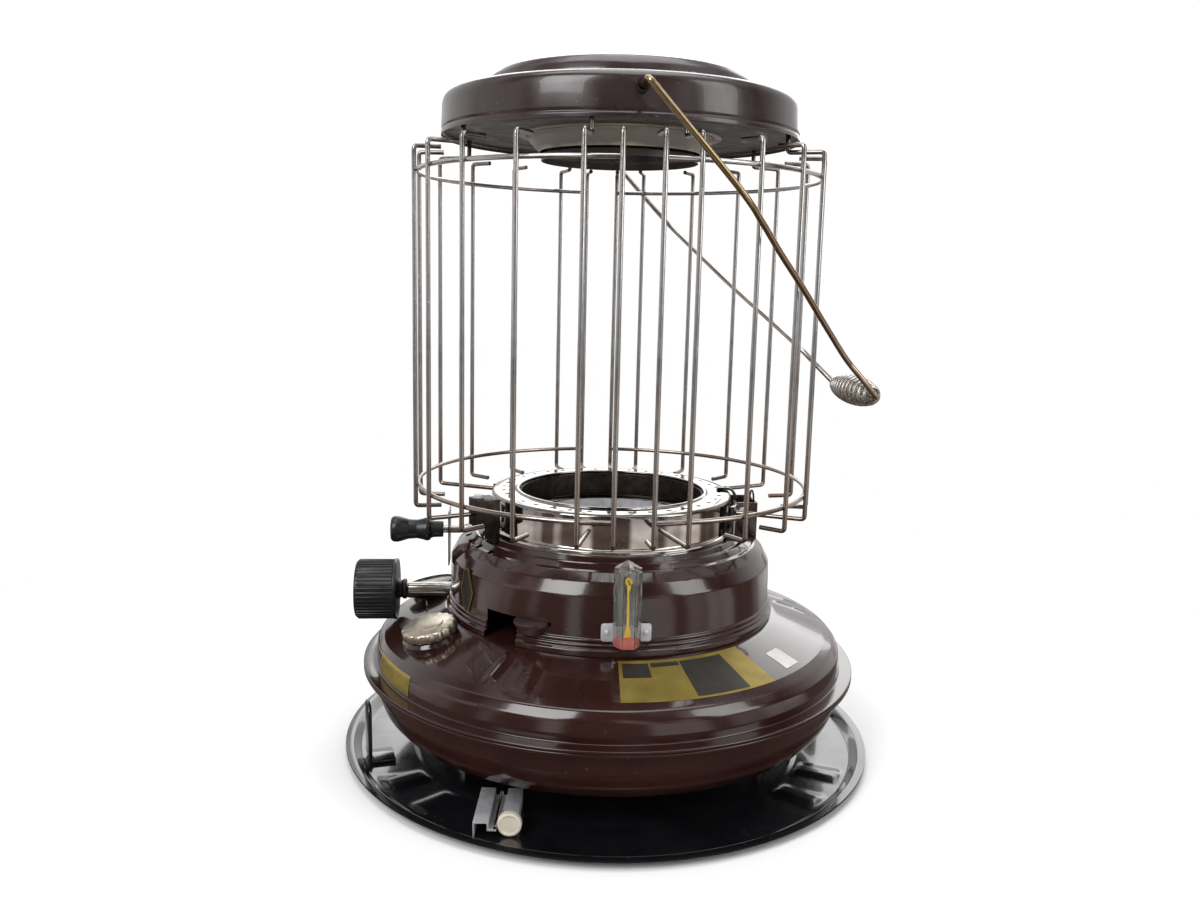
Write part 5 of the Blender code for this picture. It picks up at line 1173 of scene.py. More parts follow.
def cut(shape: Shape, *cutters: Shape) -> Shape:
    """Cuts shapes from a shape.

    Args:
        shape: The shape to cut.
        cutters: The closed shapes that go out of it.

    Returns:
        What is left.
    """
    obj = new_object("blank", shape.mesh("blank"))
    tools = []
    for cutter in cutters:
        tool = new_object("cutter", cutter.mesh("cutter"))
        boolean = obj.modifiers.new("Cut", "BOOLEAN")
        boolean.object = tool
        tools.append(tool)
    make_plain(obj)
    rest = Shape.of_mesh(obj.data)
    for spare in [obj, *tools]:
        mesh = spare.data
        bpy.data.objects.remove(spare)
        bpy.data.meshes.remove(mesh)
    return rest


def dress(finish: Finish, *nodes: str) -> None:
    """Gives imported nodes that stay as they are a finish."""
    for node in nodes:
        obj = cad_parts[node]
        for place in obj.material_slots:
            place.material = finish.material()


# Sub-assemblies


@dataclass
class DripTray:
    """The tray that the heater stands in, with its retainers and legs."""

    radius: float = 0.241
    floor_radius: float = 0.227
    height: float = 0.0084
    sheet: float = 0.0016
    rim_width: float = 0.006
    step_radius: float = 0.176
    step_height: float = 0.0016
    middle_step: Pair = (0.11, 0.108)
    press_step: float = 0.003
    turns: int = 288
    rib_azimuths: tuple[float, ...] = (-62, -48, 48, 62, 120, 240, 150, 210)
    rib_length: Pair = (0.186, 0.22)
    rib_ends: Pair = (0.003, 0.001)
    rib_half_angle: float = 3.2
    rib_fall: Pair = (1.2, 0.4)
    rib_height: float = 0.0022
    retainer_azimuths: dict[str, float] = field(default_factory=lambda: {"left": -76, "right": 104})
    retainer_radius: float = 0.222
    retainer_thickness: float = 0.003
    retainer_width: float = 0.026
    retainer_foot: float = 0.022
    retainer_height: float = 0.055
    retainer_tip: float = 0.008
    gap: float = 0.0003

    def build(self) -> None:
        """Builds the tray and its retainers, and dresses the legs."""
        self.add_tray()
        for side, azimuth in self.retainer_azimuths.items():
            self.add_retainer(side, azimuth)
        dress(BLACK_ENAMEL, "support_leg_1", "support_leg_2", "support_leg_3")

    def add_tray(self) -> None:
        """The dished tray with a rolled rim, a pressed step and short pressed ribs."""
        rim = self.height - self.sheet
        corners = [
            (self.radius, rim, 0),
            (self.radius - self.rim_width, rim, 0.002),
            (self.floor_radius, 0, 0.006),
            (self.step_radius + 0.004, 0, 0.004),
            (self.step_radius, self.step_height, 0.004),
            (self.middle_step[0], self.step_height, 0.002),
            (self.middle_step[1], 0, 0.002),
            (0, 0, 0),
        ]
        path = divided(rounded(corners[::-1]), self.press_step)
        section = dish_section(path, -self.sheet)
        bead = self.sheet / 2
        shape = turned(section, closed=False, turns=self.turns)
        rolled = circle_section(self.radius - bead, self.height - bead, bead)
        tray = shape.moved(self.pressed).joined(turned(rolled))
        add_piece("tray", tray, BLACK_ENAMEL, stands_for=["drip_tray"])

    def pressed(self, point: Vector) -> Vector:
        """Raises a point of the tray's floor where a rib is pressed into it."""
        distance = hypot(point.x, point.y)
        azimuth = degrees(atan2(point.x, -point.y))
        along = within(self.rib_length, distance, *self.rib_ends)
        start = self.rib_half_angle - self.rib_fall[0]
        end = self.rib_half_angle + self.rib_fall[1]
        rise = 0.0
        for middle in self.rib_azimuths:
            off = abs((azimuth - middle + 180) % 360 - 180)
            rise = max(rise, 1 - smooth_step(start, end, off))
        return point + Vector((0, 0, rise * along * self.rib_height))

    def add_retainer(self, side: str, azimuth: float) -> None:
        """A strip with a rounded top, whose foot lies on the tray.

        Args:
            side: The side's name.
            azimuth: Its place round the tray.
        """
        foot = self.sheet + self.gap + self.retainer_thickness / 2
        corners = [
            (self.retainer_radius - self.retainer_foot, foot, 0),
            (self.retainer_radius, foot, 0.004),
            (self.retainer_radius, self.retainer_height, 0),
        ]
        tip = self.retainer_tip
        path = [*rounded(corners, steps=6)[:-1], (self.retainer_radius, self.retainer_height - tip)]
        widths = [self.retainer_width] * len(path)
        for share in [i / 6 for i in range(1, 7)]:
            path.append((self.retainer_radius, self.retainer_height - tip * (1 - share)))
            widths.append(self.retainer_width - 2 * tip * (1 - (1 - share**2) ** 0.5))
        shape = strip(path, widths, self.retainer_thickness).moved(polar(azimuth) @ UPRIGHT)
        name = f"retainer_strip_{side}"
        add_piece(name, shape, BLACK_ENAMEL, stands_for=[f"tray_retainer_{side}"], bevel=0.0009)


@dataclass
class TrayClamp:
    """The plated clamp at the tray's front left, with its rod and white knob."""

    place: Pair = (-0.1, -0.165)
    azimuth: float = -5.7
    length: float = 0.056
    width: float = 0.034
    height: float = 0.0145
    sheet: float = 0.0012
    groove_width: float = 0.01
    groove_depth: float = 0.006
    recess: float = 0.008
    rod_radius: float = 0.0015
    knob_radius: float = 0.0095
    knob_thickness: float = 0.006
    stem_radius: float = 0.0014
    stem_length: float = 0.012
    gap: float = 0.0003

    def frame(self) -> Matrix:
        """Frame on the floor under the clamp, with its X axis outwards."""
        return at(*self.place) @ polar(self.azimuth)

    def build(self) -> None:
        """Builds the channel, the rod and the knob."""
        soften("clamp_channel", "tray_clamp_channel", ZINC, 0.00045)
        height = self.height - self.groove_depth + self.gap + self.rod_radius
        half = self.length / 2
        bar = round_bar(self.rod_radius, -half, half, 0.0003, turns=24)
        frame = self.frame() @ at(z=height) @ TO_RIGHT
        add_piece("clamp_rod", bar.moved(frame), POLISHED_STEEL, stands_for=["tray_clamp_rod"])
        self.add_knob()

    def add_knob(self) -> None:
        """The thumb knob with its stem and a shallow dished face."""
        land = (self.groove_width + self.width) / 4
        height = self.height - self.sheet - self.gap - self.stem_radius
        frame = self.frame() @ at(self.length / 2 - self.recess + self.gap, land, height) @ TO_RIGHT
        corners = [
            (0, self.knob_thickness - 0.0006, 0),
            (self.knob_radius * 0.72, self.knob_thickness - 0.0006, 0.001),
            (self.knob_radius * 0.8, self.knob_thickness, 0.0006),
            (self.knob_radius, self.knob_thickness, 0.0012),
            (self.knob_radius, 0, 0.0008),
            (self.stem_radius, 0, 0.0004),
            (self.stem_radius, -self.stem_length, 0.0003),
            (0, -self.stem_length, 0),
        ]
        knob = spun(corners).moved(frame)
        add_piece("clamp_thumb_knob", knob, WHITE_MOULDING, Body.CLAMP_KNOB, ["tray_clamp_knob"])


@dataclass(frozen=True)
class Boss:
    """A boss on the tank's slope: its place, its radii and the opening under it."""

    name: str
    azimuth: float
    distance: float
    radius: float
    top_radius: float
    bore: float
    opening: float


@dataclass(frozen=True)
class Foil:
    """A bare plate on the tank, with its edges round the axis and along the slope or up the side."""

    name: str
    azimuths: Pair
    edges: Pair
    finish: Finish
    layers: int = 1

    def covers(self, place: float) -> bool:
        """Whether a distance or a height lies between the foil's edges."""
        return self.edges[0] <= place <= self.edges[1]


@dataclass
class FuelTank:
    """The tank's two shells with their seam, pressed ribs, bosses and bare plates."""

    radius: float = 0.2127
    lower_radius: float = 0.2146
    bottom: float = 0.031
    top: float = 0.131
    seam_radius: float = 0.2243
    seam_height: float = 0.0822
    hem: float = 0.0025
    hem_tail: float = 0.0014
    sheet: float = 0.001
    gap: float = 0.0003
    slope_top: Pair = (0.152, 0.1295)
    slope_foot: Pair = (0.198, 0.1125)
    wall_top: float = 0.092
    well: Triple = (0.092, 0.097, 0.118)
    wick_tube_radius: float = 0.0695
    draft_tube_radius: float = 0.061
    tilt: float = 13
    boss_height: float = 0.0042
    bosses: tuple[Boss, ...] = (
        Boss("filler_boss", -65, 0.175, 0.025, 0.0215, 0.0195, 0.0212),
        Boss("gauge_boss", -107, 0.1755, 0.0175, 0.014, 0.0073, 0.0136),
    )
    rib_azimuths: tuple[float, ...] = (-34.5, -26, 92, 101, 152, 208)
    rib_reach: Pair = (0.157, 0.193)
    rib_ends: Pair = (0.003, 0.002)
    rib_width: float = 0.0036
    rib_fall: Pair = (0.3, 0.75)
    rib_height: float = 0.002
    press_step: float = 0.004
    slope_low: float = 0.1
    side_start: float = 0.19
    skin: float = 0.0003
    skin_back: float = 0.00008
    foil_step: float = 0.0015
    foil_turn: float = 1.5
    slope_foils: tuple[Foil, ...] = (
        Foil("notice_plate", (-2.5, 37.5), (0.1535, 0.1995), GOLD_FOIL),
        Foil("notice_field_left", (-1.5, 6), (0.1575, 0.1735), BLACK_FOIL, 2),
        Foil("notice_field_right", (15.5, 29.5), (0.1575, 0.1965), BLACK_FOIL, 2),
        Foil("notice_field_top", (6.6, 15), (0.1575, 0.1625), BLACK_FOIL, 2),
        Foil("white_label", (44.5, 50.5), (0.171, 0.193), WHITE_PAPER),
    )
    side_foils: tuple[Foil, ...] = (
        Foil("side_plate", (-73, -55), (0.0875, 0.104), GOLD_FOIL),
        Foil("lower_side_plate", (-73, -69.5), (0.0655, 0.0755), GOLD_FOIL),
    )
    lower_side: Pair = (0.0795, 0.06)

    def build(self) -> None:
        """Builds the tank."""
        self.add_lower_shell()
        self.add_upper_shell()
        for boss in self.bosses:
            self.add_boss(boss)
        upper = divided(self.face(), self.foil_step)
        lower = divided([(self.lower_radius, height) for height in self.lower_side], self.foil_step)
        for foil in self.slope_foils:
            self.add_foil(foil, [p for p in upper if foil.covers(p[0]) and p[1] > self.slope_low])
        for foil in self.side_foils:
            side = upper if foil.edges[0] > self.seam_height else lower
            self.add_foil(foil, [p for p in side if foil.covers(p[1]) and p[0] > self.side_start])

    def frame(self, boss: Boss) -> Matrix:
        """A boss's frame on the slope."""
        return polar(boss.azimuth, boss.distance, self.surface(boss.distance), self.tilt)

    def face(self) -> list[Pair]:
        """The upper shell's outer face."""
        return rounded(self.upper_corners(), steps=7)

    def surface(self, distance: float) -> float:
        """Height of the tank's slope at a distance from the axis."""
        (x0, z0), (x1, z1) = self.slope_top, self.slope_foot
        return z0 + (distance - x0) / (x1 - x0) * (z1 - z0)

    def add_lower_shell(self) -> None:
        """The lower shell, which curves in to its flat bottom."""
        low = self.seam_height - self.hem
        rise = low - self.bottom
        radius = self.lower_radius
        corners = [
            (radius - self.hem_tail, self.seam_height, 0),
            (self.seam_radius, self.seam_height, 0.0009),
            (self.seam_radius, low, 0.0009),
            (radius, low, 0.001),
            (radius * 0.9932, self.bottom + rise * 0.66, 0.03),
            (radius * 0.9669, self.bottom + rise * 0.308, 0.02),
            (radius * 0.9193, self.bottom + rise * 0.08, 0.012),
            (radius * 0.8155, self.bottom, 0.01),
            (self.draft_tube_radius + self.gap, self.bottom, 0),
        ]
        section = sheet_section(rounded(corners, steps=6), self.sheet)
        add_piece("tank_lower", turned(section), BROWN_ENAMEL, stands_for=["tank_lower_shell"])

    def upper_corners(self) -> list[Corner]:
        """The upper shell's outer face, from the well round the wick tube to the hem."""
        hem_bottom = self.seam_height + self.gap
        foot, slope_foot_height = self.slope_foot
        step = self.radius - foot
        fall = slope_foot_height - self.wall_top
        well_radius, well_rim, well_height = self.well
        return [
            (self.wick_tube_radius + self.gap, well_height, 0),
            (well_radius, well_height, 0.004),
            (well_rim, self.top, 0.004),
            (*self.slope_top, 0.02),
            (foot, slope_foot_height, 0.009),
            (foot + 0.55 * step, slope_foot_height - 0.18 * fall, 0.006),
            (foot + 0.9 * step, slope_foot_height - 0.5 * fall, 0.008),
            (self.radius, self.wall_top, 0.006),
            (self.radius, hem_bottom + self.hem, 0.0012),
            (self.seam_radius, hem_bottom + self.hem, 0.0011),
            (self.seam_radius, hem_bottom, 0.0009),
            (self.lower_radius - self.hem_tail, hem_bottom, 0),
        ]

    def add_upper_shell(self) -> None:
        """The upper shell with short radial ribs pressed into its slope, open under the two bosses."""
        path = divided(self.face(), self.press_step)
        shape = turned(sheet_section(path, self.sheet), turns=LARGE_TURN).moved(self.pressed)
        openings = [round_bar(boss.opening, -0.012, 0.012).moved(self.frame(boss)) for boss in self.bosses]
        add_piece("tank_upper", cut(shape, *openings), BROWN_ENAMEL, stands_for=["tank_upper_shell"])

    def pressed(self, point: Vector) -> Vector:
        """Raises a point of the slope where a rib is pressed into it."""
        distance = hypot(point.x, point.y)
        along = within(self.rib_reach, distance, *self.rib_ends)
        if point.z < self.slope_low or not along:
            return point
        azimuth = atan2(point.x, -point.y)
        inside, outside = (self.rib_width * share for share in self.rib_fall)
        rise = 0.0
        for middle in self.rib_azimuths:
            off = abs((azimuth - radians(middle) + pi) % (2 * pi) - pi) * distance
            rise = max(rise, 1 - smooth_step(inside, outside, off))
        return point + Vector((0, 0, rise * along * self.rib_height))

    def add_boss(self, boss: Boss) -> None:
        """A boss that swells out of the slope, with a fine bead round its foot."""
        top = self.boss_height
        radius = boss.radius
        corners = [
            (boss.bore, top, 0),
            (boss.top_radius, top, 0.0025),
            (boss.top_radius + 0.6 * (radius - boss.top_radius), 0.0012, 0.003),
            (radius - 0.0008, 0.0004, 0.0008),
            (radius - 0.0003, 0.0012, 0.0004),
            (radius, 0.0012, 0.0003),
            (radius, -0.006, 0),
        ]
        inside = [(radius - 0.001, -0.006), (radius - 0.0012, -0.001), (boss.bore, top - self.sheet)]
        section = [*rounded(corners, steps=5), *inside]
        add_piece(boss.name, turned(section, turns=MIDDLE_TURN).moved(self.frame(boss)), BROWN_ENAMEL)

    def add_foil(self, foil: Foil, covered: Profile) -> None:
        """A foil over a part of the tank's section.

        Args:
            foil: The foil.
            covered: The section of the face under it.
        """
        face = offset_path(covered, foil.layers * self.skin)
        ring = [*face, *offset_path(covered, self.skin_back)[::-1]]
        start, end = foil.azimuths
        steps = max(4, ceil((end - start) / self.foil_turn))
        rings = []
        for i in range(steps + 1):
            frame = polar(start + (end - start) * i / steps)
            rings.append([frame @ Vector((x, 0, z)) for x, z in ring])
        add_piece(foil.name, loft(rings), foil.finish)


@dataclass
class Filler:
    """The fuel cap, with the neck, strainer and gasket under it."""

    azimuth: float = -65
    distance: float = 0.175
    height: float = 0.121
    tilt: float = 13
    cap_radius: float = 0.02385
    lobes: int = 16
    lobe_share: float = 0.05
    rim_share: float = 0.9
    bottom: float = 0.005
    top: float = 0.014
    wall: float = 0.0015
    disc_radius: float = 0.0125
    disc_height: float = 0.0012
    shoulder: float = 0.0016
    ceiling: float = 0.0117
    turns: int = 192
    tab_place: Triple = (-84, 0.168, 0.1185)
    tab_size: Pair = (0.011, 0.017)
    tab_thickness: float = 0.0012

    def build(self) -> None:
        """Builds the cap and dresses what is under it."""
        dress(ZINC, "filler_neck")
        dress(WHITE_MOULDING, "filler_strainer")
        dress(RUBBER, "cap_gasket")
        frame = polar(self.azimuth, self.distance, self.height, self.tilt)
        edge = self.top - self.disc_height
        levels = [
            (1 - self.wall / self.cap_radius, self.ceiling, False),
            (1 - self.wall / self.cap_radius, self.bottom, False),
            (0.985, self.bottom, True),
            (1, self.bottom + 0.0006, True),
            (1, edge - self.shoulder, True),
            (0.97, edge - 0.0005, True),
            (0.92, edge, True),
            ((self.disc_radius + 0.001) / self.cap_radius, edge, False),
            ((self.disc_radius + 0.0002) / self.cap_radius, edge + 0.0003, False),
            (self.disc_radius / self.cap_radius, self.top - 0.0003, False),
            ((self.disc_radius - 0.0008) / self.cap_radius, self.top, False),
            (0.05, self.top - 0.0002, False),
        ]
        rings = [[self.rim_point(i, *level) for i in range(self.turns)] for level in levels]
        add_piece("scalloped_cap", loft(rings).moved(frame), CAP_NICKEL, Body.CAP, ["fuel_cap"])
        half = self.tab_thickness / 2
        tab = prism(rectangle(*self.tab_size, 0.003, bottom=0), -half, half)
        add_piece("level_tab", tab.moved(polar(*self.tab_place) @ ACROSS), CLEAR_ACRYLIC)

    def rim_point(self, number: int, share: float, height: float, lobed: bool) -> Vector:
        """A point of the cap at a share of its radius, drawn in between the lobes where it is lobed."""
        angle = 2 * pi * number / self.turns
        dip = self.lobe_share * (1 - cos(self.lobes * angle)) / 2
        inner = share * (1 - self.lobe_share) if not lobed and share > self.rim_share else share
        radius = self.cap_radius * (inner * (1 - dip) if lobed else inner)
        return Vector((radius * cos(angle), radius * sin(angle), height))


@dataclass
class FuelGauge:
    """The round dial on the tank, with its lens, needle and float."""

    azimuth: float = -107
    distance: float = 0.1755
    height: float = 0.12081522
    tilt: float = 13
    radius: float = 0.0256
    base: float = 0.0045
    depth: float = 0.008
    rim: float = 0.0015
    floor: float = 0.002
    ledge: float = 0.0015
    spindle: Pair = (0.0012, 0.003)
    stem: Pair = (0.007, 0.02)
    lens_thickness: float = 0.0016
    lens_inset: float = 0.001
    marks: int = 9
    mark_size: Pair = (0.0032, 0.0006)
    mark_azimuths: Pair = (30, 22.5)
    mark_inset: float = 0.004
    mark_heights: Pair = (0.0002, 0.00028)
    gap: float = 0.0003

    def build(self) -> None:
        """Builds the case, its face and the lens, and dresses the needle and float."""
        frame = polar(self.azimuth, self.distance, self.height, self.tilt)
        top = self.base + self.depth
        inside = self.radius - self.rim
        seat = top - self.lens_inset - self.lens_thickness - self.gap
        corners = [
            (0, self.base + self.floor + self.spindle[1], 0),
            (self.spindle[0], self.base + self.floor + self.spindle[1], 0.0003),
            (self.spindle[0], self.base + self.floor, 0),
            (inside - self.ledge, self.base + self.floor, 0.0003),
            (inside - self.ledge, seat, 0.0003),
            (inside, seat, 0),
            (inside, top, 0.0004),
            (self.radius, top, 0.0012),
            (self.radius, self.base, 0.001),
            (self.stem[0], self.base, 0.0004),
            (self.stem[0], -self.stem[1], 0.0004),
            (0, -self.stem[1], 0),
        ]
        case = spun(corners, turns=MIDDLE_TURN).moved(frame)
        add_piece("dial_case", case, DARK_STEEL, stands_for=["fuel_dial_case"])
        floor = self.base + self.floor
        paint, mark_top = (floor + height for height in self.mark_heights)
        face = (inside - self.ledge - self.gap, self.spindle[0] + self.gap, (floor, paint), 0.00005)
        add_piece("dial_face", pipe(*face, turns=MIDDLE_TURN).moved(frame), DIAL_FACE)
        mark = prism(rectangle(*self.mark_size), paint, mark_top)
        marks = copies(mark, self.marks, *self.mark_azimuths, inside - self.mark_inset)
        add_piece("dial_marks", marks.moved(frame), BLACK_FOIL)
        low = top - self.lens_inset - self.lens_thickness
        lens = round_bar(inside - self.gap, low, low + self.lens_thickness, 0.0004, turns=MIDDLE_TURN)
        add_piece("dial_lens", lens.moved(frame), CLEAR_ACRYLIC, stands_for=["fuel_dial_lens"])
        dress(RED_MOULDING, "fuel_dial_needle")
        dress(BRASS, "fuel_float")


@dataclass
class Collar:
    """The collar round the burner, with its badge plate and the shut-off tab."""

    radius: float = 0.1459
    top: float = 0.203
    mouth_radius: float = 0.112
    sheet: float = 0.001
    shoulder: tuple[Corner, ...] = (
        (0.1213, 0.1992, 0.003),
        (0.1238, 0.1992, 0.002),
        (0.1292, 0.1956, 0.003),
        (0.1325, 0.1948, 0.002),
        (0.1395, 0.1882, 0.008),
    )
    wall_top: float = 0.172
    foot_radius: float = 0.15
    foot_top: float = 0.1405
    foot_bottom: float = 0.13007
    notch: Pair = (-49.5, -36)
    slot_end: float = -24
    slot_heights: Pair = (0.1498, 0.1536)
    cutter_radii: Pair = (0.13, 0.17)
    vent_count: int = 6
    vent_first: float = -104.5
    vent_step: float = 9.5
    vent_distance: float = 0.13
    vent_size: Pair = (0.0055, 0.006)
    sleeve_height: float = 0.142
    sleeve_radius: float = 0.00645
    rivet_place: float = 0.0155
    rivet_height: float = 0.15
    badge_azimuth: float = -61.875
    badge_height: float = 0.1615
    badge_size: Pair = (0.024, 0.04)
    badge_end: float = 0.007
    badge_heights: Pair = (0.0003, 0.0009)
    border_insets: Pair = (0.0006, 0.0014)
    border_height: float = 0.0011
    tab_azimuth: float = -31
    tab_width: float = 0.03
    tab_reach: float = 0.012
    tab_thickness: float = 0.0026
    tab_tail: float = 0.008

    def build(self) -> None:
        """Builds the collar and what is on it."""
        self.add_collar()
        self.add_badge()
        self.add_tab()

    def section(self) -> list[Pair]:
        """The collar's section: a lip, a stepped shoulder, a wall and a foot with two beads."""
        corners = [
            (self.mouth_radius, self.top, 0),
            (self.mouth_radius + 0.0042, self.top, 0.0022),
            *self.shoulder,
            (self.radius - 0.0006, 0.178, 0.008),
            (self.radius, self.wall_top - 0.004, 0.006),
        ]
        beads = [
            (self.radius, self.foot_top + 0.0035, 0.001),
            (self.radius + 0.0021, self.foot_top + 0.0018, 0.0016),
            (self.radius + 0.0006, self.foot_top - 0.0006, 0.0008),
            (self.radius + 0.0028, self.foot_top - 0.0022, 0.0014),
            (self.radius + 0.0012, self.foot_top - 0.0042, 0.0008),
            (self.foot_radius, self.foot_top - 0.006, 0.0014),
            (self.foot_radius, self.foot_bottom, 0),
        ]
        plain = [
            (self.radius, self.foot_top - 0.0043, 0.0015),
            (self.foot_radius, self.foot_top - 0.0063, 0.0015),
            (self.foot_radius, self.foot_bottom, 0),
        ]
        inner = offset_path(rounded([*corners, *plain], steps=5), -self.sheet)
        return [*rounded([*corners, *beads], steps=5), *inner[::-1]]

    def sector(self, azimuths: Pair, heights: Pair) -> Shape:
        """A cutter through the wall between two azimuths and two heights."""
        start, end = azimuths
        turns = [radians(start + (end - start) * i / 12) for i in range(13)]
        inner, outer = ([(r * sin(t), -r * cos(t)) for t in turns] for r in self.cutter_radii)
        return prism([*inner, *outer[::-1]], *heights)

    def add_collar(self) -> None:
        """The collar with its notch, slot, vents and holes."""
        hole = round_bar(self.sleeve_radius, *self.cutter_radii)
        rivet = round_bar(0.0015, -0.006, 0.006, turns=16)
        places = [at(x, -self.radius, self.rivet_height) for x in (-self.rivet_place, self.rivet_place)]
        rivets = [rivet.moved(place @ UPRIGHT) for place in places]
        vent = prism(rectangle(*self.vent_size, 0.001), 0.17, 0.21)
        vents = copies(vent, self.vent_count, self.vent_first, self.vent_step, self.vent_distance)
        shape = cut(
            turned(self.section(), turns=LARGE_TURN),
            self.sector(self.notch, (0.12, self.slot_heights[1])),
            self.sector((self.notch[0], self.slot_end), self.slot_heights),
            hole.moved(at(z=self.sleeve_height) @ TO_LEFT),
            vents,
            *rivets,
        )
        add_piece("burner_collar", shape, BROWN_ENAMEL, stands_for=["collar"])

    def wrapped(self, point: Vector) -> Vector:
        """Wraps a flat point, across and up, round the collar's wall at the badge's place."""
        azimuth = self.badge_azimuth + degrees(point.x / self.radius)
        return polar(azimuth) @ Vector((self.radius + point.z, 0, self.badge_height + point.y))

    def hexagon(self, inset: float) -> list[Pair]:
        """The badge's tall hexagon, drawn in by an inset, with enough points to wrap it."""
        width, height = self.badge_size
        side = width / 2 - inset * 1.2
        tall = height / 2 - inset
        end = self.badge_end / 2 - inset * 0.4
        corners = [(-end, -tall, 0.001), (end, -tall, 0.001), (side, 0, 0.002)]
        corners += [(end, tall, 0.001), (-end, tall, 0.001), (-side, 0, 0.002)]
        return rounded(corners, closed=True, steps=5)

    def add_badge(self) -> None:
        """The bare badge plate: a black hexagon with a raised gold border."""
        low, high = self.badge_heights
        plate = prism(self.hexagon(0), low, high).moved(self.wrapped)
        add_piece("badge_back", plate, BLACK_FOIL, stands_for=["badge_plate"])
        rings = []
        for near, far in zip(*(self.hexagon(inset) for inset in self.border_insets), strict=True):
            flat = [(*near, high), (*near, self.border_height), (*far, self.border_height), (*far, high)]
            rings.append([self.wrapped(Vector(point)) for point in flat])
        add_piece("badge_border", loft(rings, closed=True), GOLD_FOIL)

    def add_tab(self) -> None:
        """The shut-off lever: its hidden ring and arm, and the tab with its skirt."""
        frame = polar(self.tab_azimuth, self.radius, sum(self.slot_heights) / 2)
        soften("shutoff_ring", "shutoff_lever", DARK_STEEL, 0.0002, Body.SHUTOFF)
        half = self.tab_thickness / 2
        levels = [(-0.0085, 0.6, 0.0014), (-0.004, 0.82, 0.0014), (-half, 0.985, 0.0012), (-half, 1, 0)]
        levels += [(half - 0.0005, 1, 0), (half, 0.97, 0), (half + 0.0002, 0.6, 0)]
        rings = []
        for height, share, inset in levels:
            ring = []
            for i in range(33):
                turn = pi * i / 32 - pi / 2
                across = (self.tab_width / 2 + 0.0001) * share * sin(turn)
                out = inset + (self.tab_reach + 0.0001 - inset) * share * cos(turn)
                ring.append(Vector((out, across, height)))
            start = -0.0003 if height < half - 0.001 and share < 1 else -self.tab_tail
            side = self.tab_width / 2 * share
            ring += [Vector((start, side, height)), Vector((start, -side, height))]
            rings.append(ring)
        add_piece("shutoff_tab", loft(rings).moved(frame), TAB_ENAMEL, Body.SHUTOFF)


@dataclass
class TiltWindow:
    """The clear tilt indicator on the collar's front."""

    back: float = 0.1475
    bracket_back: float = 0.1462
    sheet: float = 0.001
    bracket_size: Pair = (0.0405, 0.015)
    bracket_bottom: float = 0.1425
    rivet_place: float = 0.0155
    rivet_radius: float = 0.0023
    rivet_height: float = 0.0012
    rivet_shank: Pair = (0.0012, 0.0055)

    def build(self) -> None:
        """Builds the bracket, its rivets, the case, its base and the pointer."""
        width, height = self.bracket_size
        middle = self.bracket_bottom + height / 2
        place = at(y=-self.bracket_back, z=middle) @ UPRIGHT
        plate = prism(rectangle(width, height, 0.0028), 0, self.sheet).moved(place)
        add_piece("indicator_bracket", plate, ZINC, stands_for=["window_bracket"], bevel=0.00025)
        shank, depth = self.rivet_shank
        below = [(shank, 0), (shank, -depth), (0, -depth)]
        rivet = button(self.rivet_radius, self.rivet_height, below, steps=8, turns=24)
        for side, x in (("left", -self.rivet_place), ("right", self.rivet_place)):
            shape = rivet.moved(at(x, -self.back, middle) @ UPRIGHT)
            add_piece(f"indicator_rivet_{side}", shape, ZINC, stands_for=[f"bracket_rivet_{side}"])
        soften("indicator_case", "window_case", CLEAR_ACRYLIC, 0.00035)
        soften("indicator_base", "window_base", RED_MOULDING, 0.0003)
        soften("indicator_pointer", "plumb_pointer", YELLOW_MOULDING, 0.0003, Body.POINTER)


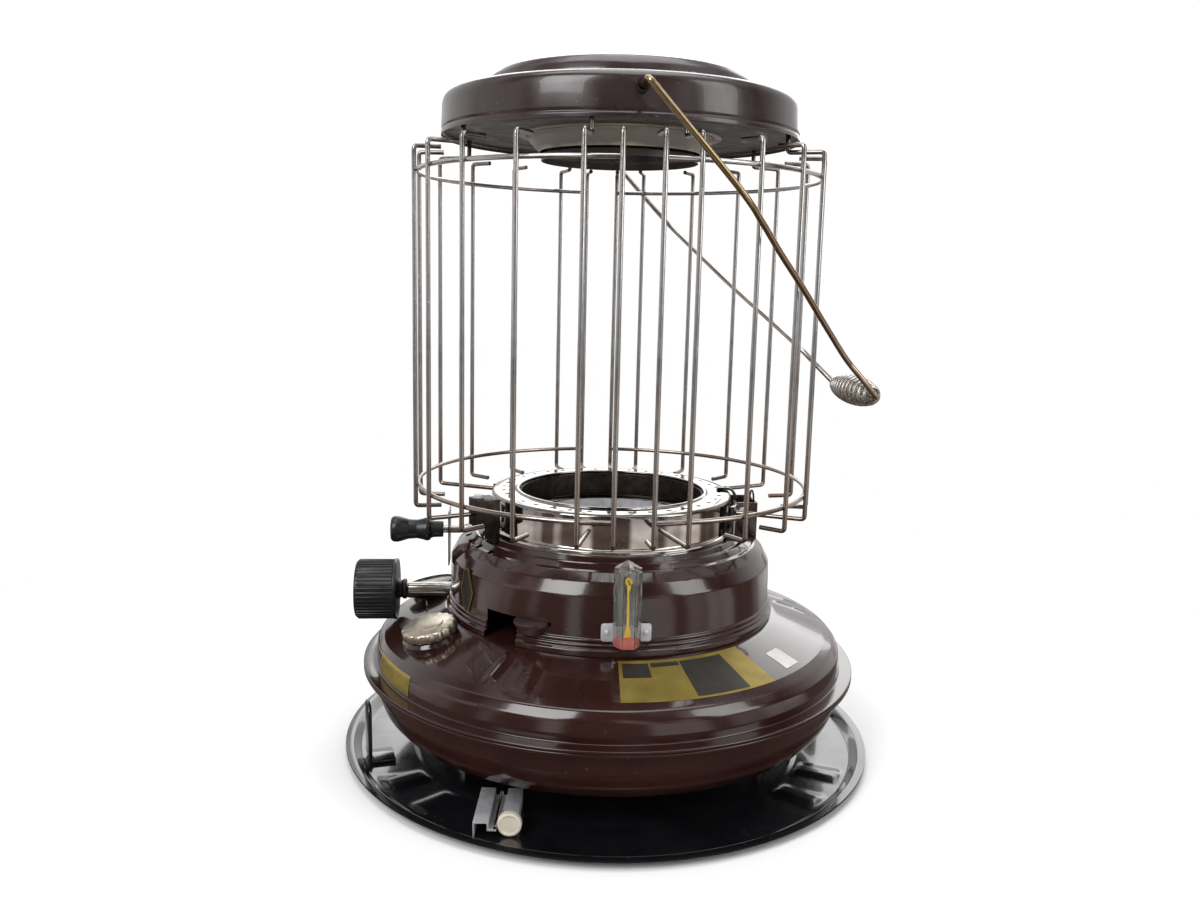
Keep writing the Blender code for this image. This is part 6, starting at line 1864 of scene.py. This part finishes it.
@dataclass
class WickDrive:
    """The tubes, the wick, the shaft and the ribbed knob."""

    shaft_height: float = 0.142
    knob_radius: float = 0.0273
    knob_ends: Pair = (0.1944, 0.2317)
    hub_end: float = 0.1864
    hub_radius: float = 0.0092
    bore: float = 0.0033
    bore_end: float = 0.225
    flange: float = 0.0004
    flange_thickness: float = 0.003
    rib_count: int = 44
    rib_radius: float = 0.0009
    sleeve_radius: float = 0.00615
    sleeve_ends: Pair = (0.138, 0.1848)
    draft_pipe: tuple[float, float, Pair] = (0.061, 0.06, (0.028, 0.205))
    wick: tuple[float, float, Pair] = (0.0655, 0.062, (0.04, 0.203))

    def build(self) -> None:
        """Builds the drive."""
        frame = at(z=self.shaft_height) @ TO_LEFT
        add_piece("draft_pipe", pipe(*self.draft_pipe, 0.0003), ZINC, stands_for=["inner_draft_tube"])
        add_piece("wick_ring", pipe(*self.wick, 0.0003), WICK, Body.WICK, ["wick"])
        dress(ZINC, "outer_wick_tube")
        dress(BRASS, "wick_carrier")
        dress(DARK_STEEL, "pinion_shaft")
        sleeve = pipe(self.sleeve_radius, self.bore, self.sleeve_ends, 0.0005, turns=SMALL_TURN)
        add_piece("shaft_sleeve", sleeve.moved(frame), POLISHED_STEEL, stands_for=["knob_sleeve"])
        self.add_knob(frame)

    def add_knob(self, frame: Matrix) -> None:
        """The moulded knob: a dished face, a ribbed grip, a flange and a stepped hub.

        Args:
            frame: The frame on the shaft's axis.
        """
        inner, outer = self.knob_ends
        grip = self.knob_radius - self.rib_radius
        step = inner + self.flange_thickness
        corners = [
            (0, outer - 0.0006, 0),
            (self.knob_radius * 0.68, outer - 0.0006, 0.001),
            (self.knob_radius * 0.74, outer, 0.0008),
            (grip - 0.0008, outer, 0.0022),
            (grip, outer - 0.003, 0.001),
            (grip, step + 0.0005, 0.0006),
            (self.knob_radius + self.flange, step, 0.001),
            (self.knob_radius + self.flange, inner, 0.0008),
            (self.hub_radius + 0.001, inner, 0.0012),
            (self.hub_radius - 0.0012, inner - 0.0025, 0.0006),
            (self.hub_radius - 0.0012, inner - 0.004, 0.0006),
            (self.hub_radius, inner - 0.005, 0.0006),
            (self.hub_radius, self.hub_end, 0.0008),
            (self.bore, self.hub_end, 0.0003),
            (self.bore, self.bore_end, 0),
            (0, self.bore_end, 0),
        ]
        knob = spun(corners, steps=5, turns=96)
        add_piece("ribbed_knob", knob.moved(frame), BLACK_MOULDING, Body.KNOB, ["wick_knob"])
        radius = self.rib_radius * 0.9
        low = step + 0.0004
        high = outer - 0.0018
        bar = [(0, high), (radius * 0.7, high - 0.0004), (radius, high - 0.0012), (radius, low), (0, low)]
        rib = turned(bar, closed=False, turns=8)
        ribs = copies(rib, self.rib_count, 0, 360 / self.rib_count, grip)
        add_piece("knob_ribs", ribs.moved(frame), BLACK_MOULDING, Body.KNOB)


@dataclass
class BurnerRing:
    """The chrome ring on the collar, with its holes, sleeve, seat and hinge."""

    radius: float = 0.1092
    flange_radius: float = 0.112
    bottom: float = 0.2034
    top: float = 0.2367
    edge: float = 0.0033
    mouth_radius: float = 0.084
    bead_height: float = 0.0013
    flange_thickness: float = 0.0026
    sheet: float = 0.0012
    turns: int = 216
    hole_count: int = 36
    hole_radius: float = 0.0022
    hole_distance: float = 0.0985
    hinge_x: float = 0.119
    hinge_height: float = 0.221
    hook_width: float = 0.008
    hook_sheet: float = 0.002
    hook_start: float = 0.098
    eye_radius: float = 0.0037
    pin_radius: float = 0.0016
    pin_head: Pair = (0.003, 0.0015)
    post_width: float = 0.036
    sleeve_ends: Pair = (0.2145, 0.235)
    seat: tuple[float, float, Pair] = (0.113, 0.0698, (0.2, 0.2017))
    strap_bends: tuple[Pair, ...] = ((0.52, 0), (0.74, 0.18), (0.86, 0.5))
    loop_foot: Triple = (0.1315, 0.0075, 0.2215)
    loop_rise: Pair = (0.2285, 0.0072)
    loop_wire: float = 0.0009
    gap: float = 0.0003

    def build(self) -> None:
        """Builds the ring and its hinge."""
        self.add_ring()
        outside = self.mouth_radius - self.gap
        sleeve = pipe(outside, outside - self.sheet, self.sleeve_ends, 0.0003)
        add_piece("flame_sleeve", sleeve, DARK_STEEL, Body.LIFT, ["ring_sleeve"])
        add_piece("ring_seat", pipe(*self.seat, 0.0003), DARK_STEEL, stands_for=["burner_seat"])
        self.add_hook()
        soften("hinge_housing", "hinge_post", BROWN_ENAMEL, 0.0006)
        frame = at(self.hinge_x, 0, self.hinge_height) @ UPRIGHT
        inner = self.post_width / 2 + self.gap
        outer = inner + self.pin_head[1]
        head = self.pin_head[0]
        corners = [(0, outer, 0), (head, outer, 0.0008), (head, inner, 0.0002), (self.pin_radius, inner, 0)]
        corners += [(r, -z, edge) for r, z, edge in corners[::-1]]
        add_piece("hinge_rivet_pin", spun(corners).moved(frame), ZINC, stands_for=["hinge_pin"])
        self.add_spring_loop()

    def add_ring(self) -> None:
        """The ring: a rolled mouth, a top with a circle of holes, a rounded edge and a rolled flange."""
        flange_top = self.bottom + self.flange_thickness
        bead_top = self.top + self.bead_height
        corners = [
            (self.mouth_radius, bead_top - 0.005, 0),
            (self.mouth_radius, bead_top, 0.0012),
            (self.mouth_radius + 0.0025, bead_top, 0.0012),
            (self.mouth_radius + 0.0042, self.top - 0.0004, 0.001),
            (self.radius - self.edge - 0.003, self.top, 0.001),
            (self.radius, self.top - 0.0004, 0.0035),
            (self.radius - 0.0002, flange_top + 0.001, 0.002),
            (self.flange_radius, flange_top, 0.001),
            (self.flange_radius, self.bottom, 0),
        ]
        hole = round_bar(self.hole_radius, -0.004, 0.004, turns=16)
        holes = copies(hole, self.hole_count, 4, 360 / self.hole_count, self.hole_distance, self.top)
        shape = cut(turned(sheet_section(rounded(corners, steps=6), self.sheet), turns=self.turns), holes)
        add_piece("chrome_ring", shape, RING_CHROME, Body.LIFT, ["burner_ring"])

    def add_hook(self) -> None:
        """The strap from the ring's top to the hinge pin, ending in an eye."""
        x, z = self.hook_start, self.top + self.gap + self.hook_sheet / 2
        run = (self.hinge_x - x, self.hinge_height - z)
        bends = [(x + s * run[0], z + t * run[1], 0.004) for s, t in self.strap_bends]
        end = (self.hinge_x, self.hinge_height + self.eye_radius * 0.5, 0)
        path = rounded([(x, z, 0), *bends, end], steps=5)
        strap = strip(path, [self.hook_width] * len(path), self.hook_sheet).moved(UPRIGHT)
        frame = at(self.hinge_x, 0, self.hinge_height) @ UPRIGHT
        half = self.hook_width / 2
        eye = pipe(self.eye_radius, self.pin_radius + self.gap, (-half, half), 0.0004, turns=32)
        add_piece("hinge_strap", strap, BLACK_ENAMEL, Body.LIFT, ["ring_hook"], bevel=0.0004)
        add_piece("hinge_strap_eye", eye.moved(frame), BLACK_ENAMEL, Body.LIFT)

    def add_spring_loop(self) -> None:
        """The wire loop that stands over the hinge housing."""
        x, half, foot = self.loop_foot
        middle, rise = self.loop_rise
        turns = [pi * i / 12 for i in range(13)]
        arc = [Vector((x, half * cos(turn), middle + rise * sin(turn))) for turn in turns]
        path = [Vector((x, half, foot)), *arc, Vector((x, -half, foot))]
        add_piece("housing_loop", wires([path], self.loop_wire, sides=10), DARK_STEEL)


@dataclass
class LiftLever:
    """The lever that lifts the ring, with its bobbin handle and guide plate."""

    y: float = -0.016
    rod_radius: float = 0.0034
    knees: tuple[Pair, ...] = ((0.111, 0.2072), (0.117, 0.2072), (0.136, 0.2022), (0.196, 0.2022))
    height: float = 0.2022
    handle_ends: Pair = (0.1522, 0.1983)
    end_radius: float = 0.0116
    shares: tuple[Pair, ...] = (
        (0.04, 0.98),
        (0.12, 1),
        (0.2, 0.93),
        (0.34, 0.76),
        (0.5, 0.72),
        (0.6, 0.8),
        (0.68, 0.9),
        (0.74, 0.88),
        (0.78, 0.64),
        (0.97, 0.61),
    )
    bore: float = 0.0037
    bore_end: float = 0.1963

    def build(self) -> None:
        """Builds the lever."""
        path = bent_path([(-x, self.y, z) for x, z in self.knees], 0.0025)
        rod = wires([path], self.rod_radius, sides=24)
        add_piece("lift_rod", rod, POLISHED_STEEL, Body.LIFT, ["lever_rod"])
        inner, outer = self.handle_ends
        corners = [(0, outer, 0), (self.end_radius * 0.82, outer, 0.0015)]
        corners += [(self.end_radius * r, outer - s * (outer - inner), 0.004) for s, r in self.shares]
        corners += [
            (self.end_radius * 0.6, inner, 0.0006),
            (self.bore, inner, 0.0003),
            (self.bore, self.bore_end, 0),
            (0, self.bore_end, 0),
        ]
        frame = at(y=self.y, z=self.height) @ TO_LEFT
        handle = spun(corners, steps=5, turns=MIDDLE_TURN).moved(frame)
        add_piece("bobbin_handle", handle, BLACK_MOULDING, Body.LIFT, ["lever_handle"])
        soften("guide_plate", "lever_guide", BLACK_ENAMEL, 0.0003)


@dataclass
class Guard:
    """The wire guard in two halves, with the brackets under it."""

    radius: float = 0.1775
    wire: float = 0.002
    ring_radius: float = 0.1746
    ring_heights: Pair = (0.2452, 0.5144)
    ring_end: float = 5
    bottom: float = 0.226
    top: float = 0.5335
    edge_azimuth: float = 5
    first_azimuth: float = 14
    step: float = 16.89
    uprights: int = 10
    bend: float = 0.0035
    stub: float = 0.155
    post_radius: float = 0.147
    post_top: float = 0.5487
    left_feet: tuple[float, ...] = (0.122, 0.1373, 0.1173, 0.155)
    right_feet: tuple[float, ...] = (0.12, 0.1173, 0.1173, 0.155)
    ring_steps: int = 96

    def build(self) -> None:
        """Builds both halves and their brackets."""
        for name, side, feet in (("left", -1, self.left_feet), ("right", 1, self.right_feet)):
            add_piece(f"guard_{name}_wires", self.half(side, feet), GUARD_WIRE, stands_for=[f"guard_{name}"])
        for place in ("front_right", "back_left", "back_right"):
            soften(f"wire_bracket_{place}", f"guard_bracket_{place}", BLACK_ENAMEL, 0.0004)
        soften("wire_clamp_block", "guard_bracket_front_left", DARK_STEEL, 0.0006)
        soften("clamp_block_bolt", "guard_bolt", ZINC, 0.0003)

    def half(self, side: int, feet: Sequence[float]) -> Shape:
        """The wires of one half, in which every third upright is a post.

        Args:
            side: -1 for the left half and 1 for the right one.
            feet: Inner radius of each post's foot.

        Returns:
            The wires.
        """
        edges = (self.edge_azimuth, 180 - self.edge_azimuth)
        paths = [self.upright(side * azimuth, self.stub, self.stub, False) for azimuth in edges]
        for i in range(self.uprights):
            azimuth = side * (self.first_azimuth + self.step * i)
            if i % 3:
                paths.append(self.upright(azimuth, self.stub, self.stub, False))
            else:
                paths.append(self.upright(azimuth, feet[i // 3], self.post_radius, True))
        span = 180 - 2 * self.ring_end
        turns = [self.ring_end + span * i / self.ring_steps for i in range(self.ring_steps + 1)]
        for height in self.ring_heights:
            paths.append([polar(side * turn) @ Vector((self.ring_radius, 0, height)) for turn in turns])
        return wires(paths, self.wire, sides=16)

    def upright(self, azimuth: float, foot: float, head: float, post: bool) -> list[Vector]:
        """One upright with both its bent ends.

        Args:
            azimuth: Where it stands.
            foot: Inner radius of its lower end.
            head: Inner radius of its upper end.
            post: Whether the upper end turns up to carry the top.

        Returns:
            The wire's path.
        """
        corners = [(foot, 0, self.bottom), (self.radius, 0, self.bottom)]
        corners += [(self.radius, 0, self.top), (head, 0, self.top)]
        if post:
            corners.append((head, 0, self.post_top))
        return [polar(azimuth) @ point for point in bent_path(corners, self.bend)]


@dataclass
class TopPlate:
    """The domed top with its pan, collar and baffle drum."""

    radius: float = 0.1548
    height: float = 0.6
    rim_bottom: float = 0.5446
    shelf_height: float = 0.5815
    shelf_radius: float = 0.118
    sheet: float = 0.001
    dome: tuple[Pair, ...] = (
        (0.5, 0.004),
        (0.76, 0.012),
        (0.86, 0.05),
        (0.93, 0.2),
        (0.975, 0.48),
        (0.996, 0.8),
    )
    bail_height: float = 0.5665
    bail_hole: float = 0.0028
    bump_azimuths: Pair = (-17, 17)
    bump_size: Pair = (0.003, 0.0009)
    pan: tuple[float, float, float, float] = (0.1535, 0.0798, 0.549, 0.55)
    chimney: tuple[Corner, ...] = (
        (0.088, 0.5489, 0),
        (0.0815, 0.5489, 0.001),
        (0.0792, 0.5482, 0.001),
        (0.0785, 0.5445, 0.002),
        (0.073, 0.5385, 0.004),
        (0.0695, 0.535, 0),
    )
    chimney_sheet: float = 0.0011
    drum: tuple[Corner, ...] = (
        (0, 0.562, 0),
        (0.064, 0.562, 0.003),
        (0.064, 0.5338, 0.001),
        (0.0686, 0.5326, 0.001),
        (0.0686, 0.527, 0),
    )
    drum_sheet: float = 0.0012

    def build(self) -> None:
        """Builds the top and what hangs under it."""
        self.add_top()
        self.add_bumps()
        self.add_pan()
        self.add_chimney()

    def add_top(self) -> None:
        """The domed plate with its rim, its rolled lower edge and the bail's holes."""
        rise = self.height - self.shelf_height
        corners = [
            (0, self.height, 0),
            *[(self.shelf_radius * share, self.height - rise * drop, 0.01) for share, drop in self.dome],
            (self.shelf_radius + 0.0002, self.shelf_height, 0.002),
            (self.radius - 0.012, self.shelf_height - 0.0013, 0.012),
            (self.radius - 0.0012, self.shelf_height - 0.0052, 0.012),
            (self.radius - 0.0003, self.rim_bottom + 0.006, 0.003),
            (self.radius - 0.0016, self.rim_bottom + 0.0045, 0.0012),
            (self.radius - 0.0002, self.rim_bottom + 0.0026, 0.0012),
            (self.radius - 0.0002, self.rim_bottom, 0),
        ]
        plate = turned(dish_section(rounded(corners, steps=6), self.sheet), closed=False, turns=LARGE_TURN)
        hole = round_bar(self.bail_hole, -0.2, 0.2).moved(at(z=self.bail_height) @ UPRIGHT)
        shape = cut(plate, hole)
        add_piece("top_cover", shape, HAZED_ENAMEL, stands_for=["top_plate"])

    def add_bumps(self) -> None:
        """The two pressed bumps on the shelf at the front."""
        radius, height = self.bump_size
        bump = button(radius, height, [(radius, -0.0006), (0, -0.0006)], steps=6, turns=32)
        for number, azimuth in enumerate(self.bump_azimuths, 1):
            frame = polar(azimuth, self.radius - 0.018, self.shelf_height - 0.0007)
            add_piece(f"top_bump_{number}", bump.moved(frame), HAZED_ENAMEL)

    def add_pan(self) -> None:
        """The pan under the top, pressed with one ring."""
        outer, inner, low, top = self.pan
        corners = [
            (outer, top, 0),
            (outer, low, 0.0002),
            (outer * 0.83, low, 0.002),
            (outer * 0.815, low - 0.0012, 0.002),
            (outer * 0.74, low - 0.0012, 0.002),
            (outer * 0.725, low, 0.002),
            (inner, low, 0),
        ]
        below = rounded(corners)[1:]
        section = [*below, (inner, top), (outer, top)]
        add_piece("pan_under_top", turned(section), DARK_PAN_ENAMEL, stands_for=["underside_pan"])

    def add_chimney(self) -> None:
        """The cream collar, the dark drum and the bolt through it."""
        section = sheet_section(rounded(self.chimney, steps=6), -self.chimney_sheet)
        add_piece("cream_collar", turned(section), CREAM_ENAMEL, stands_for=["chimney_collar"])
        drum = turned(dish_section(rounded(self.drum, steps=5), self.drum_sheet), closed=False)
        add_piece("drum", drum, DRUM_ENAMEL, stands_for=["baffle_drum"])
        soften("drum_bolt", "baffle_bolt", DARK_STEEL, 0.0003)


@dataclass
class Bail:
    """The bail and its coil grip, swung down to the front."""

    pivot: float = 0.5665
    angle: float = 43
    wire: float = 0.0025
    inner_end: float = 0.15
    length: float = 0.32
    half_width: float = 0.2
    shares: tuple[Pair, ...] = (
        (0, 1),
        (0.306, 0.985),
        (0.41, 0.91),
        (0.5, 0.81),
        (0.612, 0.695),
        (0.753, 0.505),
        (0.862, 0.37),
        (0.94, 0.335),
    )
    middle: Pair = (0.012, -0.013)
    middle_share: float = 0.56
    grip_half: float = 0.0605
    bend: float = 0.005
    coil_wire: float = 0.00155
    coil_length: float = 0.104
    coil_turns: float = 12
    coil_steps: int = 480
    coil_end: float = 0.00435
    coil_middle: float = 0.012
    coil_power: float = 0.6
    washer: Triple = (0.0055, 0.0028, 0.0015)
    washer_place: float = 0.1551

    def build(self) -> None:
        """Builds the bail."""
        add_piece("bail_arms", self.arms(), BAIL_WIRE, Body.BAIL, ["bail_wire"])
        values = {
            "Turns": float(self.coil_turns),
            "Steps": self.coil_steps,
            "Length": self.coil_length,
            "End distance": self.coil_end,
            "Swell": self.coil_middle - self.coil_end,
            "Swell power": self.coil_power,
            "Wire radius": self.coil_wire,
            "Sides": 14,
        }
        coil = grow(TREES["winding"], bpy.data.meshes.new("no_mesh"), values)
        frame = Matrix.Translation(self.place(self.middle[1], self.length)) @ UPRIGHT
        add_piece("wound_grip_coil", coil.moved(frame), GRIP_WIRE, Body.BAIL, ["grip_coil"])
        outer, bore, thickness = self.washer
        washer = pipe(outer, bore, (0, thickness), 0.0004, turns=SMALL_TURN)
        for name, turn in (("front", UPRIGHT), ("back", UPRIGHT.inverted())):
            frame = at(z=self.pivot) @ turn @ at(z=self.washer_place)
            nodes = [f"bail_washer_{name}"]
            add_piece(f"pivot_washer_{name}", washer.moved(frame), DARK_STEEL, stands_for=nodes)

    def place(self, y: float, drop: float) -> Vector:
        """A point of the bail's plane from its Y and its distance from the pivot."""
        turn = radians(self.angle)
        return Vector((drop * sin(turn), y, self.pivot - drop * cos(turn)))

    def arms(self) -> Shape:
        """The bail's wire with both bends at the pivots and both at the grip."""
        front = []
        for share, width in self.shares:
            low, high = self.middle
            more = max(0.0, (share - self.middle_share) / (1 - self.middle_share))
            front.append((share * self.length, width * self.half_width, low + (high - low) * more))
        side = {}
        for sign in (-1, 1):
            knees = [(drop, middle + sign * half) for drop, half, middle in front]
            knees.append((self.length, self.middle[1] + sign * self.grip_half))
            arm = smoothed([tuple(self.place(y, drop)) for drop, y in knees])
            side[sign] = [self.place(sign * self.inner_end, 0), *arm]
        path = [*side[-1], *side[1][::-1]]
        corners = {1, len(side[-1]) - 1, len(side[-1]), len(path) - 2}
        bent = []
        for i, point in enumerate(path):
            bent += self.bent(path[i - 1], point, path[i + 1]) if i in corners else [point]
        return wires([bent], self.wire, sides=20)

    def bent(self, before: Vector, here: Vector, after: Vector) -> list[Vector]:
        """The points of a tight bend at a corner of the wire."""
        reach = min(self.bend, (before - here).length * 0.6, (after - here).length * 0.6)
        return bent_path([before, here, after], reach)[1:-1]


@dataclass
class Studio:
    """The pale floor, the white backdrop, the lamps and the camera."""

    camera_place: Triple = (-0.09525, -0.9495, 0.4309)
    camera_turns: Triple = (-5.05, -9.43, 1.33)
    lens: float = 31.755
    sensor: float = 36
    half_floor: float = 6.0
    floor_roughness: float = 0.85
    floor_shine: float = 0.1
    floor_room: float = 2.6
    floor_bands: Pair = (0.45, 0.56)
    floor_start: Pair = (0.45, 0.65)
    fade_reach: Pair = (0.4, 0.9)
    world_room: float = 2.4
    world_bands: Pair = (0.44, 0.58)
    band_light: Pair = (0.06, 0.75)
    wall_front: Pair = (-0.15, 0.5)
    wall_rise: Pair = (0.5, 0.8)
    wall_light: Pair = (0.85, 0.1)
    floor_grey: Colour = (0.92, 0.92, 0.92, 1)
    mirrored_dark: Colour = (0.08, 0.06, 0.05, 1)
    mirrored_light: Colour = (0.62, 0.6, 0.58, 1)
    backdrop: float = 1.05
    light: float = 0.5
    aim: Triple = (0, 0, 0.3)
    lamps: tuple[tuple[str, Triple, Pair, float], ...] = (
        ("key_lamp", (-1.5, -1.7, 1.9), (1.3, 1.7), 46),
        ("fill_lamp", (1.9, -1.3, 1.3), (1.0, 1.8), 20),
        ("top_lamp", (0.1, 0.1, 2.4), (1.8, 1.8), 24),
        ("back_lamp", (0.5, 2.0, 1.3), (2.2, 1.4), 20),
    )

    def build(self) -> None:
        """Builds the studio."""
        self.add_floor()
        self.add_world()
        for lamp in self.lamps:
            self.add_lamp(*lamp)
        self.add_camera()
        bpy.context.scene.view_settings.view_transform = "Standard"

    def add_floor(self) -> None:
        """The floor, pale to the light and to the camera, and darker in what the metal mirrors."""
        half = self.half_floor
        flat = [Vector((x, y, 0)) for x, y in ((-half, -half), (half, -half), (half, half), (-half, half))]
        mesh = Shape(flat, [(0, 1, 2, 3)]).mesh("studio_floor")
        floor = new_object("studio_floor", mesh)
        material = bpy.data.materials.new("studio_white")
        material.use_nodes = True
        tree = material.node_tree
        shader = tree.nodes["Principled BSDF"]
        shader.inputs["Roughness"].default_value = self.floor_roughness
        shader.inputs["Specular IOR Level"].default_value = self.floor_shine
        rays = add_node(tree, "ShaderNodeLightPath")
        place = object_place(tree)
        heading = add_node(tree, "ShaderNodeVectorMath", links={0: place}, operation="NORMALIZE")
        room = self.room(tree, self.floor_room, heading.outputs["Vector"])
        far = stretched(tree, length_of(tree, place), self.floor_start)
        light = product(tree, stretched(tree, room, self.floor_bands), far)
        seen = mixed(tree, light, self.mirrored_dark, self.mirrored_light)
        colour = mixed(tree, rays.outputs["Is Glossy Ray"], self.floor_grey, seen)
        tree.links.new(colour, shader.inputs["Base Color"])
        self.fade(tree, shader)
        mesh.materials.append(material)

    def room(self, tree: Tree, scale: float, heading: Socket) -> Socket:
        """Broad noise by direction, in place of the room that the metal mirrors."""
        values = {"Scale": scale, "Detail": 1.0}
        return add_node(tree, "ShaderNodeTexNoise", values, {"Vector": heading}).outputs[0]

    def fade(self, tree: Tree, shader: Node) -> None:
        """Lets the camera see the floor turn into the white backdrop, away from the heater's shadow."""
        far = stretched(tree, length_of(tree, object_place(tree)), self.fade_reach, kind="SMOOTHSTEP")
        rays = add_node(tree, "ShaderNodeLightPath")
        share = product(tree, far, rays.outputs["Is Camera Ray"])
        white = add_node(tree, "ShaderNodeEmission", {"Color": WHITE, "Strength": 1.0})
        links = {0: share, 1: shader.outputs["BSDF"], 2: white.outputs["Emission"]}
        mix = add_node(tree, "ShaderNodeMixShader", links=links)
        tree.links.new(mix.outputs[0], tree.nodes["Material Output"].inputs["Surface"])

    def add_world(self) -> None:
        """A white world to the camera, and for the metal a light wall at the back and bands all round."""
        world = bpy.data.worlds.new("studio_world")
        bpy.context.scene.world = world
        world.use_nodes = True
        tree = world.node_tree
        tree.nodes.clear()
        rays = add_node(tree, "ShaderNodeLightPath")
        place = add_node(tree, "ShaderNodeTexCoord")
        parts = add_node(tree, "ShaderNodeSeparateXYZ", links={"Vector": place.outputs["Generated"]})
        x, y, z = parts.outputs
        back = stretched(tree, y, self.wall_front, kind="SMOOTHSTEP")
        wall = product(tree, back, stretched(tree, z, self.wall_rise, self.wall_light))
        flat = add_node(tree, "ShaderNodeCombineXYZ", links={0: x, 1: y}).outputs[0]
        bands = stretched(tree, self.room(tree, self.world_room, flat), self.world_bands, self.band_light)
        level = calculation(tree, "MAXIMUM", wall, bands)
        grey = add_node(tree, "ShaderNodeCombineColor", links=dict.fromkeys(range(3), level))
        light = add_node(tree, "ShaderNodeBackground", {"Color": WHITE, "Strength": self.light})
        mirror = add_node(tree, "ShaderNodeBackground", {"Strength": 1.0}, {"Color": grey.outputs[0]})
        white = add_node(tree, "ShaderNodeBackground", {"Color": WHITE, "Strength": self.backdrop})
        links = {0: rays.outputs["Is Glossy Ray"], 1: light.outputs[0], 2: mirror.outputs[0]}
        unseen = add_node(tree, "ShaderNodeMixShader", links=links)
        direct = [rays.outputs[f"Is {kind} Ray"] for kind in ("Camera", "Transmission")]
        links = {0: calculation(tree, "MAXIMUM", *direct), 1: unseen.outputs[0], 2: white.outputs[0]}
        mix = add_node(tree, "ShaderNodeMixShader", links=links)
        add_node(tree, "ShaderNodeOutputWorld", links={"Surface": mix.outputs[0]})

    def add_lamp(self, name: str, place: Triple, size: Pair, power: float) -> None:
        """A soft lamp that faces the heater's middle."""
        lamp = bpy.data.lights.new(name, "AREA")
        lamp.shape = "RECTANGLE"
        lamp.size, lamp.size_y = size
        lamp.energy = power
        obj = new_object(name, lamp)
        towards = Vector(self.aim) - Vector(place)
        obj.matrix_world = Matrix.Translation(place) @ towards.to_track_quat("-Z", "Y").to_matrix().to_4x4()

    def add_camera(self) -> None:
        """The camera at the photo's angle."""
        camera = bpy.data.cameras.new("camera")
        camera.lens = self.lens
        camera.sensor_width = self.sensor
        obj = new_object("camera", camera)
        turn, tip, roll = (radians(value) for value in self.camera_turns)
        obj.matrix_world = (
            Matrix.Translation(self.camera_place)
            @ Matrix.Rotation(turn, 4, "Z")
            @ Matrix.Rotation(pi / 2 + tip, 4, "X")
            @ Matrix.Rotation(roll, 4, "Z")
        )
        bpy.context.scene.camera = obj


def main() -> None:
    """Builds every sub-assembly."""
    logging.basicConfig(level=logging.INFO, format="%(message)s")
    sub_assemblies = (
        DripTray(),
        TrayClamp(),
        FuelTank(),
        Filler(),
        FuelGauge(),
        Collar(),
        TiltWindow(),
        WickDrive(),
        BurnerRing(),
        LiftLever(),
        Guard(),
        TopPlate(),
        Bail(),
        Studio(),
    )
    for part in sub_assemblies:
        part.build()
        LOG.info("%s is built", type(part).__name__)


if __name__ == "__main__":
    main()
